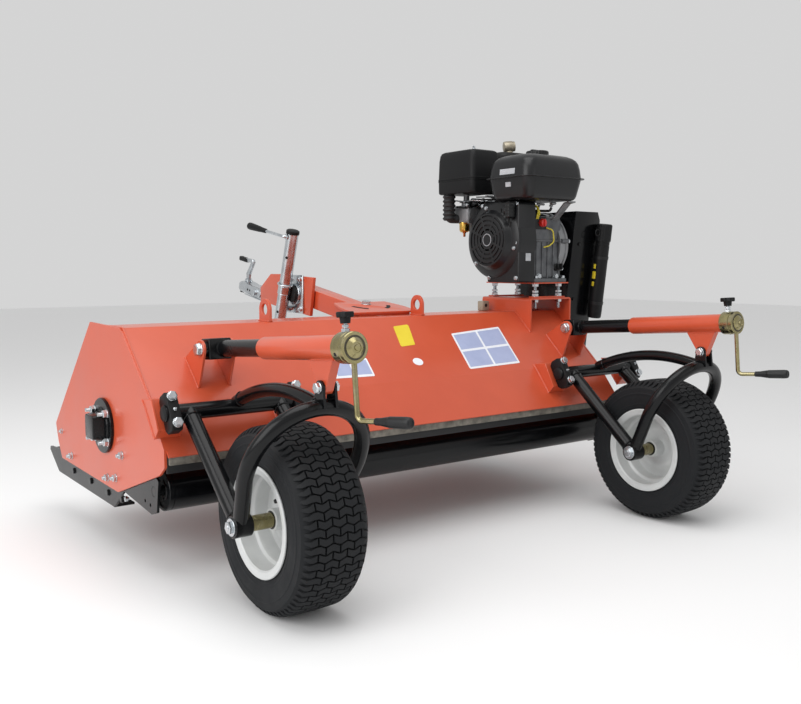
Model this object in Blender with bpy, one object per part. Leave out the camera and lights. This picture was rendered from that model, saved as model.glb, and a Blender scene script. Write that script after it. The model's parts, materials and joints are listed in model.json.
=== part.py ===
# Towed flail mower with its own engine, for pulling behind a quad bike.
# Lengths are metres. X runs across the machine, Y points the way it is towed, Z is up.
# Drawing coordinates: x 0 midway between the wheels, y 0 on the wheel axles, z 0 on the ground.
import math

import bmesh
import bpy
from mathutils import Matrix, Vector

GAP = 0.0003                    # face to face gap between touching pieces

# Deck
DECK_LEFT = -0.795              # outer face of the left end plate
DECK_RIGHT = 0.717              # outer face of the right end plate
END_PLATE = 0.006
SHEET = 0.004
DECK_TOP = 0.580
TOP_FRONT_Y = 0.630
CREASE_Y = 0.500
KNEE_Y = 0.322
KNEE_Z = 0.415
HEM_Y = 0.236
HEM_Z = 0.308
APRON_SHOULDER_Y = 0.645
APRON_SHOULDER_Z = 0.535
APRON_Y = 0.955
APRON_Z = 0.300
PLATE_FRONT_TOP_Y = 0.722
PLATE_HEEL_Y = 0.247
PLATE_HEEL_Z = 0.283
PLATE_FOOT_Y = 0.548
PLATE_FOOT_Z = 0.168
PLATE_TOE_Y = 1.005
PLATE_TOE_Z = 0.177
PLATE_NOSE_Y = 1.053
PLATE_NOSE_Z = 0.273
EYE_Y = 0.528
EYE_LEFT_X = -0.386
EYE_RIGHT_X = 0.132
EYE_WIDTH = 0.058
EYE_HEIGHT = 0.061
EYE_THICKNESS = 0.008
EYE_HOLE = 0.0155

# Rotor and its drive
ROTOR_Y = 0.633
ROTOR_Z = 0.325
ROTOR_TUBE_RADIUS = 0.045
ROTOR_SHAFT_RADIUS = 0.0175
ROTOR_END_GAP = 0.012
BEARING_HUB_RADIUS = 0.040
BEARING_FLANGE_RADIUS = 0.0705
BEARING_FLANGE = 0.012
BEARING_CAP_HALF = 0.034
BEARING_CAP = 0.028
HAMMER_REACH = 0.138
HAMMER_WIDTH = 0.045
HAMMER_THICKNESS = 0.012
HAMMER_COUNT = 16
HAMMER_STEP = 135               # degrees from one hammer to the next
ROTOR_PULLEY_RADIUS = 0.062
ENGINE_PULLEY_RADIUS = 0.050
PULLEY_X = 0.782                # middle of both pulleys
PULLEY_WIDTH = 0.036
PULLEY_GROOVE = 0.007
BELT_THICKNESS = 0.010
BELT_WIDTH = 0.022
BELT_CLEARANCE = 0.001

# Rear roller, skids and front flap
ROLLER_Y = 0.330
ROLLER_Z = 0.212
ROLLER_RADIUS = 0.048
ROLLER_PIN_RADIUS = 0.012
ROLLER_END_GAP = 0.014
SKID_THICKNESS = 0.006
SKID_SOLE_WIDTH = 0.053
SKID_TIP_Y = 1.145
SKID_TIP_Z = 0.180
SKID_BEND_Y = 1.061
SKID_SOLE_Z = 0.122
SKID_REAR_Y = 0.596
SKID_WEB_HEIGHT = 0.075
SKID_HEEL_Y = 0.524
SKID_HEEL_Z = 0.174
HANGER_TIP_Y = 0.345
HANGER_TIP_Z = 0.155
FLAP_THICKNESS = 0.006
FLAP_DROP = 0.100
FLAP_PIN_RADIUS = 0.006

# Engine stand, belt guard and document tube
STAND_LEFT = 0.515
STAND_RIGHT = 0.700
STAND_REAR_Y = 0.430
STAND_FRONT_Y = 0.660
STAND_TOP = 0.625
STAND_SHEET = 0.005
ENGINE_PLATE_TOP = 0.675
ENGINE_PLATE = 0.004
STUD_RADIUS = 0.006
STUD_LEFT_X = 0.555
STUD_RIGHT_X = 0.662
STUD_REAR_Y = 0.450
STUD_FRONT_Y = 0.642
ENGINE_PLATE_LEFT = 0.527
ENGINE_PLATE_RIGHT = 0.688
ENGINE_PLATE_REAR = 0.430
ENGINE_PLATE_FRONT = 0.655
GUARD_WALL = 0.0025
GUARD_DEPTH = 0.122
GUARD_TOP = 0.908
GUARD_REAR_TOP_Y = 0.428
GUARD_REAR_LOW_Y = 0.500
GUARD_FRONT_Y = 0.745
GUARD_BOTTOM = 0.225
GUARD_HEEL = 0.100              # height of the guard's lower rear corner above its bottom
GUARD_CHAMFER = 0.030
TUBE_RADIUS = 0.024
TUBE_CAP_RADIUS = 0.0265
TUBE_LENGTH = 0.260
TUBE_CAP_LENGTH = 0.058
TUBE_OVERHANG = 0.018
TUBE_BELOW_TOP = 0.040

# Engine
CRANK_Y = 0.535
CRANK_Z = 0.808
CRANK_RADIUS = 0.0125
BLOCK_LEFT = 0.522
BLOCK_RIGHT = 0.664
BLOCK_REAR = 0.430
BLOCK_FRONT = 0.628
BLOCK_TOP = 0.888
BLOCK_FOOT = 0.014
COVER_RADIUS = 0.112
COVER_Z = 0.794
COVER_END = 0.694
PTO_BOSS_RADIUS = 0.045
PTO_BOSS_END = 0.7145
CYLINDER_ANGLE = math.radians(25.0)
CYLINDER_REACH = 0.262
CYLINDER_HALF = 0.062
CYLINDER_INSET = 0.006
FAN_RADIUS = 0.124
FAN_LEFT = 0.420
FAN_LIP = 0.018
FAN_SHOULDER = 0.026
FAN_REAR = 0.118                 # the square shroud's reach behind the crankshaft
FAN_SKIRT_FRONT = 0.030
TANK_LEFT = 0.405
TANK_RIGHT = 0.660
TANK_REAR = 0.335
TANK_FRONT = 0.534
TANK_BOTTOM = 0.9335
TANK_HEIGHT = 0.1405
TANK_SEAM = TANK_BOTTOM + TANK_HEIGHT * 0.48
TANK_TOP = TANK_BOTTOM + TANK_HEIGHT
TANK_TAPER = 0.09               # narrowing at the top and bottom
TANK_LIP = 0.007
TANK_LIP_CORNER = 0.020
CAP_X = 0.535
CAP_Y = 0.430
CAP_RADIUS = 0.036
CAP_HEIGHT = 0.016
FILTER_LEFT = 0.400
FILTER_RIGHT = 0.530
FILTER_REAR = 0.585
FILTER_FRONT = 0.770
FILTER_BOTTOM = 0.966
FILTER_HEIGHT = 0.140
FILTER_CORNER = 0.018
ELBOW_IN_X = 0.026              # distances in from the filter's left and front faces
ELBOW_IN_Y = 0.038
ELBOW_RADIUS = 0.022
ELBOW_LENGTH = 0.086
ELBOW_RIBS = 6
CARB_IN_LEFT = 0.050
CARB_IN_RIGHT = 0.100
CARB_IN_REAR = 0.108
CARB_IN_FRONT = 0.030
CARB_HEIGHT = 0.100
CARB_CORNER = 0.006
STUB_IN_Y = 0.072
STUB_DROP = 0.081
STUB_RADIUS = 0.016
BOWL_IN_X = 0.070
BOWL_IN_Y = 0.066
BOWL_LENGTH = 0.043
BOWL_RADIUS = 0.019
MUFFLER_LEFT = 0.545
MUFFLER_RIGHT = 0.676
MUFFLER_INSET = 0.010           # in from the filter's rear, front and bottom
MUFFLER_HEIGHT = 0.132
MUFFLER_CORNER = 0.014
EXHAUST_PIPE_IN = 0.045
EXHAUST_PIPE_RADIUS = 0.018
OUTLET_X = 0.600
OUTLET_IN_Y = 0.033
OUTLET_RADIUS = 0.020
OUTLET_HEIGHT = 0.039
RECOIL_GRIP_Y = 0.440
RECOIL_GRIP_LENGTH = 0.054
RECOIL_GRIP_DEPTH = 0.034
SWITCH_RADIUS = 0.014
SWITCH_Z = 0.866

# Wheels
TRACK = 1.2424
WHEEL_RADIUS = 0.200
TYRE_HALF_WIDTH = 0.080
TYRE_WALL = 0.010
RIM_SEAT_RADIUS = 0.103
RIM_FLANGE_RADIUS = 0.119
RIM_HALF_WIDTH = 0.078
RIM_SHEET = 0.0035
HUB_RADIUS = 0.024
HUB_HALF_LENGTH = 0.044
AXLE_RADIUS = 0.010
AXLE_HEAD_RADIUS = 0.019
SPACER_RADIUS = 0.0165

# Wheel arms
ARM_PIVOT_Y = 0.243
ARM_PIVOT_Z = 0.405
ARM_TUBE_RADIUS = 0.019
ARM_HALF_WIDTH = 0.115
ARM_EYE_RADIUS = 0.024
ARM_EYE_HALF = 0.020
CROSS_TUBE_HALF = 0.175
HOOP_RADIUS = 0.017
HOOP_TOP_Y = -0.133
HOOP_TOP_Z = 0.450
HOOP_BULGE = 0.134               # widest half width of the hoop
HOOP_BULGE_AT = 0.130            # distance of its widest place from the axle
TOP_TUBE_RADIUS = 0.015
TOP_TUBE_CREST_Y = 0.080
TOP_TUBE_CREST_Z = 0.463
BLOCK_DX = 0.157
BLOCK_WIDTH = 0.026
BLOCK_HALF_LENGTH = 0.045
BLOCK_BACK = 0.0225
BLOCK_FACE = 0.0235
BLOCK_TILT = math.radians(61.4)  # long side of the bearing block above the horizontal
BRACKET_WIDTH = 0.060
LUG_Y = -0.134
LUG_Z = 0.490
LUG_RADIUS = 0.015
LUG_PLATE = 0.006
LUG_PIN_RADIUS = 0.006

# Height screws
LINK_DX = 0.010                 # the screw lies this far right of the wheel's middle
LINK_PIVOT_Y = 0.336
LINK_PIVOT_Z = 0.533
LINK_RISE = math.radians(4.32)  # towards the rear
LINK_PLATE = 0.006
LINK_LEFT_IN = 0.047             # inner faces of the bracket plates, from the screw's line
LINK_RIGHT_IN = 0.025
LINK_PIN_OUT = 0.010
LINK_HEAD_HALF_HEIGHT = 0.025
LINK_HEAD_HALF_LENGTH = 0.022
LINK_HEAD_SIDE = 0.007           # room between the head's box and each plate
LINK_PIN_RADIUS = 0.008
LINK_NOSE_RADIUS = 0.022
INNER_TUBE_RADIUS = 0.020
INNER_TUBE_BORE = 0.0105
INNER_TUBE_LENGTH = 0.400
OUTER_TUBE_RADIUS = 0.025
OUTER_TUBE_START = 0.219
OUTER_TUBE_END = 0.5350
OUTER_TUBE_WALL_END = 0.525
TELESCOPE_CLEARANCE = 0.0005
TONGUE_WIDTH = 0.020
TONGUE_START_Y = -0.083
TONGUE_END_Y = -0.173
OPEN_PIVOT_CLEARANCE = 0.003
COLLAR_RADIUS = 0.031
COLLAR_LENGTH = 0.0270
CRANK_HUB_LENGTH = 0.012
CRANK_ROD_AT = 0.0060            # the rod's place along the hub
KNOB_AT = 0.0105                 # the knob's place along the collar
CRANK_CONE = 0.009
SPINDLE_RADIUS = 0.008
SPINDLE_START = 0.330
CRANK_ROD_RADIUS = 0.0055
CRANK_ARM = 0.139
CRANK_SIDE_LEAN = math.radians(1.0)
CRANK_GRIP_OFFSET = 0.045
CRANK_GRIP_LENGTH = 0.086
CRANK_GRIP_RADIUS = 0.0115
KNOB_RADIUS = 0.0172
KNOB_LOBE = 0.0018
KNOB_HEIGHT = 0.011
KNOB_NECK_RADIUS = 0.0105
KNOB_NECK = 0.012
KNOB_STEM_RADIUS = 0.004
KNOB_STEM_OUT = 0.015
KNOB_STEM_IN = 0.010

# Drawbar, coupling and jack
DRAWBAR_X = 0.040
DRAWBAR_PITCH = math.radians(9.6)
DRAWBAR_SIZE = 0.060
DRAWBAR_PIVOT_Y = 0.668
DRAWBAR_REAR = 0.020            # behind the pivot
SIDE_PLATE = 0.012
SIDE_PLATE_X = -0.006
SIDE_PLATE_REAR_Y = 0.922
SIDE_PLATE_LOW = 0.563
SIDE_PLATE_TOP = 0.700
NECK_REAR_Y = 1.020
HEAD_FRONT_Y = 1.267
HEAD_NOSE_LOW = 0.604
HEAD_NOSE_HIGH = 0.651
HITCH_HALF_WIDTH = 0.118
HITCH_FRONT_HALF_WIDTH = 0.096
HITCH_REAR_Y = 0.562
HITCH_FRONT_Y = 0.704
HITCH_PLATE = 0.006
HITCH_LIFT = 0.030              # top of the hitch plate above the deck, at the pivot
HITCH_PIN_RADIUS = 0.010
COUPLING_WIDTH = 0.060
COUPLING_HEIGHT = 0.040
COUPLING_LENGTH = 0.226
COUPLING_Z = 0.6185             # middle of the coupling where it leaves the head
BALL_RADIUS = 0.0255
COUPLING_ROOF = 0.006
LEVER_BEHIND_NOSE = 0.042
LEVER_HEIGHT = 0.088
LEVER_HANDLE = 0.100
LEVER_THICKNESS = 0.012
LEVER_EYE_RADIUS = 0.0065
LEVER_EYE_LIFT = 0.003
JACK_X = -0.045
JACK_LEAN = math.radians(17.5)
JACK_Y = 1.029                  # the jack's own line, where it passes the swivel
SWIVEL_Y = 1.012
SWIVEL_Z = 0.634
JACK_RADIUS = 0.0200
JACK_TOP = 0.220                # above the swivel, along the jack
JACK_BOTTOM = 0.385             # below the swivel, along the jack
JACK_LEG_RADIUS = 0.0165
JACK_FOOT_LENGTH = 0.120
JACK_FOOT_WIDTH = 0.090
JACK_FOOT = 0.006
SWIVEL_RADIUS = 0.0265
SWIVEL_PLATE = 0.006
SWIVEL_PLATE_WIDTH = 0.100
SWIVEL_PLATE_HEIGHT = 0.128
SWIVEL_RING_RADIUS = 0.036
JACK_SHAFT_RADIUS = 0.005
JACK_CRANK_BELOW_TOP = 0.022
JACK_CRANK_OUT = 0.030
JACK_CRANK_REACH = 0.098
JACK_CRANK_GRIP = 0.095

WHEEL_SIDES = 28
ROUND = 24                      # sides of a large round piece
SMALL = 16                      # sides of a small round piece
TINY = 10

for old in list(bpy.data.objects):
    bpy.data.objects.remove(old)

machine = bpy.data.objects.new("machine", None)
bpy.context.scene.collection.objects.link(machine)


def paint(name, colour, roughness, metallic=0.0):
    made = bpy.data.materials.new(name)
    made.use_nodes = True
    shader = made.node_tree.nodes["Principled BSDF"]
    shader.inputs["Base Color"].default_value = (*colour, 1)
    shader.inputs["Roughness"].default_value = roughness
    shader.inputs["Metallic"].default_value = metallic
    made.diffuse_color = (*colour, 1)
    return made


orange = paint("orange_paint", (0.75, 0.13, 0.05), 0.35)
black = paint("black_paint", (0.012, 0.012, 0.014), 0.3)
plastic = paint("black_plastic", (0.02, 0.02, 0.022), 0.5)
rubber = paint("tyre_rubber", (0.025, 0.025, 0.025), 0.8)
silver = paint("white_rim_paint", (0.75, 0.75, 0.73), 0.4)
zinc = paint("zinc_plate", (0.62, 0.62, 0.60), 0.3, 1.0)
gold = paint("yellow_zinc", (0.62, 0.52, 0.30), 0.35, 1.0)
casting = paint("cast_aluminium", (0.42, 0.42, 0.42), 0.5, 0.9)
iron = paint("bare_iron", (0.20, 0.20, 0.20), 0.5, 0.9)
red = paint("red_plastic", (0.6, 0.03, 0.02), 0.4)


def add_part(name, shape, material, origin=(0, 0, 0), sharp=35):
    """Puts a bmesh drawn in machine coordinates on an object whose origin is the given point."""
    bmesh.ops.recalc_face_normals(shape, faces=shape.faces)
    bmesh.ops.translate(shape, verts=shape.verts, vec=-Vector(origin))
    mesh = bpy.data.meshes.new(name)
    shape.to_mesh(mesh)
    shape.free()
    mesh.shade_smooth()
    mesh.set_sharp_from_angle(angle=math.radians(sharp))
    mesh.materials.append(material)
    made = bpy.data.objects.new(name, mesh)
    bpy.context.scene.collection.objects.link(made)
    made.parent = machine
    made.location = origin
    return made


def prism(outline, axis, low, high):
    """A flat outline pushed along one axis. The outline is (y, z), (x, z) or (x, y)."""
    places = {"X": lambda p, d: (d, p[0], p[1]), "Y": lambda p, d: (p[0], d, p[1]),
              "Z": lambda p, d: (p[0], p[1], d)}
    shape = bmesh.new()
    face = shape.faces.new([shape.verts.new(places[axis](p, low)) for p in outline])
    grown = bmesh.ops.extrude_face_region(shape, geom=[face])
    moved = [v for v in grown["geom"] if isinstance(v, bmesh.types.BMVert)]
    along = Vector(places[axis]((0, 0), high - low))
    bmesh.ops.translate(shape, verts=moved, vec=along)
    bmesh.ops.recalc_face_normals(shape, faces=shape.faces)
    return shape


def box(low, high):
    return prism([(low[0], low[1]), (high[0], low[1]), (high[0], high[1]), (low[0], high[1])],
                 "Z", low[2], high[2])


def rounded_box(low, high, radius, segments=2):
    shape = box(low, high)
    bmesh.ops.bevel(shape, geom=list(shape.edges), offset=radius, segments=segments,
                    profile=0.5, affect="EDGES")
    return shape


def turned(profile, centre, direction, sides):
    """A closed profile of (distance along, radius) spun round a line through the centre."""
    shape = bmesh.new()
    verts = [shape.verts.new((radius, 0, along)) for along, radius in profile]
    count = len(verts)
    for i in range(count):
        both_on_axis = profile[i][1] == 0 and profile[(i + 1) % count][1] == 0
        if not both_on_axis:
            shape.edges.new((verts[i], verts[(i + 1) % count]))
    bmesh.ops.spin(shape, geom=list(shape.verts) + list(shape.edges), axis=(0, 0, 1),
                   cent=(0, 0, 0), steps=sides, angle=math.tau, use_merge=True)
    bmesh.ops.remove_doubles(shape, verts=shape.verts, dist=1e-6)
    bmesh.ops.dissolve_degenerate(shape, edges=shape.edges, dist=1e-6)
    turn = Vector((0, 0, 1)).rotation_difference(Vector(direction)).to_matrix().to_4x4()
    bmesh.ops.transform(shape, verts=shape.verts, matrix=Matrix.Translation(centre) @ turn)
    bmesh.ops.recalc_face_normals(shape, faces=shape.faces)
    return shape


def rod(start, end, radius, sides=SMALL):
    """A plain round bar between two points."""
    run = Vector(end) - Vector(start)
    return turned([(0, 0), (0, radius), (run.length, radius), (run.length, 0)],
                  start, run, sides)


def bore(start, end, radius, sides=SMALL):
    """A round hole's cutter, whose flats lie at the given radius."""
    return rod(start, end, radius / math.cos(math.pi / sides), sides)


def swept(points, radius, resolution=2):
    """A round bar along a path, with flat ends."""
    curve = bpy.data.curves.new("path", "CURVE")
    curve.dimensions = "3D"
    curve.bevel_depth = radius
    curve.bevel_resolution = resolution
    curve.use_fill_caps = True
    spline = curve.splines.new("POLY")
    spline.points.add(len(points) - 1)
    for place, point in zip(spline.points, points):
        place.co = (*point, 1)
    holder = bpy.data.objects.new("path", curve)
    bpy.context.scene.collection.objects.link(holder)
    shape = bmesh.new()
    shape.from_mesh(bpy.data.meshes.new_from_object(holder.evaluated_get(
        bpy.context.evaluated_depsgraph_get())))
    bpy.data.objects.remove(holder)
    bmesh.ops.remove_doubles(shape, verts=shape.verts, dist=1e-6)
    bmesh.ops.recalc_face_normals(shape, faces=shape.faces)
    return shape


def rounded_path(points, radius, steps=4):
    """The same path with an arc of the given radius at each inner corner."""
    path = [Vector(points[0])]
    for before, corner, after in zip(points, points[1:], points[2:]):
        corner = Vector(corner)
        back = (Vector(before) - corner).normalized()
        ahead = (Vector(after) - corner).normalized()
        half = back.angle(ahead) / 2
        reach = radius / math.tan(half)
        middle = corner + (back + ahead).normalized() * radius / math.sin(half)
        first = corner + back * reach - middle
        last = corner + ahead * reach - middle
        path += [middle + first.slerp(last, i / steps) * radius for i in range(steps + 1)]
    path.append(Vector(points[-1]))
    return path


def combine(base, other, operation):
    """Boolean of two closed shapes. Both are used up."""
    pair = []
    for shape in (base, other):
        mesh = bpy.data.meshes.new("work")
        shape.to_mesh(mesh)
        shape.free()
        piece = bpy.data.objects.new("work", mesh)
        bpy.context.scene.collection.objects.link(piece)
        pair.append(piece)
    modifier = pair[0].modifiers.new("cut", "BOOLEAN")
    modifier.operation = operation
    modifier.solver = "EXACT"
    modifier.object = pair[1]
    made = bmesh.new()
    made.from_mesh(bpy.data.meshes.new_from_object(pair[0].evaluated_get(
        bpy.context.evaluated_depsgraph_get())))
    for piece in pair:
        bpy.data.objects.remove(piece)
    bmesh.ops.remove_doubles(made, verts=made.verts, dist=1e-6)
    bmesh.ops.dissolve_degenerate(made, edges=made.edges, dist=1e-6)
    return made


def fuse(base, *others):
    for other in others:
        base = combine(base, other, "UNION")
    return base


def cut(base, *others):
    for other in others:
        base = combine(base, other, "DIFFERENCE")
    return base


def bent_sheet(points, thickness):
    """Closed outline of a bent sheet whose outer face follows the points, metal on the left."""
    outer = [Vector(p) for p in points]
    inner = []
    for i, place in enumerate(outer):
        sides = []
        for a, b in ((i - 1, i), (i, i + 1)):
            if a >= 0 and b < len(outer):
                run = (outer[b] - outer[a]).normalized()
                sides.append(Vector((-run.y, run.x)))
        middle = sum(sides, Vector((0, 0))).normalized()
        inner.append(place + middle * thickness / middle.dot(sides[0]))
    return outer + inner[::-1]


def arc(centre, radius, start, end, steps):
    """Points on an arc, angles in degrees."""
    return [(centre[0] + radius * math.cos(math.radians(start + (end - start) * i / steps)),
             centre[1] + radius * math.sin(math.radians(start + (end - start) * i / steps)))
            for i in range(steps + 1)]


def spread(first, last, count):
    """Evenly spaced numbers from the first to the last."""
    return [first + (last - first) * i / (count - 1) for i in range(count)]


def bowed(at, *points):
    """Height of the parabola through three points."""
    total = 0
    for own, (place, height) in enumerate(points):
        weight = 1
        for other, (elsewhere, _) in enumerate(points):
            if other != own:
                weight *= (at - elsewhere) / (place - elsewhere)
        total += weight * height
    return total


def around_circles(first, first_radius, second, second_radius, steps=14):
    """Outline of a band pulled tight round two circles."""
    run = Vector(second) - Vector(first)
    base = math.degrees(math.atan2(run.y, run.x))
    lean = math.degrees(math.acos((first_radius - second_radius) / run.length))
    return (arc(first, first_radius, base + lean, base + 360 - lean, steps)
            + arc(second, second_radius, base - lean, base + lean, steps))


def wedge_outline(nose, radius, low, high, steps=6):
    """A plate outline that runs from a straight foot, low to high, to a round nose."""
    def tangent(point, side):
        run = Vector(point) - Vector(nose)
        angle = math.degrees(math.atan2(run.y, run.x))
        return angle + side * math.degrees(math.acos(radius / run.length))
    start = tangent(high, 1)
    end = tangent(low, -1)
    while end < start:
        end += 360
    return [low, high] + arc(nose, radius, start, end, steps)


# Deck: one bent sheet between two end plates, with two lifting eyes on top
inner_left = DECK_LEFT + END_PLATE + GAP
inner_right = DECK_RIGHT - END_PLATE - GAP
upper_slope = (DECK_TOP - KNEE_Z) / (CREASE_Y - KNEE_Y)
lower_slope = (KNEE_Z - HEM_Z) / (KNEE_Y - HEM_Y)


def deck_rear_z(y, lift=0.0006):
    """Height just above the outside of the deck's rear faces."""
    slope = upper_slope if y > KNEE_Y else lower_slope
    return KNEE_Z + (y - KNEE_Y) * slope + lift


def lifting_eye(x):
    half = EYE_WIDTH / 2
    centre = (EYE_Y, DECK_TOP + EYE_HEIGHT - half)
    outline = [(EYE_Y - half, DECK_TOP + GAP), (EYE_Y + half, DECK_TOP + GAP)]
    outline += arc(centre, half, 0, 180, 10)
    plate = prism(outline, "X", x - EYE_THICKNESS / 2, x + EYE_THICKNESS / 2)
    hole = bore((x - EYE_THICKNESS, *centre), (x + EYE_THICKNESS, *centre), EYE_HOLE)
    return cut(plate, hole)


def make_deck():
    line = [(APRON_Y, APRON_Z), (APRON_SHOULDER_Y, APRON_SHOULDER_Z), (TOP_FRONT_Y, DECK_TOP),
            (CREASE_Y, DECK_TOP), (KNEE_Y, KNEE_Z), (HEM_Y, HEM_Z)]
    sheet = prism(bent_sheet(line, SHEET), "X", inner_left, inner_right)
    add_part("deck_shell", sheet, orange)
    add_part("left_lifting_eye", lifting_eye(EYE_LEFT_X), orange)
    add_part("right_lifting_eye", lifting_eye(EYE_RIGHT_X), orange)
    outline = [(PLATE_FRONT_TOP_Y, DECK_TOP + 0.004), (CREASE_Y + 0.014, DECK_TOP),
               (CREASE_Y - 0.006, DECK_TOP - 0.007), (KNEE_Y, KNEE_Z),
               (HEM_Y + 0.012, KNEE_Z - (KNEE_Y - HEM_Y - 0.012) * lower_slope),
               (PLATE_HEEL_Y, PLATE_HEEL_Z), (PLATE_HEEL_Y + 0.030, PLATE_HEEL_Z - 0.023),
               (PLATE_FOOT_Y, PLATE_FOOT_Z), (PLATE_TOE_Y, PLATE_TOE_Z),
               (PLATE_TOE_Y + 0.030, PLATE_TOE_Z + 0.047), (PLATE_NOSE_Y, PLATE_NOSE_Z)]
    for name, outer, side in (("left_end_plate", DECK_LEFT, 1), ("right_end_plate", DECK_RIGHT, -1)):
        faces = sorted((outer, outer + side * END_PLATE))
        plate = prism(outline, "X", *faces)
        hole = bore((faces[0] - SHEET, ROTOR_Y, ROTOR_Z), (faces[1] + SHEET, ROTOR_Y, ROTOR_Z),
                    BEARING_HUB_RADIUS + GAP, ROUND)
        add_part(name, cut(plate, hole), orange)


def make_rotor_bearing(name, outer, side):
    cap_end = BEARING_FLANGE + BEARING_CAP
    blind_end = cap_end - 0.006 if side < 0 else cap_end + 0.001
    flange = turned([(-END_PLATE, 0), (-END_PLATE, BEARING_HUB_RADIUS), (GAP, BEARING_HUB_RADIUS),
                     (GAP, BEARING_FLANGE_RADIUS), (BEARING_FLANGE, BEARING_FLANGE_RADIUS),
                     (BEARING_FLANGE, 0)], (outer, ROTOR_Y, ROTOR_Z), (side, 0, 0), ROUND)
    near, far = sorted((outer + side * BEARING_FLANGE / 2, outer + side * cap_end))
    half = BEARING_CAP_HALF
    cap = prism([(ROTOR_Y + half * a, ROTOR_Z + half * b)
                 for a, b in ((-1, -0.6), (-0.6, -1), (0.6, -1), (1, -0.6),
                              (1, 0.6), (0.6, 1), (-0.6, 1), (-1, 0.6))], "X", near, far)
    hole = bore((outer - side * (END_PLATE + 0.001), ROTOR_Y, ROTOR_Z),
                (outer + side * blind_end, ROTOR_Y, ROTOR_Z), ROTOR_SHAFT_RADIUS + GAP)
    add_part(name, cut(fuse(flange, cap), hole), black)


def pulley_profile(radius, bore):
    """The rim of a V pulley from its left bore to its right face."""
    left = PULLEY_X - PULLEY_WIDTH / 2
    right = PULLEY_X + PULLEY_WIDTH / 2
    floor = radius - PULLEY_GROOVE
    groove = BELT_WIDTH / 2 + GAP
    return [(left, bore), (left, radius), (PULLEY_X - groove, radius), (PULLEY_X - groove, floor),
            (PULLEY_X + groove, floor), (PULLEY_X + groove, radius), (right, radius), (right, 0)]


def make_rotor():
    """Drum with its hammers, shaft and driven pulley."""
    axis_start = (0, ROTOR_Y, ROTOR_Z)
    tube_left = inner_left + ROTOR_END_GAP
    tube_right = inner_right - ROTOR_END_GAP
    shaft_left = DECK_LEFT - BEARING_FLANGE - BEARING_CAP + 0.007
    drum = turned([(shaft_left, 0), (shaft_left, ROTOR_SHAFT_RADIUS),
                   (tube_left, ROTOR_SHAFT_RADIUS), (tube_left, ROTOR_TUBE_RADIUS),
                   (tube_right, ROTOR_TUBE_RADIUS), (tube_right, ROTOR_SHAFT_RADIUS)]
                  + pulley_profile(ROTOR_PULLEY_RADIUS, ROTOR_SHAFT_RADIUS),
                  axis_start, (1, 0, 0), 20)
    hammers = bmesh.new()
    pitch = (tube_right - tube_left) / HAMMER_COUNT
    for i in range(HAMMER_COUNT):
        middle = tube_left + pitch * (i + 0.5)
        blade = box((middle - HAMMER_WIDTH / 2, -HAMMER_THICKNESS / 2, ROTOR_TUBE_RADIUS / 2),
                    (middle + HAMMER_WIDTH / 2, HAMMER_THICKNESS / 2, HAMMER_REACH))
        turn = Matrix.Rotation(math.radians(HAMMER_STEP * i), 4, "X")
        bmesh.ops.transform(blade, verts=blade.verts, matrix=Matrix.Translation(axis_start) @ turn)
        mesh = bpy.data.meshes.new("blade")
        blade.to_mesh(mesh)
        blade.free()
        hammers.from_mesh(mesh)
    add_part("rotor", fuse(drum, hammers), iron, (0, ROTOR_Y, ROTOR_Z))


def make_engine_pulley():
    start = PTO_BOSS_END + GAP
    profile = [(start, 0), (start, CRANK_RADIUS)] + pulley_profile(ENGINE_PULLEY_RADIUS, CRANK_RADIUS)
    add_part("engine_pulley", turned(profile, (0, CRANK_Y, CRANK_Z), (1, 0, 0), 20), iron,
             (PULLEY_X, CRANK_Y, CRANK_Z))


def make_belt():
    outlines = []
    for extra in (BELT_THICKNESS, 0):
        lift = BELT_CLEARANCE - PULLEY_GROOVE + extra
        outlines.append(around_circles((ROTOR_Y, ROTOR_Z), ROTOR_PULLEY_RADIUS + lift,
                                       (CRANK_Y, CRANK_Z), ENGINE_PULLEY_RADIUS + lift))
    half = BELT_WIDTH / 2
    outer = prism(outlines[0], "X", PULLEY_X - half, PULLEY_X + half)
    inner = prism(outlines[1], "X", PULLEY_X - PULLEY_WIDTH, PULLEY_X + PULLEY_WIDTH)
    add_part("drive_belt", cut(outer, inner), rubber)


# Skids with the roller's hangers, the roller and the front flap
def make_skid(name, plate_inner, side):
    near = plate_inner + side * GAP
    far = near + side * SKID_THICKNESS
    sole_far = near + side * SKID_SOLE_WIDTH
    sole_line = [(SKID_TIP_Y, SKID_TIP_Z), (SKID_BEND_Y, SKID_SOLE_Z + 0.004),
                 (SKID_REAR_Y, SKID_SOLE_Z - 0.004)]
    sole = prism(bent_sheet(sole_line, -SKID_THICKNESS), "X", *sorted((near, sole_far)))
    top = SKID_SOLE_Z + SKID_WEB_HEIGHT
    web_line = [(SKID_TIP_Y - 0.004, SKID_TIP_Z), (SKID_BEND_Y, SKID_SOLE_Z + 0.005),
                (SKID_REAR_Y, SKID_SOLE_Z - 0.003), (SKID_HEEL_Y, SKID_HEEL_Z),
                (HANGER_TIP_Y, HANGER_TIP_Z), (ROLLER_Y - 0.016, ROLLER_Z - 0.047),
                (ROLLER_Y - 0.029, ROLLER_Z + 0.030), (ROLLER_Y + 0.012, ROLLER_Z + 0.045),
                (SKID_HEEL_Y, top + 0.030), (SKID_BEND_Y - 0.030, top),
                (SKID_TIP_Y, SKID_TIP_Z + 0.010)]
    web = prism(web_line, "X", *sorted((near, far)))
    hole = bore((near - side * 0.01, ROLLER_Y, ROLLER_Z), (far + side * 0.01, ROLLER_Y, ROLLER_Z),
                ROLLER_PIN_RADIUS + GAP)
    add_part(name, cut(fuse(web, sole), hole), black)


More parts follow.
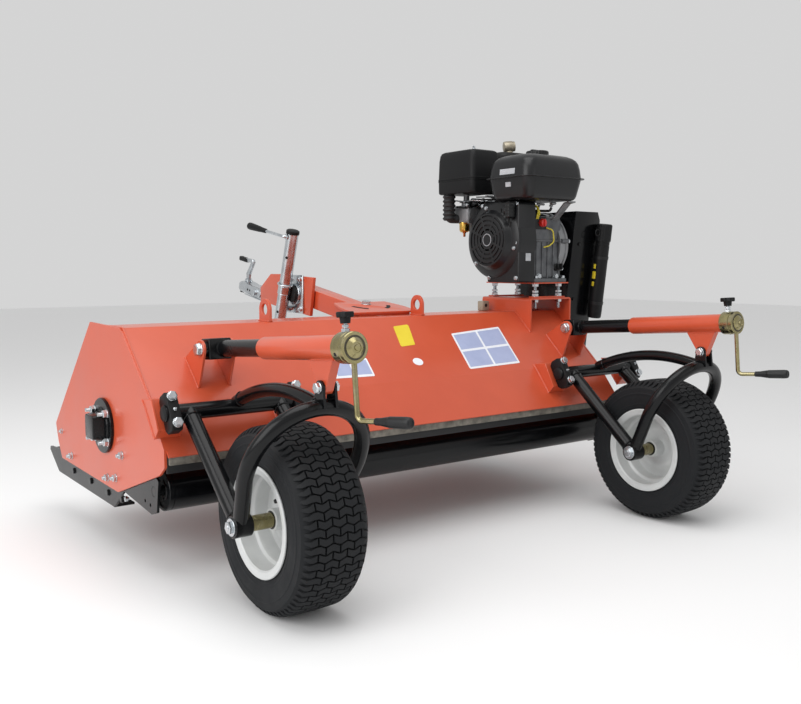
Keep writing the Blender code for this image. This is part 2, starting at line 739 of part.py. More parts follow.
def make_roller():
    left = inner_left + SKID_THICKNESS + ROLLER_END_GAP
    right = inner_right - SKID_THICKNESS - ROLLER_END_GAP
    pin_left = inner_left + GAP
    pin_right = inner_right - GAP
    shape = turned([(pin_left, 0), (pin_left, ROLLER_PIN_RADIUS), (left, ROLLER_PIN_RADIUS),
                    (left, ROLLER_RADIUS), (right, ROLLER_RADIUS), (right, ROLLER_PIN_RADIUS),
                    (pin_right, ROLLER_PIN_RADIUS), (pin_right, 0)],
                   (0, ROLLER_Y, ROLLER_Z), (1, 0, 0), ROUND)
    add_part("rear_roller", shape, black, (0, ROLLER_Y, ROLLER_Z))


def make_front_flap():
    y = APRON_Y + 0.004
    z = APRON_Z - FLAP_PIN_RADIUS - 0.003
    left = inner_left + GAP
    right = inner_right - GAP
    strip = box((left + SKID_SOLE_WIDTH, y - FLAP_THICKNESS / 2, z - FLAP_DROP),
                (right - SKID_SOLE_WIDTH, y + FLAP_THICKNESS / 2, z))
    add_part("front_flap", fuse(strip, rod((left, y, z), (right, y, z), FLAP_PIN_RADIUS, TINY)),
             rubber, (0, y, z))


# Engine stand, belt guard and document tube
def make_stand():
    side = [(STAND_REAR_Y, deck_rear_z(STAND_REAR_Y)), (CREASE_Y, DECK_TOP + GAP),
            (STAND_FRONT_Y, DECK_TOP + GAP), (STAND_FRONT_Y, STAND_TOP), (STAND_REAR_Y, STAND_TOP)]
    shape = prism(side, "X", STAND_LEFT, STAND_LEFT + STAND_SHEET)
    shape = fuse(shape, prism(side, "X", STAND_RIGHT - STAND_SHEET, STAND_RIGHT),
                 box((STAND_LEFT, STAND_REAR_Y, STAND_TOP - STAND_SHEET),
                     (STAND_RIGHT, STAND_FRONT_Y, STAND_TOP)))
    plate_bottom = ENGINE_PLATE_TOP - ENGINE_PLATE
    shape = fuse(shape, box((ENGINE_PLATE_LEFT, ENGINE_PLATE_REAR, plate_bottom),
                            (ENGINE_PLATE_RIGHT, ENGINE_PLATE_FRONT, ENGINE_PLATE_TOP)))
    for x in (STUD_LEFT_X, STUD_RIGHT_X):
        for y in (STUD_REAR_Y, STUD_FRONT_Y):
            shape = fuse(shape, rod((x, y, STAND_TOP - 0.035), (x, y, plate_bottom + 0.001),
                                    STUD_RADIUS, TINY))
    add_part("engine_stand", shape, orange)


def guard_outline(inset):
    """Side view of the belt guard, drawn in by the inset."""
    return [(GUARD_REAR_TOP_Y + inset, GUARD_TOP - inset),
            (GUARD_REAR_LOW_Y + inset, GUARD_BOTTOM + GUARD_HEEL),
            (GUARD_REAR_LOW_Y + 0.055 + inset * 0.5, GUARD_BOTTOM + inset),
            (GUARD_FRONT_Y - 0.055 - inset * 0.5, GUARD_BOTTOM + inset),
            (GUARD_FRONT_Y - inset, GUARD_BOTTOM + 0.09),
            (GUARD_FRONT_Y - 0.090 - inset, GUARD_TOP - inset)]


def make_guard():
    left = DECK_RIGHT + GAP
    right = left + GUARD_DEPTH
    shape = prism(guard_outline(0), "X", left, right)
    corner = prism([(right - GUARD_CHAMFER / 2, GUARD_TOP + 0.001), (right + 0.001, GUARD_TOP + 0.001),
                    (right + 0.001, GUARD_TOP - GUARD_CHAMFER)],
                   "Y", GUARD_REAR_TOP_Y - 0.1, GUARD_FRONT_Y)
    hollow = prism(guard_outline(GUARD_WALL), "X", left + GUARD_WALL, right - GUARD_WALL)
    hollow = cut(hollow, prism([(right - GUARD_CHAMFER / 2 - GUARD_WALL, GUARD_TOP + 0.001),
                                (right + 0.001, GUARD_TOP + 0.001),
                                (right + 0.001, GUARD_TOP - GUARD_CHAMFER - 2 * GUARD_WALL)],
                               "Y", GUARD_REAR_TOP_Y - 0.1, GUARD_FRONT_Y))
    bearing_hole = bore((left - 0.01, ROTOR_Y, ROTOR_Z), (left + 0.01, ROTOR_Y, ROTOR_Z),
                        BEARING_FLANGE_RADIUS + GAP, ROUND)
    shaft_hole = bore((left - 0.01, CRANK_Y, CRANK_Z), (left + 0.01, CRANK_Y, CRANK_Z),
                      PTO_BOSS_RADIUS)
    add_part("belt_guard", cut(shape, corner, hollow, bearing_hole, shaft_hole), black)


def make_document_tube():
    rear = (GUARD_REAR_LOW_Y - GUARD_REAR_TOP_Y) / (GUARD_TOP - GUARD_BOTTOM - GUARD_HEEL)
    tilt = math.atan(rear)
    lean = Vector((0, math.sin(tilt), -math.cos(tilt)))
    top_z = GUARD_TOP - TUBE_BELOW_TOP
    face_y = GUARD_REAR_TOP_Y + (GUARD_TOP - top_z) * rear
    top = Vector((DECK_RIGHT + GUARD_DEPTH - TUBE_RADIUS + TUBE_OVERHANG,
                  face_y - TUBE_CAP_RADIUS / math.cos(tilt) - 2 * GAP, top_z))
    length = TUBE_CAP_LENGTH + TUBE_LENGTH
    profile = [(0, 0), (0, TUBE_CAP_RADIUS - 0.002), (0.002, TUBE_CAP_RADIUS),
               (TUBE_CAP_LENGTH, TUBE_CAP_RADIUS), (TUBE_CAP_LENGTH, TUBE_RADIUS),
               (length, TUBE_RADIUS - 0.002), (length, 0)]
    add_part("document_tube", turned(profile, top, lean, 24), plastic)


# Engine
def make_block():
    bottom = ENGINE_PLATE_TOP + GAP
    shape = rounded_box((BLOCK_LEFT, BLOCK_REAR + 0.008, bottom + BLOCK_FOOT / 2),
                        (BLOCK_RIGHT, BLOCK_FRONT, BLOCK_TOP), 0.018)
    foot = box((BLOCK_LEFT + 0.008, BLOCK_REAR, bottom),
               (BLOCK_RIGHT + 0.014, BLOCK_FRONT + 0.012, bottom + BLOCK_FOOT))
    boss = rod((BLOCK_RIGHT - 0.03, CRANK_Y, CRANK_Z), (PTO_BOSS_END, CRANK_Y, CRANK_Z),
               PTO_BOSS_RADIUS - 0.004, SMALL)
    cover = turned([(BLOCK_RIGHT - 0.03, 0), (BLOCK_RIGHT - 0.03, COVER_RADIUS - 0.006),
                    (BLOCK_RIGHT + 0.010, COVER_RADIUS), (COVER_END - 0.012, COVER_RADIUS),
                    (COVER_END, COVER_RADIUS - 0.022), (COVER_END, 0)],
                   (0, CRANK_Y, COVER_Z), (1, 0, 0), 20)
    half = CYLINDER_HALF
    cylinder = rounded_box((BLOCK_LEFT + CYLINDER_INSET, 0.05, -half),
                           (BLOCK_RIGHT - CYLINDER_INSET, CYLINDER_REACH, half), 0.012, 1)
    turn = Matrix.Translation((0, CRANK_Y, CRANK_Z)) @ Matrix.Rotation(CYLINDER_ANGLE, 4, "X")
    bmesh.ops.transform(cylinder, verts=cylinder.verts, matrix=turn)
    strut = prism([(BLOCK_REAR + 0.020, BLOCK_TOP - 0.03), (BLOCK_REAR + 0.055, BLOCK_TOP - 0.03),
                   (TANK_REAR + 0.075, TANK_BOTTOM - GAP), (TANK_REAR + 0.025, TANK_BOTTOM - GAP)],
                  "X", BLOCK_RIGHT - 0.052, BLOCK_RIGHT - 0.022)
    post = box((BLOCK_LEFT + 0.030, BLOCK_FRONT - 0.110, BLOCK_TOP - 0.01),
               (BLOCK_RIGHT - 0.040, BLOCK_FRONT - 0.080, TANK_BOTTOM - GAP))
    add_part("crankcase", fuse(shape, foot, cover, boss, cylinder, strut, post), casting)


def make_fan_housing():
    right = BLOCK_LEFT - GAP - 0.004
    shape = turned([(FAN_LEFT, 0), (FAN_LEFT, FAN_RADIUS * 0.62),
                    (FAN_LEFT + 0.010, FAN_RADIUS * 0.72), (FAN_LEFT + FAN_LIP, FAN_RADIUS * 0.76),
                    (FAN_LEFT + FAN_LIP + 0.012, FAN_RADIUS), (right, FAN_RADIUS), (right, 0)],
                   (0, CRANK_Y, CRANK_Z), (1, 0, 0), 28)
    shoulder = rounded_box((FAN_LEFT + FAN_SHOULDER, CRANK_Y - FAN_REAR, CRANK_Z - 0.02),
                           (right, CRANK_Y + 0.06, CRANK_Z + FAN_RADIUS), 0.012, 1)
    skirt = rounded_box((FAN_LEFT + FAN_SHOULDER + 0.002, CRANK_Y - FAN_REAR + 0.002, ENGINE_PLATE_TOP + GAP),
                        (right - 0.002, CRANK_Y + FAN_SKIRT_FRONT, CRANK_Z), 0.006, 1)
    add_part("fan_housing", fuse(shape, shoulder, skirt), plastic)


def make_recoil_grip():
    z = TANK_BOTTOM - 0.004 - RECOIL_GRIP_LENGTH
    x = FAN_LEFT + FAN_SHOULDER
    shape = rounded_box((x - RECOIL_GRIP_DEPTH, RECOIL_GRIP_Y - 0.011, z),
                        (x - GAP, RECOIL_GRIP_Y + 0.011, z + RECOIL_GRIP_LENGTH), 0.005, 1)
    middle = (x - RECOIL_GRIP_DEPTH / 2, RECOIL_GRIP_Y, z + RECOIL_GRIP_LENGTH / 2)
    add_part("recoil_grip", shape, plastic, middle)


def drawn_in(shape):
    """Narrows a tank body towards its top and bottom."""
    middle = Vector(((TANK_LEFT + TANK_RIGHT) / 2, (TANK_REAR + TANK_FRONT) / 2, 0))
    for vert in shape.verts:
        factor = 1 - TANK_TAPER * abs(vert.co.z - TANK_SEAM) / (TANK_TOP - TANK_SEAM)
        vert.co.x = middle.x + (vert.co.x - middle.x) * factor
        vert.co.y = middle.y + (vert.co.y - middle.y) * factor
    return shape


def make_tank():
    lower = rounded_box((TANK_LEFT, TANK_REAR, TANK_BOTTOM), (TANK_RIGHT, TANK_FRONT, TANK_SEAM + 0.02),
                        0.014)
    upper = rounded_box((TANK_LEFT, TANK_REAR, TANK_SEAM - 0.02),
                        (TANK_RIGHT, TANK_FRONT, TANK_TOP), 0.028)
    left, right = TANK_LEFT - TANK_LIP, TANK_RIGHT + TANK_LIP
    rear, front = TANK_REAR - TANK_LIP, TANK_FRONT + TANK_LIP
    corner = TANK_LIP_CORNER
    lip = prism([(left + corner, rear), (right - corner, rear), (right, rear + corner),
                 (right, front - corner), (right - corner, front), (left + corner, front),
                 (left, front - corner), (left, rear + corner)], "Z", TANK_SEAM - 0.002, TANK_SEAM + 0.002)
    add_part("fuel_tank", fuse(drawn_in(lower), drawn_in(upper), lip), black)
    cap = turned([(0, 0), (0, CAP_RADIUS), (CAP_HEIGHT - 0.004, CAP_RADIUS),
                  (CAP_HEIGHT, CAP_RADIUS - 0.006), (CAP_HEIGHT, 0)],
                 (CAP_X, CAP_Y, TANK_TOP + GAP), (0, 0, 1), 20)
    add_part("fuel_cap", cap, plastic, (CAP_X, CAP_Y, TANK_TOP + GAP))


def make_air_filter():
    top = FILTER_BOTTOM + FILTER_HEIGHT
    shape = rounded_box((FILTER_LEFT, FILTER_REAR, FILTER_BOTTOM), (FILTER_RIGHT, FILTER_FRONT, top),
                        FILTER_CORNER)
    thin = ELBOW_RADIUS * 0.82
    step = ELBOW_LENGTH / ELBOW_RIBS
    ribs = [(-step, 0), (-step, thin)]
    for i in range(ELBOW_RIBS):
        ribs += [(i * step + step * 0.25, thin), (i * step + step * 0.75, ELBOW_RADIUS)]
    ribs += [(ELBOW_LENGTH, thin), (ELBOW_LENGTH, 0)]
    elbow = turned(ribs, (FILTER_LEFT + ELBOW_IN_X, FILTER_FRONT - ELBOW_IN_Y, FILTER_BOTTOM), (0, 0, -1), 14)
    left = FILTER_LEFT + CARB_IN_LEFT
    right = FILTER_LEFT + CARB_IN_RIGHT
    low = FILTER_BOTTOM - CARB_HEIGHT
    carburettor = rounded_box((left, FILTER_FRONT - CARB_IN_REAR, low),
                              (right, FILTER_FRONT - CARB_IN_FRONT, FILTER_BOTTOM + CARB_CORNER),
                              CARB_CORNER, 1)
    stub_y = FILTER_FRONT - STUB_IN_Y
    stub_z = FILTER_BOTTOM - STUB_DROP
    stub = rod(((left + right) / 2, stub_y, stub_z), (BLOCK_LEFT + CYLINDER_INSET - GAP, stub_y, stub_z),
               STUB_RADIUS)
    hose_x = FILTER_LEFT + ELBOW_IN_X
    hose_z = FILTER_BOTTOM - ELBOW_LENGTH + STUB_RADIUS
    hose = rod((hose_x, FILTER_FRONT - ELBOW_IN_Y, hose_z), (left + CARB_CORNER, FILTER_FRONT - ELBOW_IN_Y, hose_z),
               STUB_RADIUS * 0.8)
    bowl_x = FILTER_LEFT + BOWL_IN_X
    bowl_y = FILTER_FRONT - BOWL_IN_Y
    bowl = rod((bowl_x, bowl_y, low + CARB_CORNER), (bowl_x, bowl_y, low - BOWL_LENGTH), BOWL_RADIUS)
    add_part("air_filter", fuse(shape, elbow, carburettor, stub, hose, bowl), plastic)


def make_muffler():
    centre = Vector((0, CRANK_Y, CRANK_Z))
    along = Vector((0, math.cos(CYLINDER_ANGLE), math.sin(CYLINDER_ANGLE)))
    up = Vector((0, -along.z, along.y))
    foot = centre + along * (CYLINDER_REACH - 0.075) + up * (CYLINDER_HALF + GAP)
    low = FILTER_BOTTOM + MUFFLER_INSET
    top = low + MUFFLER_HEIGHT
    rear = FILTER_REAR + MUFFLER_INSET
    body = rounded_box((MUFFLER_LEFT, rear, low), (MUFFLER_RIGHT, FILTER_FRONT - MUFFLER_INSET, top),
                       MUFFLER_CORNER)
    x = BLOCK_RIGHT - EXHAUST_PIPE_IN
    pipe = rod(foot + Vector((x, 0, 0)), (x, foot.y - 0.01, low + MUFFLER_CORNER), EXHAUST_PIPE_RADIUS)
    ground = box((x - 0.1, foot.y - 0.1, foot.z - 0.1), (x + 0.1, foot.y + 0.1, foot.z))
    turn = (Matrix.Translation(foot) @ Matrix.Rotation(CYLINDER_ANGLE, 4, "X")
            @ Matrix.Translation(-foot))
    bmesh.ops.transform(ground, verts=ground.verts, matrix=turn)
    reach = OUTLET_HEIGHT
    wide = OUTLET_RADIUS
    outlet = turned([(-wide, 0), (-wide, wide * 0.6), (reach * 0.15, wide * 0.6), (reach * 0.25, wide * 0.92),
                     (reach * 0.50, wide), (reach * 0.80, wide * 0.84), (reach, wide * 0.4), (reach, 0)],
                    (OUTLET_X, rear + OUTLET_IN_Y, top), (0, 0, 1), SMALL)
    add_part("muffler", cut(fuse(body, pipe, outlet), ground), iron)


def make_controls():
    x = BLOCK_LEFT + 0.045
    y = BLOCK_REAR + 0.008 - GAP
    knob = turned([(0, 0), (0, SWITCH_RADIUS), (0.014, SWITCH_RADIUS), (0.018, SWITCH_RADIUS - 0.004),
                   (0.018, 0)], (x, y, SWITCH_Z), (0, -1, 0), SMALL)
    add_part("engine_switch", knob, red, (x, y, SWITCH_Z))
    pivot = Vector((BLOCK_LEFT - 0.040, CRANK_Y + 0.040, CRANK_Z + FAN_RADIUS + GAP))
    post = rod(pivot, pivot + Vector((0, 0, 0.008)), 0.008, TINY)
    blade = box(pivot + Vector((-0.050, -0.006, 0.003)), pivot + Vector((0, 0.006, 0.006)))
    add_part("throttle_lever", fuse(post, blade), zinc, pivot)


# Wheels
def make_wheel(side, x):
    centre = (x, 0, WHEEL_RADIUS)
    bead = RIM_SEAT_RADIUS + GAP
    bead_half = RIM_HALF_WIDTH - RIM_SHEET - 0.002 - GAP
    half = TYRE_HALF_WIDTH
    widest = WHEEL_RADIUS - 0.045
    outside = [(-bead_half, bead), (-bead_half, RIM_FLANGE_RADIUS + 0.002),
               (-half + 0.003, RIM_FLANGE_RADIUS + 0.010), (-half, widest),
               (-half + 0.002, WHEEL_RADIUS - 0.014), (-half + 0.014, WHEEL_RADIUS - 0.003),
               (-half + 0.030, WHEEL_RADIUS)]
    inside = [(-bead_half + TYRE_WALL, bead), (-half + TYRE_WALL, RIM_FLANGE_RADIUS + 0.018),
              (-half + TYRE_WALL, widest), (-half + TYRE_WALL + 0.010, WHEEL_RADIUS - TYRE_WALL - 0.004)]
    tyre = outside + [(-a, r) for a, r in outside[::-1]] + [(-a, r) for a, r in inside] + inside[::-1]
    add_part(f"{side}_tyre", turned(tyre, centre, (1, 0, 0), WHEEL_SIDES), rubber, centre)
    seat = RIM_SEAT_RADIUS
    rim_half = RIM_HALF_WIDTH
    sheet = RIM_SHEET
    hub_bore = (AXLE_RADIUS + GAP) / math.cos(math.pi / WHEEL_SIDES)
    outer = [(-rim_half, RIM_FLANGE_RADIUS), (-rim_half + sheet + 0.002, RIM_FLANGE_RADIUS),
             (-rim_half + sheet + 0.002, seat), (-0.036, seat), (-0.030, seat - 0.011)]
    inner = [(-rim_half, RIM_FLANGE_RADIUS - sheet), (-rim_half + sheet, seat - sheet),
             (-0.038, seat - sheet), (-0.033, seat - 0.011 - sheet), (-sheet / 2, seat - 0.011 - sheet),
             (-sheet / 2, HUB_RADIUS), (-HUB_HALF_LENGTH, HUB_RADIUS), (-HUB_HALF_LENGTH, hub_bore)]
    rim = outer + [(-a, r) for a, r in outer[::-1]] + [(-a, r) for a, r in inner] + inner[::-1]
    add_part(f"{side}_rim", turned(rim, centre, (1, 0, 0), WHEEL_SIDES), silver, centre)
    eye_in = ARM_HALF_WIDTH - ARM_EYE_HALF - GAP
    eye_out = ARM_HALF_WIDTH + ARM_EYE_HALF + GAP
    hub_end = HUB_HALF_LENGTH + GAP
    half_axle = [(-eye_out - 0.010, 0), (-eye_out - 0.010, AXLE_HEAD_RADIUS), (-eye_out, AXLE_HEAD_RADIUS),
                 (-eye_out, AXLE_RADIUS), (-eye_in, AXLE_RADIUS), (-eye_in, SPACER_RADIUS),
                 (-hub_end, SPACER_RADIUS), (-hub_end, AXLE_RADIUS)]
    axle = half_axle + [(-a, r) for a, r in half_axle[::-1]]
    add_part(f"{side}_axle", turned(axle, centre, (1, 0, 0), 12), gold, centre)


# Wheel arm: cross tube in two bearing blocks, two side tubes, a hoop over the tyre and a top tube
def make_arm(side, x):
    pivot = Vector((x, ARM_PIVOT_Y, ARM_PIVOT_Z))
    shape = rod(pivot - Vector((CROSS_TUBE_HALF, 0, 0)), pivot + Vector((CROSS_TUBE_HALF, 0, 0)),
                ARM_TUBE_RADIUS, SMALL)
    run = Vector((0, HOOP_TOP_Y, HOOP_TOP_Z - WHEEL_RADIUS))
    height = run.length
    lift = run.normalized()
    axle = Vector((x, 0, WHEEL_RADIUS))
    hoop = [axle + Vector((-ARM_HALF_WIDTH, 0, 0))]
    steps = 14
    for i in range(steps + 1):
        turn = math.pi * i / steps
        hoop.append(axle + Vector((-HOOP_BULGE * math.cos(turn), 0, 0))
                    + lift * (HOOP_BULGE_AT + (height - HOOP_BULGE_AT) * math.sin(turn) ** 0.85))
    hoop.append(axle + Vector((ARM_HALF_WIDTH, 0, 0)))
    ends = ((ARM_PIVOT_Y - 0.006, ARM_PIVOT_Z + 0.012), (TOP_TUBE_CREST_Y, TOP_TUBE_CREST_Z),
            (HOOP_TOP_Y, HOOP_TOP_Z))
    top_path = [Vector((x, y, bowed(y, *ends))) for y in spread(ends[0][0], HOOP_TOP_Y, 9)]
    shape = fuse(shape, swept(hoop, HOOP_RADIUS, 1), swept(top_path, TOP_TUBE_RADIUS, 1))
    for sign in (-1, 1):
        foot = axle + Vector((sign * ARM_HALF_WIDTH, 0, 0))
        head = pivot + Vector((sign * ARM_HALF_WIDTH, 0, 0))
        across = Vector((ARM_EYE_HALF, 0, 0))
        shape = fuse(shape, rod(head, foot, ARM_TUBE_RADIUS, 12),
                     rod(foot - across, foot + across, ARM_EYE_RADIUS, SMALL))
    for sign in (-1, 1):
        inner = LINK_DX + sign * (TONGUE_WIDTH / 2 + 0.001)
        faces = sorted((x + inner, x + inner + sign * LUG_PLATE))
        foot_low = (LUG_Y - 0.020, HOOP_TOP_Z)
        foot_high = (LUG_Y + 0.020, HOOP_TOP_Z)
        lug = prism([foot_low, foot_high] + arc((LUG_Y, LUG_Z), LUG_RADIUS, -10, 190, 8), "X", *faces)
        shape = fuse(shape, lug)
    pin_end = TONGUE_WIDTH / 2 + 0.001 + LUG_PLATE + 0.008
    shape = fuse(shape, rod((x + LINK_DX - pin_end, LUG_Y, LUG_Z),
                            (x + LINK_DX + pin_end, LUG_Y, LUG_Z), LUG_PIN_RADIUS, TINY))
    hole = bore(axle - Vector((0.2, 0, 0)), axle + Vector((0.2, 0, 0)), AXLE_RADIUS + GAP, 12)
    add_part(f"{side}_swing_arm", cut(shape, hole), black, pivot)


def make_arm_bearing(side, place, x):
    """A bearing block, and the welded bracket that holds it off the deck's rear face."""
    pivot = Vector((ARM_PIVOT_Y, ARM_PIVOT_Z))
    along = Vector((math.cos(BLOCK_TILT), math.sin(BLOCK_TILT)))
    out = Vector((-along.y, along.x))
    corner = 0.010
    outline = []
    for a, b in ((-1, -1), (1, -1), (1, 1), (-1, 1)):
        depth = BLOCK_FACE if b > 0 else BLOCK_BACK
        for first in ((True, False) if a * b < 0 else (False, True)):
            da = corner if first else 0
            db = 0 if first else corner
            outline.append(pivot + along * a * (BLOCK_HALF_LENGTH - da) + out * b * (depth - db))
    half = BLOCK_WIDTH / 2
    block = prism(outline, "X", x - half, x + half)
    hole = bore((x - BLOCK_WIDTH, *pivot), (x + BLOCK_WIDTH, *pivot), ARM_TUBE_RADIUS + GAP)
    add_part(f"{side}_{place}_arm_bearing", cut(block, hole), black)
    back = pivot - out * (BLOCK_BACK + GAP)
    top = back + along * BLOCK_HALF_LENGTH
    low = back - along * BLOCK_HALF_LENGTH
    upper_y = top.x + 0.050
    lower_y = low.x + 0.012
    bracket = [top, low, (lower_y, deck_rear_z(lower_y)), (KNEE_Y, KNEE_Z + 0.0006),
               (upper_y, deck_rear_z(upper_y))]
    half = BRACKET_WIDTH / 2
    add_part(f"{side}_{place}_arm_bracket", prism(bracket, "X", x - half, x + half), orange)


# Height screw: bracket, inner tube, outer tube, crank and lock knob
link_along = Vector((0, -math.cos(LINK_RISE), math.sin(LINK_RISE)))
link_up = Vector((0, math.sin(LINK_RISE), math.cos(LINK_RISE)))


def link_point(x, distance, height=0.0):
    """A point on the screw's line, by its distance behind the front pivot."""
    return Vector((x, LINK_PIVOT_Y, LINK_PIVOT_Z)) + link_along * distance + link_up * height


def make_link_bracket(side, x):
    nose = (LINK_PIVOT_Y, LINK_PIVOT_Z)
    low = (LINK_PIVOT_Y + 0.013, deck_rear_z(LINK_PIVOT_Y + 0.013))
    high = (LINK_PIVOT_Y + 0.086, deck_rear_z(LINK_PIVOT_Y + 0.086))
    outline = wedge_outline(nose, LINK_NOSE_RADIUS, low, high)
    left = x - LINK_LEFT_IN - LINK_PLATE
    right = x + LINK_RIGHT_IN + LINK_PLATE
    shape = rod((left - LINK_PIN_OUT, *nose), (right + LINK_PIN_OUT, *nose), LINK_PIN_RADIUS, 12)
    shape = fuse(shape, prism(outline, "X", left, left + LINK_PLATE),
                 prism(outline, "X", right - LINK_PLATE, right))
    add_part(f"{side}_link_bracket", shape, orange)


def make_link_tubes(side, x):
    pivot = link_point(x, 0)
    left = LINK_LEFT_IN - GAP
    right = LINK_RIGHT_IN - GAP
    cross = rod(pivot - Vector((left, 0, 0)), pivot + Vector((right, 0, 0)), INNER_TUBE_RADIUS * 0.92, SMALL)
    reach = LINK_HEAD_HALF_LENGTH
    tall = LINK_HEAD_HALF_HEIGHT
    corners = [link_point(x, a * reach, b * tall) for a, b in ((-1, -1), (1, -1), (1, 1), (-1, 1))]
    head = prism([(p.y, p.z) for p in corners], "X",
                 x - LINK_LEFT_IN + LINK_HEAD_SIDE, x + LINK_RIGHT_IN - LINK_HEAD_SIDE)
    inner = fuse(rod(pivot, link_point(x, INNER_TUBE_LENGTH), INNER_TUBE_RADIUS, SMALL), cross, head)
    eye = bore(pivot - Vector((0.1, 0, 0)), pivot + Vector((0.1, 0, 0)), LINK_PIN_RADIUS + GAP, 12)
    screw_hole = bore(link_point(x, SPINDLE_START - 0.060), link_point(x, INNER_TUBE_LENGTH + 0.01),
                      INNER_TUBE_BORE, 12)
    add_part(f"{side}_inner_tube", cut(inner, eye, screw_hole), black, pivot)
    radius = OUTER_TUBE_RADIUS
    sleeve = turned([(OUTER_TUBE_START, 0), (OUTER_TUBE_START, radius - 0.004),
                     (OUTER_TUBE_START + 0.006, radius), (OUTER_TUBE_END, radius), (OUTER_TUBE_END, 0)],
                    pivot, link_along, 20)
    axis_low = LINK_PIVOT_Z + (LINK_PIVOT_Y - TONGUE_START_Y) * math.tan(LINK_RISE) - radius * 0.6
    foot = [(TONGUE_START_Y, axis_low), (TONGUE_END_Y, axis_low + 0.007)]
    tongue = prism(foot + arc((LUG_Y, LUG_Z), LUG_RADIUS - 0.001, 190, 350, 6), "X",
                   x - TONGUE_WIDTH / 2, x + TONGUE_WIDTH / 2)
    pin_hole = bore((x - 0.1, LUG_Y, LUG_Z), (x + 0.1, LUG_Y, LUG_Z),
                    LUG_PIN_RADIUS + OPEN_PIVOT_CLEARANCE, 12)
    slide = bore(link_point(x, OUTER_TUBE_START - 0.01), link_point(x, OUTER_TUBE_WALL_END),
                 INNER_TUBE_RADIUS + TELESCOPE_CLEARANCE)
    end = OUTER_TUBE_END + COLLAR_LENGTH
    collar = turned([(OUTER_TUBE_END - 0.002, 0), (OUTER_TUBE_END - 0.002, COLLAR_RADIUS - 0.002),
                     (OUTER_TUBE_END, COLLAR_RADIUS), (end, COLLAR_RADIUS), (end, 0)],
                    pivot, link_along, 20)
    through = bore(link_point(x, OUTER_TUBE_WALL_END - 0.01), link_point(x, end + 0.01),
                   SPINDLE_RADIUS + GAP, 20)
    knob_at = OUTER_TUBE_END + KNOB_AT
    socket = bore(link_point(x, knob_at, COLLAR_RADIUS - KNOB_STEM_IN - 0.001),
                  link_point(x, knob_at, COLLAR_RADIUS + 0.01), KNOB_STEM_RADIUS + GAP, TINY)
    shape = cut(fuse(sleeve, tongue, collar), pin_hole, slide, through, socket)
    add_part(f"{side}_outer_tube", shape, orange, link_point(x, OUTER_TUBE_END))


def make_lock_knob(side, x):
    middle = OUTER_TUBE_END + KNOB_AT
    stem_low = COLLAR_RADIUS - KNOB_STEM_IN
    neck_low = COLLAR_RADIUS + KNOB_STEM_OUT
    cap_low = neck_low + KNOB_NECK
    cap_high = cap_low + KNOB_HEIGHT
    base = link_point(x, middle)
    stem = turned([(stem_low, 0), (stem_low, KNOB_STEM_RADIUS), (neck_low, KNOB_STEM_RADIUS),
                   (neck_low, KNOB_NECK_RADIUS), (cap_low + 0.001, KNOB_NECK_RADIUS), (cap_low + 0.001, 0)],
                  base, link_up, 12)
    lobes = []
    for i in range(36):
        angle = math.tau * i / 36
        reach = KNOB_RADIUS + KNOB_LOBE * math.cos(6 * angle)
        lobes.append((math.cos(angle) * reach, math.sin(angle) * reach))
    head = prism(lobes, "Z", cap_low, cap_high)
    turn = Vector((0, 0, 1)).rotation_difference(link_up).to_matrix().to_4x4()
    bmesh.ops.transform(head, verts=head.verts, matrix=Matrix.Translation(base) @ turn)
    add_part(f"{side}_lock_knob", fuse(stem, head), plastic, link_point(x, middle, neck_low))


def make_crank(side, x):
    start = OUTER_TUBE_END + COLLAR_LENGTH + GAP
    end = start + CRANK_HUB_LENGTH
    base = link_point(x, 0)
    hub = turned([(SPINDLE_START, 0), (SPINDLE_START, SPINDLE_RADIUS), (start, SPINDLE_RADIUS),
                  (start, COLLAR_RADIUS), (end - 0.003, COLLAR_RADIUS), (end, COLLAR_RADIUS - 0.003),
                  (end, COLLAR_RADIUS * 0.62), (end + CRANK_CONE, COLLAR_RADIUS * 0.42),
                  (end + CRANK_CONE, 0)],
                 base, link_along, 20)
    side_way = Vector((1, 0, 0))
    down = -link_up * math.cos(CRANK_SIDE_LEAN) + side_way * math.sin(CRANK_SIDE_LEAN)
    root = link_point(x, start + CRANK_ROD_AT)
    elbow = root + down * CRANK_ARM
    handle = (link_along + side_way * 0.25).normalized()
    grip_start = elbow + handle * CRANK_GRIP_OFFSET
    grip_end = grip_start + handle * CRANK_GRIP_LENGTH
    path = rounded_path([root + down * COLLAR_RADIUS * 0.6, elbow, grip_start + handle * 0.02], 0.012)
    radius = CRANK_GRIP_RADIUS
    length = CRANK_GRIP_LENGTH
    grip = turned([(0, 0), (0, radius * 0.60), (length * 0.35, radius * 0.86), (length * 0.85, radius),
                   (length, radius * 0.78), (length, 0)], grip_start, grip_end - grip_start, SMALL)
    add_part(f"{side}_crank", fuse(hub, swept(path, CRANK_ROD_RADIUS, 1), grip), gold, root)


# Drawbar, coupling and jack
bar_along = Vector((0, math.cos(DRAWBAR_PITCH), math.sin(DRAWBAR_PITCH)))
bar_origin = Vector((DRAWBAR_X, DRAWBAR_PIVOT_Y, DECK_TOP + HITCH_LIFT))
coupling_origin = Vector((DRAWBAR_X, HEAD_FRONT_Y + GAP, COUPLING_Z))


def pitched(shape, origin):
    """Turns a shape drawn along Y to the drawbar's pitch and moves it to the origin."""
    turn = Matrix.Translation(origin) @ Matrix.Rotation(DRAWBAR_PITCH, 4, "X")
    bmesh.ops.transform(shape, verts=shape.verts, matrix=turn)
    return shape


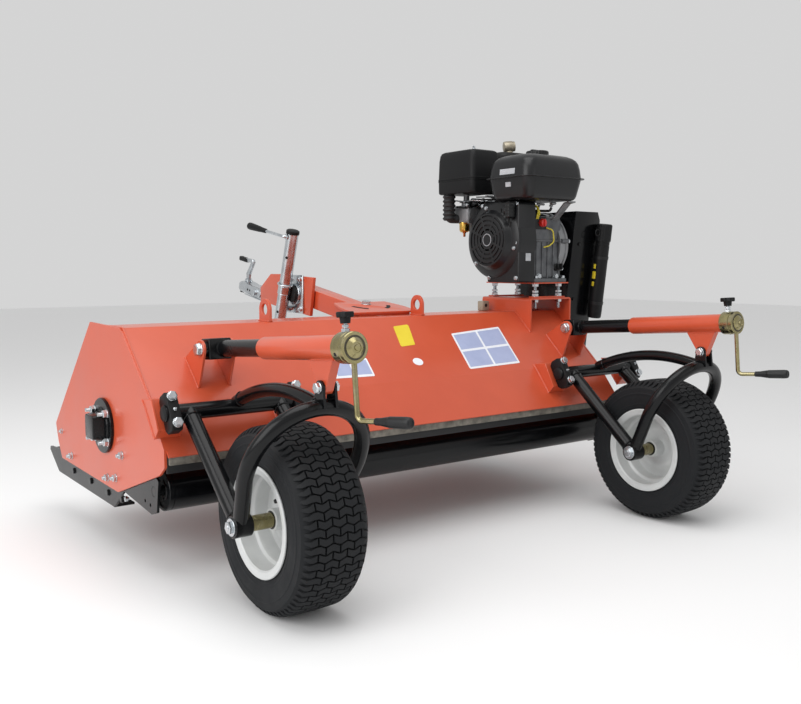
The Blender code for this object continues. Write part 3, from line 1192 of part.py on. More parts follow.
def make_hitch():
    run = math.cos(DRAWBAR_PITCH)
    front = (HITCH_FRONT_Y - DRAWBAR_PIVOT_Y) / run
    rear = (HITCH_REAR_Y - DRAWBAR_PIVOT_Y) / run
    wide, narrow = HITCH_HALF_WIDTH, HITCH_FRONT_HALF_WIDTH
    outline = [(-wide, rear), (wide, rear), (wide, (rear + front) / 2), (narrow, front),
               (-narrow, front), (-wide, (rear + front) / 2)]
    shape = pitched(prism(outline, "Z", -HITCH_PLATE, 0), bar_origin)
    apron_fall = (APRON_SHOULDER_Z - APRON_Z) / (APRON_Y - APRON_SHOULDER_Y)
    under = bar_origin.z - HITCH_PLATE / 2
    for sign in (-1, 1):
        outline = [(HITCH_REAR_Y + 0.010, DECK_TOP + GAP), (TOP_FRONT_Y, DECK_TOP + GAP),
                   (APRON_SHOULDER_Y, APRON_SHOULDER_Z + 0.001),
                   (HITCH_FRONT_Y - 0.004,
                    APRON_SHOULDER_Z + 0.001 - (HITCH_FRONT_Y - 0.004 - APRON_SHOULDER_Y) * apron_fall)]
        outline += [(y, under + (y - DRAWBAR_PIVOT_Y) * math.tan(DRAWBAR_PITCH))
                    for y in (HITCH_FRONT_Y - 0.004, HITCH_REAR_Y + 0.010)]
        faces = sorted((DRAWBAR_X + sign * (narrow - 0.008), DRAWBAR_X + sign * (narrow - 0.002)))
        shape = fuse(shape, prism(outline, "X", *faces))
    rear_top = under - (DRAWBAR_PIVOT_Y - HITCH_REAR_Y) * math.tan(DRAWBAR_PITCH)
    closing = box((DRAWBAR_X - narrow + 0.002, HITCH_REAR_Y + 0.006, DECK_TOP + GAP),
                  (DRAWBAR_X + narrow - 0.002, HITCH_REAR_Y + 0.010, rear_top))
    pin_low = -HITCH_PLATE - DRAWBAR_SIZE * 0.8
    pin = pitched(rod((0, 0, 0.010), (0, 0, pin_low), HITCH_PIN_RADIUS), bar_origin)
    add_part("hitch_plate", fuse(shape, closing, pin), orange)


def make_drawbar():
    half = DRAWBAR_SIZE / 2
    top = -HITCH_PLATE - GAP
    reach = (NECK_REAR_Y + 0.02 - DRAWBAR_PIVOT_Y) / math.cos(DRAWBAR_PITCH)
    bar = pitched(box((-half, -DRAWBAR_REAR, top - DRAWBAR_SIZE), (half, reach, top)), bar_origin)
    rise = math.tan(DRAWBAR_PITCH)
    neck_high = bar_origin.z + top / math.cos(DRAWBAR_PITCH) + (NECK_REAR_Y - DRAWBAR_PIVOT_Y) * rise
    neck_low = neck_high - DRAWBAR_SIZE / math.cos(DRAWBAR_PITCH)
    neck = prism([(NECK_REAR_Y, neck_low), (HEAD_FRONT_Y, HEAD_NOSE_LOW), (HEAD_FRONT_Y, HEAD_NOSE_HIGH),
                  (NECK_REAR_Y, neck_high)], "X", DRAWBAR_X - half, DRAWBAR_X + half)
    tall = SIDE_PLATE_TOP - SIDE_PLATE_LOW
    plate = prism([(SIDE_PLATE_REAR_Y + 0.006, SIDE_PLATE_LOW),
                   (HEAD_FRONT_Y - 0.100, HEAD_NOSE_LOW - 0.014),
                   (HEAD_FRONT_Y, HEAD_NOSE_LOW), (HEAD_FRONT_Y, HEAD_NOSE_HIGH),
                   (HEAD_FRONT_Y - 0.076, SIDE_PLATE_TOP), (HEAD_FRONT_Y - 0.155, SIDE_PLATE_TOP),
                   (SIDE_PLATE_REAR_Y + 0.006 - tall * rise, SIDE_PLATE_TOP - 0.010)],
                  "X", SIDE_PLATE_X, SIDE_PLATE_X + SIDE_PLATE)
    web = box((SIDE_PLATE_X + SIDE_PLATE / 2, SIDE_PLATE_REAR_Y + 0.03, neck_low + 0.010),
              (DRAWBAR_X, HEAD_FRONT_Y - 0.03, neck_low + 0.030))
    hole = pitched(bore((0, 0, 0.1), (0, 0, -0.1), HITCH_PIN_RADIUS + GAP), bar_origin)
    add_part("drawbar", cut(fuse(bar, neck, plate, web), hole), orange, bar_origin)


def make_coupling():
    wide = COUPLING_WIDTH / 2
    tall = COUPLING_HEIGHT / 2
    end = COUPLING_LENGTH
    body = pitched(prism([(0, -tall), (end, -tall), (end, tall * 0.6), (end - 0.020, tall), (0, tall)],
                         "X", -wide, wide), coupling_origin)
    behind = HEAD_FRONT_Y + GAP
    body = cut(body, box((-1, behind - 1, -1), (1, behind, 1)))
    ball = end - BALL_RADIUS - 0.008
    socket = pitched(rod((0, ball, -tall - 0.01), (0, ball, tall - COUPLING_ROOF), BALL_RADIUS, 20),
                     coupling_origin)
    half = LEVER_THICKNESS / 2
    at = end - LEVER_BEHIND_NOSE
    eye = (at, tall + LEVER_EYE_LIFT)
    slot = pitched(box((-half - GAP, at - 0.009, tall - 0.0045), (half + GAP, at + 0.009, tall + 0.01)),
                   coupling_origin)
    body = cut(body, socket, slot)
    for low in (-half - GAP - 0.004, half + GAP):
        ear = prism([(at - 0.012, tall - 0.002), (at + 0.012, tall - 0.002)]
                    + arc(eye, 0.010, 10, 170, 6), "X", low, low + 0.004)
        body = fuse(body, pitched(ear, coupling_origin))
    add_part("coupling", body, zinc)
    high = tall + LEVER_HEIGHT
    outline = arc(eye, LEVER_EYE_RADIUS, 180, 360, 6)
    handle_end = at + LEVER_HANDLE - 0.030
    outline += [(at + 0.011, tall + 0.030), (at - 0.018, high - 0.014), (handle_end, high - 0.016),
                (handle_end, high - 0.004), (at - 0.028, high), (at - 0.036, high - 0.010),
                (at - 0.008, tall + 0.028)]
    lever = pitched(prism(outline, "X", -half, half), coupling_origin)
    pivot = coupling_origin + Matrix.Rotation(DRAWBAR_PITCH, 3, "X") @ Vector((0, *eye))
    add_part("coupling_lever", lever, zinc, pivot)


jack_up = Vector((0, -math.sin(JACK_LEAN), math.cos(JACK_LEAN)))
jack_middle = Vector((JACK_X, JACK_Y, SWIVEL_Z))


def make_jack():
    clamp_right = SIDE_PLATE_X - GAP
    clamp_left = clamp_right - SWIVEL_PLATE
    half = SWIVEL_PLATE_WIDTH / 2
    tall = SWIVEL_PLATE_HEIGHT / 2
    y, z = SWIVEL_Y, SWIVEL_Z
    clamp = rounded_box((clamp_left, y - half, z - tall), (clamp_right, y + half, z + tall), 0.002, 1)
    clamp = cut(clamp, bore((clamp_left - 0.01, y, z), (clamp_right + 0.01, y, z),
                            SWIVEL_RADIUS + GAP, 20))
    add_part("jack_clamp", clamp, zinc)
    tube = rod(jack_middle - jack_up * JACK_BOTTOM, jack_middle + jack_up * JACK_TOP, JACK_RADIUS)
    boss = cut(rod((JACK_X + 0.012, y, z), (clamp_right - GAP, y, z), SWIVEL_RADIUS, 20),
               rod((JACK_X, y, z), (clamp_left, y, z), SWIVEL_RADIUS - 0.005, 20))
    ring = cut(rod((clamp_left - GAP - 0.006, y, z), (clamp_left - GAP, y, z), SWIVEL_RING_RADIUS, 20),
               rod((clamp_left - 0.02, y, z), (clamp_left + 0.01, y, z), SWIVEL_RADIUS - 0.003, 20))
    inside = bore(jack_middle - jack_up * (JACK_BOTTOM + 0.01), jack_middle + jack_up * (JACK_TOP - 0.008),
                  JACK_LEG_RADIUS + GAP)
    crank_point = jack_middle + jack_up * (JACK_TOP - JACK_CRANK_BELOW_TOP)
    shaft_hole = bore(crank_point - Vector((0.05, 0, 0)), crank_point, JACK_SHAFT_RADIUS + GAP, TINY)
    add_part("jack_tube", cut(fuse(boss, ring, tube), inside, shaft_hole), zinc,
             (JACK_X, y, z))
    bend = crank_point - Vector((JACK_CRANK_OUT, 0, 0))
    forward = (bar_along + Vector((-0.15, 0, 0.05))).normalized()
    grip_start = bend + forward * JACK_CRANK_REACH
    shaft_start = crank_point - Vector((JACK_RADIUS / 2, 0, 0))
    path = rounded_path([shaft_start, bend, grip_start + forward * 0.02], 0.010, 3)
    grip = turned([(0, 0), (0, 0.007), (JACK_CRANK_GRIP, 0.0125), (JACK_CRANK_GRIP, 0)],
                  grip_start, forward, 12)
    add_part("jack_crank", fuse(swept(path, JACK_SHAFT_RADIUS, 1), grip), zinc, crank_point)


def make_jack_leg():
    reach = (SWIVEL_Z - JACK_FOOT / 2) / math.cos(JACK_LEAN)
    foot_middle = jack_middle - jack_up * reach
    top = jack_middle - jack_up * 0.050
    leg = rod(top, foot_middle + jack_up * JACK_FOOT, JACK_LEG_RADIUS)
    foot = box((JACK_X - JACK_FOOT_WIDTH / 2, foot_middle.y - JACK_FOOT_LENGTH / 2, 0),
               (JACK_X + JACK_FOOT_WIDTH / 2, foot_middle.y + JACK_FOOT_LENGTH / 2, JACK_FOOT))
    add_part("jack_leg", fuse(leg, foot), zinc, top)


make_deck()
make_rotor_bearing("left_rotor_bearing", DECK_LEFT, -1)
make_rotor_bearing("right_rotor_bearing", DECK_RIGHT, 1)
make_rotor()
make_engine_pulley()
make_belt()
make_skid("left_skid", DECK_LEFT + END_PLATE, 1)
make_skid("right_skid", DECK_RIGHT - END_PLATE, -1)
make_roller()
make_front_flap()
make_stand()
make_guard()
make_document_tube()
make_block()
make_fan_housing()
make_recoil_grip()
make_tank()
make_air_filter()
make_muffler()
make_controls()
for wheel_side, wheel_x in (("left", -TRACK / 2), ("right", TRACK / 2)):
    make_wheel(wheel_side, wheel_x)
    make_arm(wheel_side, wheel_x)
    make_arm_bearing(wheel_side, "outer" if wheel_side == "left" else "inner", wheel_x - BLOCK_DX)
    make_arm_bearing(wheel_side, "inner" if wheel_side == "left" else "outer", wheel_x + BLOCK_DX)
    make_link_bracket(wheel_side, wheel_x + LINK_DX)
    make_link_tubes(wheel_side, wheel_x + LINK_DX)
    make_lock_knob(wheel_side, wheel_x + LINK_DX)
    make_crank(wheel_side, wheel_x + LINK_DX)
make_hitch()
make_drawbar()
make_coupling()
make_jack()
make_jack_leg()

# The model's origin goes to the middle of the machine's footprint
corners = [piece.location + vert.co for piece in machine.children for vert in piece.data.vertices]
low = Vector([min(c[i] for c in corners) for i in range(3)])
high = Vector([max(c[i] for c in corners) for i in range(3)])
machine.location = (-(low.x + high.x) / 2, -(low.y + high.y) / 2, -low.z)
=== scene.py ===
import json
import random
import re
from math import acos, atan, atan2, cos, pi, radians, sin, tan, tau

import bmesh
import bpy
from mathutils import Matrix, Vector


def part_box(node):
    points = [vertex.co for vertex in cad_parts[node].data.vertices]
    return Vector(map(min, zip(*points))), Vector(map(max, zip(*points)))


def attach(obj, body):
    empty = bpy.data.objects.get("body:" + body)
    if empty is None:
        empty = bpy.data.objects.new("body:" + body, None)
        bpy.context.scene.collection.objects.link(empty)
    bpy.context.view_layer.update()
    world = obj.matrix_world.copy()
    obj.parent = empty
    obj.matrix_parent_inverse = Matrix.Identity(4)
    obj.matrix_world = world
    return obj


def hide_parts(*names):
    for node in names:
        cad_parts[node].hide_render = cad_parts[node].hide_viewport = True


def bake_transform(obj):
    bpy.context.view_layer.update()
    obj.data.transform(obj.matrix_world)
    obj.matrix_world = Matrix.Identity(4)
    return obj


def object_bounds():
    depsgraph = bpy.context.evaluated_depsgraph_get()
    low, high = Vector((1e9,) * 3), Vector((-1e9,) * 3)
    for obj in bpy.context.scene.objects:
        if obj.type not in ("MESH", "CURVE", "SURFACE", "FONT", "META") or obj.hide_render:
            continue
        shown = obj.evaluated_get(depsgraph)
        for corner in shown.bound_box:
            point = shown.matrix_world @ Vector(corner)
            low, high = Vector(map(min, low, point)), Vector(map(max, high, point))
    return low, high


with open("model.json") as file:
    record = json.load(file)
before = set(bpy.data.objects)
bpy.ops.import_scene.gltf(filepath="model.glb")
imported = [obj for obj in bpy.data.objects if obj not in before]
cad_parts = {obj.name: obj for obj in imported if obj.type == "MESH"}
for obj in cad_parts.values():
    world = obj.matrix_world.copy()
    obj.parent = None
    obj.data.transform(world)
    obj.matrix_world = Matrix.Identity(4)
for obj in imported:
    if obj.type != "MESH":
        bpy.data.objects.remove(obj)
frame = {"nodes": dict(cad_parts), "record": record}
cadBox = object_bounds()
nodes = frame["nodes"]

# Drawing places: x 0 midway between the wheels, y 0 on the wheel axles, z 0 on the ground
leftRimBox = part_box("left_rim")
wheel = {"x": 0.6212, "radius": 0.2}
shift = Vector([(leftRimBox[0][i] + leftRimBox[1][i]) / 2 for i in range(3)])
shift -= Vector((-wheel["x"], 0, wheel["radius"]))


def at(x, y, z):
    return Vector((x, y, z)) + shift


# Camera at the photograph's place
view = {"place": (-1.5675, -1.6575, 0.7311), "turn": 36.814, "down": 5.447, "lens": 41.01}
cameraData = bpy.data.cameras.new("camera")
cameraData.lens = view["lens"]
cameraData.sensor_width = 36
camera = bpy.data.objects.new("camera", cameraData)
camera.location = at(*view["place"])
camera.rotation_euler = (radians(90 - view["down"]), 0, radians(-view["turn"]))
bpy.context.scene.collection.objects.link(camera)
bpy.context.scene.camera = camera

# Light: a pale room and three soft boxes with their place, target, size and power
room = bpy.data.worlds.new("paleRoom")
room.use_nodes = True
room.node_tree.nodes["Background"].inputs["Color"].default_value = (1, 1, 1, 1)
room.node_tree.nodes["Background"].inputs["Strength"].default_value = 0.66
bpy.context.scene.world = room
bpy.context.scene.view_settings.view_transform = "Standard"
lights = [("topBox", (-0.6, -0.2, 3.4), (0, 0.3, 0.4), 2.6, 50),
    ("leftBox", (-3.6, -0.2, 2.0), (-0.2, 0.2, 0.4), 2.8, 70),
    ("rearBox", (1.2, -3.6, 1.6), (0.1, 0.2, 0.4), 2.2, 6)]
for name, place, target, size, power in lights:
    lampData = bpy.data.lights.new(name, "AREA")
    lampData.size = size
    lampData.energy = power
    lamp = bpy.data.objects.new(name, lampData)
    lamp.location = at(*place)
    lamp.rotation_euler = (at(*target) - lamp.location).to_track_quat("-Z", "Y").to_euler()
    bpy.context.scene.collection.objects.link(lamp)
print("camera and light made")


# Materials
def linear(hexColour):
    channels = [int(hexColour[i:i + 2], 16) / 255 for i in (1, 3, 5)]
    return tuple(c / 12.92 if c < 0.04045 else ((c + 0.055) / 1.055) ** 2.4 for c in channels) + (1,)


def addNode(tree, kind, settings=None, links=None):
    node = tree.nodes.new(kind)
    for key, value in (settings or {}).items():
        if hasattr(node, key):
            setattr(node, key, value)
        else:
            node.inputs[key].default_value = value
    for key, source in (links or {}).items():
        tree.links.new(source, node.inputs[key])
    return node


def finish(name, row):
    # patch: slow change of colour; grain: the surface's own texture; dust: settles on what faces up
    light, dark, (low, high), grainMm, bumpStrength, bumpMm, patchMm, rest = row
    made = bpy.data.materials.new(name)
    made.use_nodes = True
    tree = made.node_tree
    shader = tree.nodes["Principled BSDF"]
    place = addNode(tree, "ShaderNodeTexCoord").outputs["Object"]
    patch = addNode(tree, "ShaderNodeTexNoise", {"Scale": 1000 / patchMm, "Detail": 4.0, "Roughness": 0.6},
        {"Vector": place}).outputs["Fac"]
    grain = addNode(tree, "ShaderNodeTexNoise", {"Scale": 1000 / grainMm, "Detail": 3.0, "Roughness": 0.55},
        {"Vector": place}).outputs["Fac"]
    spread, rough = [addNode(tree, "ShaderNodeMapRange", {"From Min": 0.3, "From Max": 0.7, "To Min": a,
        "To Max": b}, {"Value": patch}).outputs["Result"] for a, b in ((0.0, 1.0), (low, high))]

    def mixed(under, overHex, factor):
        mix = addNode(tree, "ShaderNodeMix", {"data_type": "RGBA"}, {"Factor": factor})
        mix.inputs[7].default_value = linear(overHex)
        if isinstance(under, str):
            mix.inputs[6].default_value = linear(under)
        else:
            tree.links.new(under, mix.inputs[6])
        return mix.outputs[2]

    paint = mixed(dark, light, spread)
    if "dust" in rest:
        dustHex, amount = rest["dust"]
        normal = addNode(tree, "ShaderNodeNewGeometry").outputs["Normal"]
        facing = addNode(tree, "ShaderNodeSeparateXYZ", {}, {"Vector": normal}).outputs["Z"]
        lying = addNode(tree, "ShaderNodeMapRange", {"From Min": 0.2, "From Max": 1.0,
            "To Min": 0.15 * amount, "To Max": amount}, {"Value": facing}).outputs["Result"]
        speck = addNode(tree, "ShaderNodeTexNoise", {"Scale": 1000 / speckMm, "Detail": 8.0,
            "Roughness": 0.7}, {"Vector": place}).outputs["Fac"]
        share = addNode(tree, "ShaderNodeMath", {"operation": "MULTIPLY"}, {0: lying, 1: speck})
        paint = mixed(paint, dustHex, share.outputs[0])
    if "tint" in rest:
        # thin passivation film: its hue drifts over the surface
        tintHex, tintMm = rest["tint"]
        drift = addNode(tree, "ShaderNodeTexNoise", {"Scale": 1000 / tintMm, "Detail": 2.0,
            "Distortion": 1.2}, {"Vector": place}).outputs["Fac"]
        drifted = addNode(tree, "ShaderNodeMapRange", {"From Min": 0.48, "From Max": 0.66, "To Min": 0.0,
            "To Max": 0.7}, {"Value": drift}).outputs["Result"]
        paint = mixed(paint, tintHex, drifted)
    bump = addNode(tree, "ShaderNodeBump", {"Strength": bumpStrength, "Distance": bumpMm / 1000},
        {"Height": grain}).outputs["Normal"]
    for socket, source in (("Base Color", paint), ("Roughness", rough), ("Normal", bump)):
        tree.links.new(source, shader.inputs[socket])
    for socket, value in (("Metallic", rest.get("metal", 0.0)), ("IOR", rest.get("ior", 1.5)),
            ("Coat Weight", rest.get("coat", 0.0)), ("Coat Roughness", rest.get("coatRough", 0.1))):
        shader.inputs[socket].default_value = value
    made.diffuse_color = linear(light)
    return made


speckMm = 14  # size of the dust's flecks
# Columns: light, dark, roughness, grain mm, bump, bump mm, patch mm, and what else it has
looks = {
    # sprayed and baked polyester powder on steel: even gloss with a faint orange peel
    "powderCoatOrange": ("#c95232", "#c24d2e", (0.28, 0.38), 1.6, 0.25, 0.06, 160,
        {"coat": 0.25, "coatRough": 0.12, "dust": ("#c9a08c", 0.05)}),
    # the same powder in black: deep, glossy, shows dust first
    "powderCoatBlack": ("#0b0c0f", "#070809", (0.18, 0.28), 1.4, 0.25, 0.06, 120,
        {"coat": 0.05, "coatRough": 0.1, "ior": 1.33, "dust": ("#6c6862", 0.03)}),
    # wet-sprayed engine enamel: half gloss black
    "engineEnamelBlack": ("#101114", "#0a0b0d", (0.3, 0.42), 1, 0.2, 0.05, 90,
        {"coat": 0.1, "coatRough": 0.2, "ior": 1.42, "dust": ("#5b5b5c", 0.04)}),
    # moulded ABS with a spark-eroded grain: soft half gloss
    "absBlack": ("#121315", "#0c0d0e", (0.38, 0.5), 0.8, 0.35, 0.08, 60,
        {"ior": 1.42, "dust": ("#66635e", 0.04)}),
    # moulded polypropylene: waxy and a little greyer
    "polypropyleneBlack": ("#101113", "#0b0c0d", (0.42, 0.56), 1.1, 0.3, 0.08, 70,
        {"ior": 1.33, "dust": ("#6b6862", 0.04)}),
    # cured tread rubber: blue-black and matt, dusty where it meets the ground
    "tyreRubber": ("#17191c", "#101215", (0.62, 0.82), 1.2, 0.35, 0.12, 50,
        {"ior": 1.38, "dust": ("#77716a", 0.05)}),
    # reinforced rubber sheet of the flap
    "rubberSheet": ("#1d1d1f", "#151517", (0.55, 0.7), 2, 0.3, 0.1, 60,
        {"ior": 1.52, "dust": ("#6a655e", 0.12)}),
    # sprayed silver-white enamel on the pressed rims
    "rimEnamelWhite": ("#cfd1d0", "#c2c4c4", (0.28, 0.4), 1.2, 0.15, 0.05, 70,
        {"coat": 0.3, "coatRough": 0.15, "dust": ("#a49c90", 0.12)}),
    # electroplated bright zinc: bluish white metal
    "brightZinc": ("#cdd1d4", "#b9bec2", (0.2, 0.32), 1.5, 0.02, 0.02, 25, {"metal": 1.0}),
    # chromate over zinc: straw yellow, drifting to green and pink
    "yellowZinc": ("#a69d72", "#8e8560", (0.2, 0.32), 1.5, 0.02, 0.02, 40,
        {"metal": 1.0, "tint": ("#a8a084", 30)}),
    # zinc strip under the hem, scuffed and stained
    "scuffedZinc": ("#8f8a80", "#57534c", (0.4, 0.6), 2, 0.2, 0.05, 22, {"metal": 0.15, "ior": 1.4}),
    # sand-cast aluminium, shot-blasted: pale grey and rough
    "castAluminium": ("#9b9c9e", "#828486", (0.45, 0.62), 1.3, 0.6, 0.18, 40,
        {"metal": 0.75, "dust": ("#4c4a47", 0.18)}),
    # grey iron and forged steel with a thin dark scale
    "forgedIron": ("#55524f", "#3a3836", (0.42, 0.62), 1.8, 0.5, 0.15, 35,
        {"metal": 0.85, "dust": ("#6d5b4a", 0.2)}),
    # heat-proof black on pressed exhaust steel: dry and chalky
    "exhaustBlack": ("#232323", "#191919", (0.6, 0.75), 1.2, 0.4, 0.1, 45, {"metal": 0.2}),
    # exhaust spout: bright steel gone straw-grey with heat
    "heatedSteel": ("#b4ab98", "#8f8776", (0.35, 0.5), 1.2, 0.2, 0.05, 18, {"metal": 0.8}),
    # drawn brass and copper on the carburettor
    "drawnBrass": ("#d8b45e", "#c29a45", (0.18, 0.3), 1.2, 0.1, 0.03, 18, {"metal": 1.0}),
    "turnedCopper": ("#b3653a", "#9b5430", (0.25, 0.38), 1, 0.1, 0.03, 14, {"metal": 1.0}),
    # moulded red plastic of the switch
    "redPlastic": ("#d02a22", "#bf231c", (0.25, 0.38), 0.9, 0.15, 0.04, 20, {"coat": 0.2}),
    # extruded PVC wire cover
    "yellowWireCover": ("#d8c63b", "#c7b52e", (0.35, 0.45), 1, 0.1, 0.03, 15, {}),
    # printed vinyl, left without words or signs
    "whiteVinyl": ("#eceef2", "#e3e6ec", (0.3, 0.42), 1.5, 0.08, 0.02, 40, {}),
    "blueGreyVinyl": ("#a9b2d2", "#9ea8c9", (0.3, 0.42), 1.5, 0.08, 0.02, 40, {}),
    "yellowVinyl": ("#e8d23a", "#dfc730", (0.3, 0.42), 1.5, 0.08, 0.02, 40, {}),
    "greyPrint": ("#b9bcc0", "#a6a9ad", (0.35, 0.45), 1.5, 0.08, 0.02, 30, {}),
    # milled and oiled steel face
    "darkMilledSteel": ("#5f5b50", "#47443c", (0.3, 0.42), 1, 0.15, 0.04, 15, {"metal": 1.0}),
    # die-cast aluminium crankcase: dull grey, darker where oil has dried
    "crankcaseGrey": ("#6f7174", "#4a4c4f", (0.4, 0.58), 1.3, 0.5, 0.15, 40,
        {"metal": 0.55, "dust": ("#4c4a47", 0.18)}),
    # natural-coloured moulded block
    "sandPlastic": ("#a39a88", "#8f8675", (0.45, 0.6), 1, 0.2, 0.06, 25, {}),
    # painted shade: a flat black put where the inside of vents, slots and holes lies in shade
    "shadowBlack": ("#070708", "#050506", (0.7, 0.8), 2, 0.05, 0.02, 60, {}),
}
materials = {name: finish(name, row) for name, row in looks.items()}
print("materials made:", len(materials))

# Which finish each of the record's slots gets
slotFinish = {"orange_paint": "powderCoatOrange", "black_paint": "powderCoatBlack",
    "black_plastic": "absBlack", "tyre_rubber": "tyreRubber", "white_rim_paint": "rimEnamelWhite",
    "zinc_plate": "brightZinc", "yellow_zinc": "yellowZinc", "cast_aluminium": "castAluminium",
    "bare_iron": "forgedIron", "red_plastic": "redPlastic"}
usualSlot = {finishName: slotName for slotName, finishName in slotFinish.items()}
nodeFinish = {"front_flap": "rubberSheet", "drive_belt": "rubberSheet", "fuel_tank": "engineEnamelBlack",
    "muffler": "exhaustBlack", "document_tube": "polypropyleneBlack", "air_filter": "polypropyleneBlack"}
for part in frame["record"]["subparts"]:
    shown = nodes[part["node"]]
    chosen = nodeFinish.get(part["node"], slotFinish[part["material_slot"]])
    shown.data.materials.clear()
    shown.data.materials.append(materials[chosen])


# Shape helpers
def pieceFrom(shapes, name, finishes, body="chassis", stands=None, sharp=30, slotName=None):
    # a piece stands for the solid that has its name, unless another is given
    shape = join(*shapes) if isinstance(shapes, list) else shapes
    bmesh.ops.remove_doubles(shape, verts=shape.verts, dist=1e-6)
    bmesh.ops.recalc_face_normals(shape, faces=shape.faces)
    mesh = bpy.data.meshes.new(name)
    shape.to_mesh(mesh)
    shape.free()
    mesh.shade_smooth()
    mesh.set_sharp_from_angle(angle=radians(sharp))
    finishes = [finishes] if isinstance(finishes, str) else finishes
    for item in finishes:
        mesh.materials.append(materials[item])
    made = bpy.data.objects.new(name, mesh)
    bpy.context.scene.collection.objects.link(made)
    if body:
        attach(made, body)
    slotName = slotName or usualSlot.get(finishes[0])
    stands = stands or re.sub("([A-Z])", r"_\1", name).lower()
    if stands in nodes:
        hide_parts(stands)
    return made


def join(*shapes):
    # several closed shapes in one mesh, each keeping its faces' material numbers
    whole = bmesh.new()
    for shape in shapes:
        mesh = bpy.data.meshes.new("joined")
        shape.to_mesh(mesh)
        shape.free()
        whole.from_mesh(mesh)
        bpy.data.meshes.remove(mesh)
    return whole


def withMaterial(shape, number):
    for face in shape.faces:
        face.material_index = number
    return shape


def skin(shape, rings, closed=False, caps=True):
    # faces between rings of points; a ring of one point is a tip
    pairs = list(zip(rings, rings[1:]))
    if closed:
        pairs.append((rings[-1], rings[0]))
    for first, second in pairs:
        for i in range(max(len(first), len(second))):
            corners = []
            for loop, step in ((first, i), (first, i + 1), (second, i + 1), (second, i)):
                if loop[step % len(loop)] not in corners:
                    corners.append(loop[step % len(loop)])
            if len(corners) > 2:
                shape.faces.new(corners)
    if caps:
        shape.faces.new(rings[0])
        shape.faces.new(rings[-1])
    bmesh.ops.recalc_face_normals(shape, faces=shape.faces)
    return shape


def aroundPoint(centre, first, second, radii):
    # points round a centre in the plane of two directions, one for each radius
    turns = [tau * i / len(radii) for i in range(len(radii))]
    return [centre + first * radius * cos(a) + second * radius * sin(a) for a, radius in zip(turns, radii)]


def onAxis(axis, point, depth):
    a, b = point
    return {"X": (depth, a, b), "Y": (a, depth, b), "Z": (a, b, depth)}[axis]


def extruded(shape, faces, axis, depth):
    grown = bmesh.ops.extrude_face_region(shape, geom=faces)
    moved = [v for v in grown["geom"] if isinstance(v, bmesh.types.BMVert)]
    bmesh.ops.translate(shape, verts=moved, vec=Vector(onAxis(axis, (0, 0), depth)))
    bmesh.ops.recalc_face_normals(shape, faces=shape.faces)


def prism(outline, axis, low, high, bevel=0.0, steps=2):
    shape = bmesh.new()
    face = shape.faces.new([shape.verts.new(at(*onAxis(axis, p, low))) for p in outline])
    extruded(shape, [face], axis, high - low)
    if bevel:
        bmesh.ops.bevel(shape, geom=list(shape.edges), offset=bevel, segments=steps, profile=0.5,
            affect="EDGES", clamp_overlap=True)
    return shape


def block(low, high, bevel=0.0, steps=2):
    outline = [(low[0], low[1]), (high[0], low[1]), (high[0], high[1]), (low[0], high[1])]
    return prism(outline, "Z", low[2], high[2], bevel, steps)


def turned(profile, start, direction, sides=32):
    # a profile of (distance along, radius) spun round the line from start
    run = Vector(direction).normalized()
    cross = run.orthogonal().normalized()
    other = run.cross(cross)
    shape = bmesh.new()
    rings = [[shape.verts.new(p) for p in aroundPoint(Vector(start) + run * along, cross, other,
        [radius] * (sides if radius > 1e-7 else 1))] for along, radius in profile]
    return skin(shape, rings, len(rings[0]) > 1, False)


def lathed(profile, start, direction, sides=32):
    # the same, closed to its axis at both ends
    return turned([(profile[0][0], 0)] + profile + [(profile[-1][0], 0)], start, direction, sides)


def rod(start, end, radius, sides=24, edge=0.0006):
    length = (Vector(end) - Vector(start)).length
    return lathed([(0, radius - edge), (edge, radius), (length - edge, radius), (length, radius - edge)],
        start, Vector(end) - Vector(start), sides)


def swept(points, radius, sides=16):
    # a round bar along a path; radius may be one number or one for each point
    points = [Vector(p) for p in points]
    radii = radius if isinstance(radius, list) else [radius] * len(points)
    shape = bmesh.new()
    rings = []
    cross = None
    for i, place in enumerate(points):
        ahead = points[min(i + 1, len(points) - 1)] - points[max(i - 1, 0)]
        ahead.normalize()
        cross = ahead.orthogonal() if cross is None else cross - ahead * cross.dot(ahead)
        cross.normalize()
        rings.append([shape.verts.new(p) for p in aroundPoint(place, cross, ahead.cross(cross),
            [radii[i]] * sides)])
    return skin(shape, rings)


def roundedPath(points, radius, steps=6):
    path = [Vector(points[0])]
    for before, corner, after in zip(points, points[1:], points[2:]):
        corner = Vector(corner)
        back = (Vector(before) - corner).normalized()
        ahead = (Vector(after) - corner).normalized()
        half = back.angle(ahead) / 2
        middle = corner + (back + ahead).normalized() * radius / sin(half)
        first = corner + back * radius / tan(half) - middle
        last = corner + ahead * radius / tan(half) - middle
        path += [middle + first.slerp(last, i / steps) * radius for i in range(steps + 1)]
    path.append(Vector(points[-1]))
    return path


def arc(centre, radius, start, end, steps):
    return [(centre[0] + radius * cos(radians(start + (end - start) * i / steps)),
        centre[1] + radius * sin(radians(start + (end - start) * i / steps))) for i in range(steps + 1)]


def spreadOut(first, last, count):
    return [first + (last - first) * i / (count - 1) for i in range(count)]


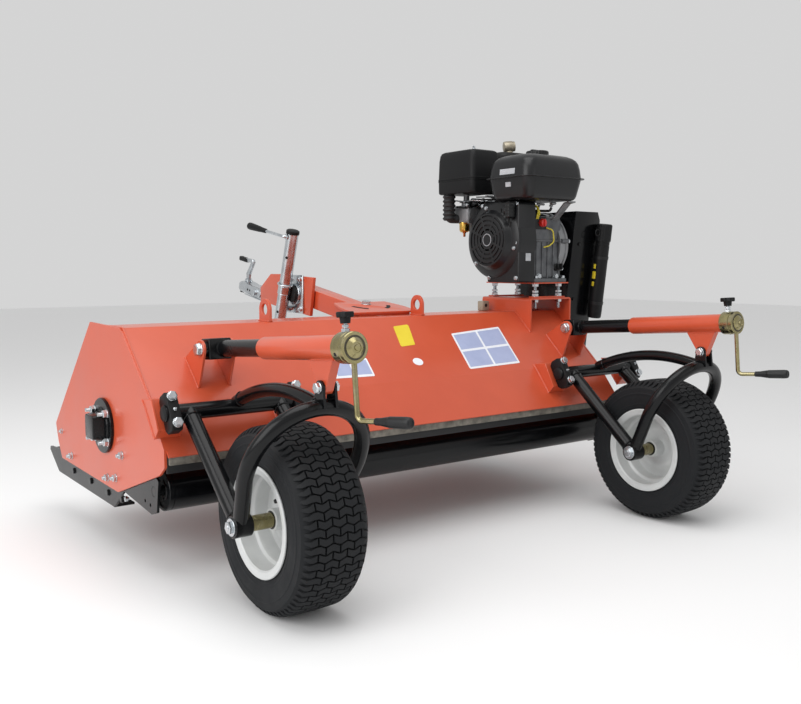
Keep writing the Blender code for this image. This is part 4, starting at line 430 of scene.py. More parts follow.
def hexBolt(place, direction, size, head=None, washer=True, stud=0.0):
    # size is the thread's diameter: head 1.7 across flats, 0.65 high, washer 2.1 wide
    place = Vector(place)
    run = Vector(direction).normalized()
    height = size * (head or 0.65)
    flat = size * 0.85
    shapes = []
    base = 0.0
    if washer:
        base = size * 0.18
        shapes.append(lathed([(0, size * 1.05), (base * 0.7, size * 1.05), (base, size * 0.98)], place, run,
            20))
    corner = flat / cos(pi / 6)
    headShape = lathed([(base, corner), (base + height * 0.84, corner), (base + height, flat * 0.88)],
        place, run, 6)
    shapes.append(headShape)
    if stud:
        top = base + height
        threads = [(top - 0.001, 0), (top - 0.001, size * 0.5)]
        turns = max(int(stud / (size * 0.16)), 2)
        for i in range(turns):
            step = stud / turns
            threads += [(top + step * (i + 0.25), size * 0.44), (top + step * (i + 0.75), size * 0.5)]
        threads += [(top + stud, size * 0.4), (top + stud, 0)]
        shapes.append(turned(threads, place, run, 16))
    return join(*shapes)


def fasteners(name, bolts, body="chassis", finishName="brightZinc"):
    # bolts: (place, direction, thread size, head height or None, washer, stud length)
    return pieceFrom([hexBolt(at(*b[0]), *b[1:]) for b in bolts], name, finishName, body, sharp=25)


def weldBead(points, radius, seed=1):
    # a bead of overlapping ripples
    dice = random.Random(seed)
    path = []
    for a, b in zip(points, points[1:]):
        a, b = Vector(a), Vector(b)
        steps = max(int((b - a).length / 0.004), 1)
        path += [a.lerp(b, i / steps) for i in range(steps)]
    path.append(Vector(points[-1]))
    return swept(path, [radius * (0.85 + 0.3 * dice.random()) for _ in path], 8)


def ring(centre, direction, radius, bead, around=32, sides=8, seed=1):
    # a welded ring round a tube
    dice = random.Random(seed)
    run = Vector(direction).normalized()
    cross = run.orthogonal().normalized()
    other = run.cross(cross)
    shape = bmesh.new()
    rings = []
    for i in range(around):
        turn = tau * i / around
        out = cross * cos(turn) + other * sin(turn)
        size = bead * (0.85 + 0.3 * dice.random())
        loop = aroundPoint(Vector(centre) + out * radius, out, run, [size] * sides)
        rings.append([shape.verts.new(p) for p in loop])
    return skin(shape, rings, True, False)


def holedPlate(outline, holes, axis, low, high, edge=0.0007):
    shape = bmesh.new()
    edges = []
    for loop in [outline] + holes:
        verts = [shape.verts.new(at(*onAxis(axis, p, low))) for p in loop]
        edges += [shape.edges.new((verts[i], verts[(i + 1) % len(verts)])) for i in range(len(verts))]
    bmesh.ops.triangle_fill(shape, edges=edges, use_beauty=True, use_dissolve=False)
    extruded(shape, list(shape.faces), axis, high - low)
    if edge:
        rims = [e for e in shape.edges if e.is_manifold and abs(e.calc_face_angle(0)) > 1.4
            and all(len(f.verts) in (3, 4) for f in e.link_faces)]
        bmesh.ops.bevel(shape, geom=rims, offset=edge, segments=1, affect="EDGES", clamp_overlap=True)
    return shape


def circle(centre, radius, count=28):
    return arc(centre, radius, 0, 360 - 360 / count, count - 1)


def roundedOutline(points, radius, steps=5):
    flat = [Vector((a, b, 0)) for a, b in points]
    path = roundedPath([flat[-1]] + flat + [flat[0]], radius, steps)[1:-1]
    return [(p.x, p.y) for p in path]


def bentSheet(line, thickness, radius, steps=6):
    # side view of a folded sheet: its outer line, and the same line set in by the thickness
    outer = [(p.x, p.y) for p in roundedPath([Vector((a, b, 0)) for a, b in line], radius, steps)]
    inner = []
    for i, (a, b) in enumerate(outer):
        before, after = outer[max(i - 1, 0)], outer[min(i + 1, len(outer) - 1)]
        run = Vector((after[0] - before[0], after[1] - before[1])).normalized()
        inner.append((a - run.y * thickness, b + run.x * thickness))
    return outer + inner[::-1]


def loft(loops):
    # skin over loops of drawing places, closed at both ends
    shape = bmesh.new()
    return skin(shape, [[shape.verts.new(at(*p)) for p in loop] for loop in loops])


def ribbed(rings, place, run, sides):
    # rings of (distance along, its radius by number round the line from place)
    across = Vector((1, 0, 0))
    shape = bmesh.new()
    loops = [aroundPoint(place + run * along, across, run.cross(across),
        [radiusAt(i) for i in range(sides)]) for along, radiusAt in rings]
    return skin(shape, [[shape.verts.new(p) for p in loop] for loop in loops])


def spun(shape, place, angle, axis):
    # from the drawing's origin to a place, turned about an axis
    turn = Matrix.Translation(at(*place)) @ Matrix.Rotation(angle, 4, axis) @ Matrix.Translation(-at(0, 0,
        0))
    bmesh.ops.transform(shape, verts=shape.verts, matrix=turn)
    return shape


def roundedRect(low, high, corner, steps=5):
    return roundedOutline([(low[0], low[1]), (high[0], low[1]), (high[0], high[1]), (low[0], high[1])],
        corner, steps)


def stacked(box, rows, steps):
    # a rounded box skinned over rows of (height, inset, corner radius)
    (x0, y0), (x1, y1) = box["low"][:2], box["high"][:2]
    return loft([[(a, b, z) for a, b in roundedRect((x0 + inset, y0 + inset), (x1 - inset, y1 - inset),
        corner, steps)] for z, inset, corner in rows])


def softened(node, edge, steps=2, least=25):
    # a solid's own shape with its corners rounded off
    shape = bmesh.new()
    shape.from_mesh(nodes[node].data)
    bmesh.ops.transform(shape, verts=shape.verts, matrix=nodes[node].matrix_world)
    bmesh.ops.remove_doubles(shape, verts=shape.verts, dist=1e-5)
    bmesh.ops.dissolve_limit(shape, angle_limit=radians(1), verts=list(shape.verts),
        edges=list(shape.edges))
    corners = [e for e in shape.edges if e.is_manifold and e.calc_face_angle(0) > radians(least)]
    bmesh.ops.bevel(shape, geom=corners, offset=edge, segments=steps, profile=0.5, affect="EDGES",
        clamp_overlap=True)
    for face in shape.faces:
        face.material_index = 0
    return shape


# Deck: one folded sheet between two end plates, with a zinc strip and a rubber lip under its rear hem
deck = {"left": -0.795, "right": 0.717, "plate": 0.006, "sheet": 0.004, "bend": 0.009, "top": 0.58,
    "crease": (0.5, 0.58), "knee": (0.322, 0.415), "hem": (0.236, 0.308),
    "front": [(0.955, 0.3), (0.645, 0.535), (0.63, 0.58)], "plateLine": [(0.722, 0.584), (0.514, 0.58),
    (0.494, 0.573), (0.322, 0.415), (0.248, 0.323), (0.247, 0.283), (0.277, 0.26), (0.548, 0.168),
    (1.005, 0.177), (1.035, 0.224), (1.053, 0.273)], "plateBolts": [(0.912, 0.199), (0.512, 0.267),
    (0.619, 0.192), (0.56, 0.202)], "skidBolts": [(0.917, 0.154), (0.771, 0.153), (0.638, 0.148),
    (0.536, 0.151)], "smallHole": (0.998, 0.256), "eyes": (-0.386, 0.132), "eyeY": 0.528, "eyeHalf": 0.029,
    "eyeThick": 0.008, "eyeCentre": 0.612, "eyeHole": 0.0155}
upperSlope = (deck["crease"][1] - deck["knee"][1]) / (deck["crease"][0] - deck["knee"][0])
lowerSlope = (deck["knee"][1] - deck["hem"][1]) / (deck["knee"][0] - deck["hem"][0])
slopeOut = Vector((0, -upperSlope, 1)).normalized()
innerLeft = deck["left"] + deck["plate"]
innerRight = deck["right"] - deck["plate"]


def rearZ(y):
    slope = upperSlope if y > deck["knee"][0] else lowerSlope
    return deck["knee"][1] + (y - deck["knee"][0]) * slope


def onSlope(x, y, lift):
    return at(x, y, rearZ(y)) + slopeOut * lift


def makeDeck():
    eyeY = deck["eyeY"]
    line = deck["front"] + [deck["crease"], deck["knee"], deck["hem"]]
    outline = bentSheet(line, deck["sheet"], deck["bend"])
    shell = prism(outline, "X", innerLeft, innerRight)
    shapes = [shell]
    outer = outline[:len(outline) // 2]
    for x, way in ((innerLeft, 1), (innerRight, -1)):
        seam = [at(x + way * 0.0006, y, z) + Vector((0, 0, 0.0002)) for y, z in outer[1:-1]]
        shapes.append(weldBead(seam, 0.0021, 11))
    pieceFrom(shapes, "deckShell", "powderCoatOrange")
    hemY, hemZ = deck["hem"]
    strip = prism([(hemY + 0.006, hemZ - 0.001), (hemY + 0.012, hemZ + 0.004), (hemY + 0.012, hemZ - 0.019),
        (hemY + 0.006, hemZ - 0.021)], "X", innerLeft + 0.004, innerRight - 0.004, 0.0006, 1)
    pieceFrom(strip, "hemStrip", "scuffedZinc", sharp=35, slotName="zinc_plate")
    lip = prism([(hemY + 0.0125, hemZ + 0.006), (hemY + 0.018, hemZ + 0.01), (hemY + 0.018, hemZ - 0.04),
        (hemY + 0.0125, hemZ - 0.04)], "X", innerLeft + 0.0005, innerRight - 0.0005, 0.0006, 1)
    pieceFrom(lip, "hemLip", "rubberSheet", sharp=35)
    for name, outer, way in (("left", deck["left"], 1), ("right", deck["right"], -1)):
        faces = sorted((outer, outer + way * deck["plate"]))
        holes = [circle((0.633, 0.325), 0.0404, 40), circle(deck["smallHole"], 0.0045, 16)]
        plate = holedPlate(roundedOutline(deck["plateLine"], 0.006), holes, "X", *faces, 0.0008)
        pieceFrom(plate, f"{name}EndPlate", "powderCoatOrange")
        bolts = [((outer, *place), (-way, 0, 0), 0.0098, 0.75, True, 0.006)
            for place in deck["plateBolts"][:4 if way > 0 else 1]]
        fasteners(f"{name}PlateBolts", bolts)
        bolts = [((outer, *deck["smallHole"]), (-way, 0, 0), 0.0075, 0.5, True, 0.004)]
        fasteners(f"{name}FlapBolt", bolts)
        webFace = outer + way * (deck["plate"] + 0.0002)
        heads = [((webFace, *place), (-way, 0, 0), 0.0085, 0.35) for place in deck["skidBolts"]]
        fasteners(f"{name}SkidBolts", heads, finishName="powderCoatBlack")
        nuts = [((outer + way * (deck["plate"] + 0.0066), *place), (way, 0, 0), 0.008, 0.8, False, 0.004)
            for place in deck["skidBolts"]]
        fasteners(f"{name}SkidNuts", nuts)
    for name, x in zip(("left", "right"), deck["eyes"]):
        half, centre = deck["eyeHalf"], (eyeY, deck["eyeCentre"])
        outline = [(eyeY - half, deck["top"] + 0.0004), (eyeY + half, deck["top"] + 0.0004)]
        outline += arc(centre, half, 0, 180, 24)
        thick = deck["eyeThick"] / 2
        plate = holedPlate(outline, [circle(centre, deck["eyeHole"], 30)], "X", x - thick, x + thick,
            0.0009)
        beads = [weldBead([at(x + way * (thick + 0.0006), y, deck["top"] + 0.0016)
            for y in (eyeY - half, eyeY + half)], 0.0022, 3 + way) for way in (-1, 1)]
        pieceFrom([plate, *beads], f"{name}LiftingEye", "powderCoatOrange")


# Blank stickers on the rear slope: corners are (x, y), fields are shares of the panel
stickers = {"wideSticker": {"corners": [(0.193, 0.441), (0.397, 0.454), (0.385, 0.342), (0.179, 0.337)],
    "face": "whiteVinyl", "fieldFinish": "blueGreyVinyl", "fields": [(0.03, 0.48, 0.05, 0.47),
    (0.52, 0.97, 0.05, 0.47), (0.03, 0.48, 0.53, 0.95), (0.52, 0.97, 0.53, 0.95)]},
    "yellowSticker": {"corners": [(-0.001, 0.471), (0.056, 0.475), (0.037, 0.416), (-0.016, 0.413)],
    "face": "yellowVinyl", "fieldFinish": "yellowVinyl", "fields": []},
    "lowSticker": {"corners": [(-0.331, 0.39), (-0.153, 0.39), (-0.157, 0.341), (-0.336, 0.344)],
    "face": "whiteVinyl", "fieldFinish": "blueGreyVinyl", "fields": [(0.03, 0.31, 0.12, 0.88),
    (0.36, 0.64, 0.12, 0.88), (0.69, 0.97, 0.12, 0.88)]}}


def panelOn(corners, low, high):
    shape = bmesh.new()
    return skin(shape, [[shape.verts.new(onSlope(x, y, lift)) for x, y in corners] for lift in (low, high)])


def makeStickers():
    for name, look in stickers.items():
        a, b, c, d = [Vector((*p, 0)) for p in look["corners"]]

        def inside(u, v):
            place = a.lerp(b, u).lerp(d.lerp(c, u), v)
            return (place.x, place.y)

        shapes = [panelOn(roundedOutline(look["corners"], 0.004, 3), 0.0001, 0.0007)]
        for u0, u1, v0, v1 in look["fields"]:
            field = [inside(u0, v0), inside(u1, v0), inside(u1, v1), inside(u0, v1)]
            shapes.append(withMaterial(panelOn(field, 0.0005, 0.0009), 1))
        pieceFrom(shapes, name, [look["face"], look["fieldFinish"]], sharp=35, slotName="orange_paint")
    oval = [(0.011 + 0.017 * cos(a), 0.369 + 0.01 * sin(a)) for a in (tau * i / 32 for i in range(32))]
    pieceFrom(panelOn(oval, 0.0001, 0.0007), "ovalSticker", "whiteVinyl", sharp=35, slotName="orange_paint")


# Rotor bearings: a cast flange, four bolts with long studs and a square cap
rotorHub = {"place": (0.633, 0.325), "flange": 0.0705, "thick": 0.012, "cap": 0.028, "boltRing": 0.0585}


def makeRotorBearing(name, outer, way):
    y, z = rotorHub["place"]
    flange = lathed([(0.0003, rotorHub["flange"] - 0.001), (0.0013, rotorHub["flange"]),
        (0.0075, rotorHub["flange"]), (0.0088, rotorHub["flange"] - 0.0014), (0.0092, 0.05),
        (0.0118, 0.048)], at(outer, y, z), (way, 0, 0), 56)
    loops = []
    top = rotorHub["thick"] + rotorHub["cap"]
    for along, half, corner in ((0.0108, 0.034, 0.009), (0.016, 0.0335, 0.009),
            (top - 0.004, 0.0305, 0.009), (top - 0.001, 0.03, 0.008), (top, 0.0275, 0.007)):
        square = roundedOutline([(-half, -half), (half, -half), (half, half), (-half, half)], corner, 6)
        loops.append([(outer + way * along, y + a, z + b) for a, b in square])
    pieceFrom([flange, loft(loops)], f"{name}RotorBearing", "powderCoatBlack")
    bolts = []
    for turn in (38, 142, 218, 322):
        a = radians(turn)
        place = (outer + way * 0.009, y + rotorHub["boltRing"] * cos(a), z + rotorHub["boltRing"] * sin(a))
        bolts.append((place, (way, 0, 0), 0.0108, 0.9, True, 0.012))
    fasteners(f"{name}BearingNuts", bolts)


# Skids with the roller's hangers
skid = {"thick": 0.006, "width": 0.053, "sole": [(1.145, 0.18), (1.061, 0.126), (0.596, 0.118)],
    "web": [(1.141, 0.1795), (1.061, 0.1272), (0.596, 0.1192), (0.524, 0.174), (0.345, 0.155),
    (0.314, 0.165), (0.301, 0.242), (0.342, 0.257), (0.524, 0.227), (1.031, 0.197), (1.141, 0.19)]}


def makeSkid(name, near, way):
    far = near + way * skid["thick"]
    web = holedPlate(roundedOutline(skid["web"], 0.005, 4), [circle((0.33, 0.212), 0.0123, 24),
        circle((0.352, 0.176), 0.0045, 14), circle((0.384, 0.18), 0.0045, 14)], "X", *sorted((near, far)),
        0.0007)
    sole = prism(bentSheet(skid["sole"], -skid["thick"], 0.022),
        "X", *sorted((near + way * 0.0001, near + way * skid["width"])), 0.0008, 1)
    bead = weldBead([at(far + way * 0.0008, y, z + 0.0072) for y, z in ((1.05, 0.128), (0.6, 0.12))],
        0.0022, 5)
    pieceFrom([web, sole, bead], f"{name}Skid", "powderCoatBlack")


# Rear roller, hanging rubber strips and the flail rotor
roller = {"place": (0.33, 0.212), "radius": 0.048, "pin": 0.012, "endGap": 0.014}
flap = {"y": 0.959, "z": 0.291, "drop": 0.1, "strip": 0.082, "gap": 0.002}
rotor = {"tube": 0.045, "shaft": 0.0175, "endGap": 0.012, "hammers": 16, "step": 135, "width": 0.045,
    "pulley": 0.782, "pulleyRadius": 0.062}
pulleyHalf = 0.018


def makeRoller():
    left = innerLeft + skid["thick"] + roller["endGap"]
    length = innerRight - skid["thick"] - roller["endGap"] - left
    radius = roller["radius"]
    end = [(-0.0195, 0), (-0.0195, 0.0112), (-0.019, roller["pin"]), (0.0, roller["pin"]), (0.0, 0.0235),
        (0.0022, 0.0245), (0.0022, 0.038), (0.0006, 0.039), (0.0, 0.04), (0.0, radius - 0.0012),
        (0.0012, radius), (0.01, radius), (0.0106, radius - 0.0012), (0.0124, radius - 0.0012),
        (0.013, radius)]
    profile = end + [(length - a, r) for a, r in end[::-1]]
    pieceFrom(turned(profile, at(left, *roller["place"]), (1, 0, 0), 56), "rearRoller", "powderCoatBlack",
        "rear_roller")


def makeFlap():
    y, z = flap["y"], flap["z"]
    left, right = innerLeft + 0.0003, innerRight - 0.0003
    low, high = left + skid["width"], right - skid["width"]
    shapes = [withMaterial(rod(at(left, y, z), at(right, y, z), 0.0055, 20), 1)]
    count = int((high - low) / flap["strip"])
    pitch = (high - low) / count
    for i in range(count):
        a, b = low + i * pitch + flap["gap"] / 2, low + (i + 1) * pitch - flap["gap"] / 2
        strip = prism([(y - 0.0028, z - 0.002), (y + 0.0028, z - 0.002), (y + 0.0028, z - flap["drop"]),
            (y - 0.0028, z - flap["drop"])], "X", a, b, 0.0006, 1)
        wrap = turned([(0, 0.0056), (0, 0.006), (b - a, 0.006), (b - a, 0.0056)], at(a, y, z), (1, 0, 0),
            20)
        shapes += [strip, wrap]
    pieceFrom(shapes, "frontFlap", ["rubberSheet", "brightZinc"], "front_flap", slotName="tyre_rubber")


def pulleyRim(middle, half, radius):
    # along the axis from its left face, with a flat belt seat between two flanges
    seat, deep, edge = 0.0113, 0.007, 0.001
    rising = [(-half, radius - edge), (-half + edge, radius), (-seat, radius), (-seat, radius - deep)]
    return [(middle + a, r) for a, r in rising] + [(middle - a, r) for a, r in rising[::-1]]


def makeRotor():
    shaft, tube = rotor["shaft"], rotor["tube"]
    y, z = rotorHub["place"]
    left, right = innerLeft + rotor["endGap"], innerRight - rotor["endGap"]
    shaftLeft = deck["left"] - rotorHub["thick"] - rotorHub["cap"] + 0.007
    end = rotor["pulley"] + pulleyHalf
    step, rise = 0.004, 0.001
    drum = lathed([(shaftLeft, shaft - rise), (shaftLeft + rise, shaft), (left, shaft),
        (left, tube - 0.006), (left + step, tube - step), (left + step, tube - rise), (left + 0.005, tube),
        (right - 0.005, tube), (right - step, tube - step), (right, tube - 0.006), (right, shaft),
        (rotor["pulley"] - pulleyHalf, shaft), *pulleyRim(rotor["pulley"], pulleyHalf,
        rotor["pulleyRadius"]), (end, 0.03), (end - 0.002, 0.026)], at(0, y, z), (1, 0, 0), 48)
    shapes = [drum]
    pitch = (right - left) / rotor["hammers"]
    for i in range(rotor["hammers"]):
        middle = left + pitch * (i + 0.5)
        wide = rotor["width"] / 2
        parts = [prism([(-0.011, 0.038), (0.011, 0.038), (0.008, 0.066), (0.004, 0.072), (-0.004, 0.072),
            (-0.008, 0.066)], "X", middle + way * 0.011 - 0.003, middle + way * 0.011 + 0.003, 0.0008, 1)
            for way in (-1, 1)]
        parts.append(rod(at(middle - 0.018, 0, 0.063), at(middle + 0.018, 0, 0.063), 0.005, 16))
        blade = prism([(middle - 0.0075, 0.055), (middle + 0.0075, 0.055), (middle + 0.0075, 0.086),
            (middle + wide - 0.002, 0.112), (middle + wide, 0.136), (middle - wide, 0.136),
            (middle - wide + 0.002, 0.112), (middle - 0.0075, 0.086)], "Y", -0.0055, 0.0055, 0.001, 1)
        whole = join(*parts, blade)
        shapes.append(spun(whole, (0, y, z), radians(rotor["step"] * i), "X"))
    pieceFrom(shapes, "flailRotor", "forgedIron", "rotor", stands="rotor")


makeDeck()
makeStickers()
makeRotorBearing("left", deck["left"], -1)
makeRotorBearing("right", deck["right"], 1)
makeSkid("left", innerLeft + 0.0003, 1)
makeSkid("right", innerRight - 0.0003, -1)
makeRoller()
makeFlap()
makeRotor()
print("deck, rotor, roller and skids made")


# Tyres: a carcass with brick tread in rows that follow one wave
tyre = {"halfWidth": 0.08, "crown": 0.05, "crownDrop": 0.0015, "shoulder": 0.03, "lugEnd": 0.086,
    "rows": 74, "brick": 0.033, "groove": 0.0028, "depth": 0.0065, "wave": 0.003, "bead": 0.1034}


def treadPoint(u, v, lift):
    # u across the tread from its middle, v round it, lift from the tread's outer face
    crown = tyre["crown"]
    side = -1 if u < 0 else 1
    u = abs(u)
    crownRadius = wheel["radius"] - tyre["crownDrop"]
    if u <= crown:
        x, r = u, wheel["radius"] - tyre["crownDrop"] * (u / crown) ** 2
        outX, outR = 0.06 * u / crown, 1.0
    else:
        turn = (u - crown) / tyre["shoulder"]
        outX, outR = sin(turn), cos(turn)
        x = crown + tyre["shoulder"] * outX
        r = crownRadius - tyre["shoulder"] * (1 - outR)
    x += outX * lift
    r += outR * lift
    turn = v / wheel["radius"]
    return Vector((side * x, r * cos(turn), r * sin(turn)))


def treadLug(shape, centre, edges, v, pitch, endHalf, endLift):
    # one rubber lug: edges are places across the tread, bent to the wave
    half = (pitch - tyre["groove"]) / 2
    count = len(edges)
    top, foot = [], []
    for side in (-1, 1):
        for i, u in enumerate(edges if side < 0 else edges[::-1]):
            k = i if side < 0 else count - 1 - i
            outer = max(0.0, (abs(u) - 0.055) / (tyre["lugEnd"] - 0.055))
            reach = half * (1 - outer) + endHalf * outer
            lift = endLift * outer ** 2
            wave = tyre["wave"] * cos(tau * u / tyre["brick"]) * (1 - outer)
            inset = 0.0005
            inward = inset if k == 0 else (-inset if k == count - 1 else 0)
            top.append(shape.verts.new(centre + treadPoint(u + inward, v + wave + side * (reach - inset),
                lift)))
            foot.append(shape.verts.new(centre + treadPoint(u, v + wave + side * (reach + 0.0006),
                -tyre["depth"] - 0.0006)))
    total = 2 * count
    for i in range(count - 1):
        shape.faces.new((top[i], top[i + 1], top[total - 2 - i], top[total - 1 - i]))
    for i in range(total):
        j = (i + 1) % total
        shape.faces.new((top[i], foot[i], foot[j], top[j]))


def makeTyre(side, x):
    lugEnd = tyre["lugEnd"]
    centre = at(x, 0, wheel["radius"])
    shoulderFloor = []
    for u in spreadOut(-lugEnd, lugEnd, 31):
        outer = max(0.0, (abs(u) - 0.06) / (lugEnd - 0.06))
        place = treadPoint(u, 0, -tyre["depth"] * (1 - outer ** 2))
        shoulderFloor.append((place.x, place.y))
    wall = [(0.0722, tyre["bead"]), (0.0722, 0.12), (0.074, 0.1235), (0.0752, 0.125), (0.075, 0.1262),
        (0.0758, 0.129), (0.0778, 0.133), (0.0774, 0.1342), (0.0784, 0.139), (0.0795, 0.148),
        (0.0798, 0.1545), (0.0793, 0.162), (0.08, 0.1634), (0.0798, 0.1648), (0.0787, 0.1662),
        (0.0784, 0.172)]
    profile = [(-a, r) for a, r in wall] + shoulderFloor + wall[::-1]
    carcass = turned(profile, centre, (1, 0, 0), 96)
    lugs = bmesh.new()
    pitch = tau * wheel["radius"] / tyre["rows"]
    brick, groove = tyre["brick"], tyre["groove"]
    for row in range(tyre["rows"]):
        middles = (-brick, 0, brick) if row % 2 else (-brick / 2, brick / 2)
        reach = 1.5 * brick if row % 2 else brick
        for middle in middles:
            edges = spreadOut(middle - (brick - groove) / 2, middle + (brick - groove) / 2, 5)
            treadLug(lugs, centre, edges, row * pitch, pitch, 0, 0)
        for way in (-1, 1):
            edges = spreadOut(way * (reach + groove / 2), way * lugEnd, 6)
            treadLug(lugs, centre, sorted(edges), row * pitch, pitch, 0.0022, -0.004)
    pieceFrom([carcass, lugs], f"{side}Tyre", "tyreRubber", f"{side}_wheel", sharp=32)


# Rims: pressed halves with a dished disc, a hub with sealed bearings, and a valve
rim = {"seat": 0.103, "flange": 0.119, "halfWidth": 0.078, "sheet": 0.0035, "hub": 0.024, "hubHalf": 0.044}


def makeRim(side, x):
    flange, hub = rim["flange"], rim["hub"]
    centre = at(x, 0, wheel["radius"])
    half, sheet, seat = rim["halfWidth"], rim["sheet"], rim["seat"]
    outer = [(-half + 0.0006, flange - 0.0012), (-half + 0.0024, flange), (-half + 0.005, flange - 0.0008),
        (-half + 0.0056, flange - 0.006), (-half + 0.006, seat + 0.002), (-half + 0.0085, seat),
        (-0.04, seat), (-0.036, seat - 0.001), (-0.031, seat - 0.009), (-0.028, seat - 0.011)]
    inner = [(-half, flange - 0.0035), (-half + 0.0014, flange - 0.0075), (-half + 0.0022, seat + 0.001),
        (-half + 0.005, seat - 0.003), (-0.043, seat - sheet - 0.0006), (-0.039, seat - 0.006),
        (-0.035, seat - 0.0125), (-0.03, seat - 0.015), (-0.008, seat - 0.0155), (-0.0046, seat - 0.017),
        (-0.0038, seat - 0.022), (-0.005, 0.071), (-0.009, 0.062), (-0.0105, 0.056), (-0.01, 0.048),
        (-0.0065, 0.041), (-0.005, 0.034), (-0.0052, hub + 0.004), (-0.0075, hub + 0.0005), (-0.012, hub)]
    hubEnd = [(-rim["hubHalf"] + 0.001, hub), (-rim["hubHalf"], hub - 0.001), (-rim["hubHalf"], 0.0195)]
    profile = outer + [(-a, r) for a, r in outer[::-1]] + [(-a, r) for a, r in inner + hubEnd]
    profile += (inner + hubEnd)[::-1]
    shell = turned(profile, centre, (1, 0, 0), 72)
    shapes = [shell]
    for way in (-1, 1):
        seal = turned([(0, 0.0112), (0, 0.0196), (0.004, 0.0196), (0.0046, 0.017), (0.0034, 0.015),
            (0.0044, 0.013), (0.004, 0.0112)], centre + Vector((way * (rim["hubHalf"] - 0.0038), 0, 0)),
            (way, 0, 0), 40)
        shapes.append(withMaterial(seal, 1))
    outward = -1 if side == "left" else 1
    foot = centre + Vector((outward * 0.03, -0.058, 0.062))
    lean = Vector((outward * 0.9, 0.25, -0.28)).normalized()
    valve = lathed([(0, 0.0075), (0.004, 0.007), (0.006, 0.0045), (0.022, 0.004), (0.023, 0.0034),
        (0.024, 0.0048), (0.034, 0.0046), (0.036, 0.003)], foot, lean, 20)
    shapes.append(withMaterial(valve, 1))
    pieceFrom(shapes, f"{side}Rim", ["rimEnamelWhite", "absBlack"], f"{side}_wheel", sharp=28)


# Axle: a through bolt with two plated spacers, washers and a lock nut
axle = {"eyeOut": 0.1353, "eyeIn": 0.0947, "spacer": 0.0165, "washer": 0.0186, "bolt": 0.01}


def makeAxle(side, x):
    eyeOut = axle["eyeOut"]
    centre = at(x, 0, wheel["radius"])
    shapes = []
    for way in (-1, 1):
        spacer = turned([(0, 0.0098), (0, axle["spacer"] - 0.0008), (0.0008, axle["spacer"]),
            (0.05, axle["spacer"]), (0.0508, axle["spacer"] - 0.0008), (0.0508, 0.0098)],
            centre + Vector((way * (axle["eyeIn"] - 0.0509), 0, 0)), (way, 0, 0), 36)
        shapes.append(spacer)
        washer = turned([(0, 0.009), (0, axle["washer"]), (0.0018, axle["washer"]),
            (0.0024, axle["washer"] - 0.0008), (0.0024, 0.009)], centre + Vector((way * eyeOut, 0, 0)),
            (way, 0, 0), 36)
        shapes.append(withMaterial(washer, 1))
        face = centre + Vector((way * (eyeOut + 0.0024), 0, 0))
        nut = lathed([(0, 0.0138), (0.0062, 0.0138), (0.0074, 0.0112)], face, (way, 0, 0), 6)
        end = lathed([(0.007, 0.0078), (0.0088, 0.0066)], face, (way, 0, 0), 24)
        shapes += [withMaterial(nut, 1), withMaterial(end, 1)]
    bolt = rod(centre - Vector((eyeOut, 0, 0)), centre + Vector((eyeOut, 0, 0)), axle["bolt"])
    shapes.append(withMaterial(bolt, 1))
    pieceFrom(shapes, f"{side}Axle", ["yellowZinc", "brightZinc"], f"{side}_arm", sharp=28)


# Wheel arm: cross tube, side tubes, hoop over the tyre, curved top tube and the lug
arm = {"pivot": (0.243, 0.405), "tube": 0.019, "half": 0.115, "crossHalf": 0.175, "eye": 0.024,
    "eyeHalf": 0.02, "hoop": 0.017, "hoopTop": (-0.133, 0.45), "bulge": 0.134, "bulgeAt": 0.13,
    "topTube": 0.015, "crest": (0.08, 0.463), "lug": (-0.134, 0.49), "lugRadius": 0.015, "lugPlate": 0.006,
    "linkShift": 0.01, "tongue": 0.02}


def parabola(value, *points):
    total = 0
    for own, (place, height) in enumerate(points):
        weight = 1
        for other, (elsewhere, _) in enumerate(points):
            if other != own:
                weight *= (value - elsewhere) / (place - elsewhere)
        total += weight * height
    return total


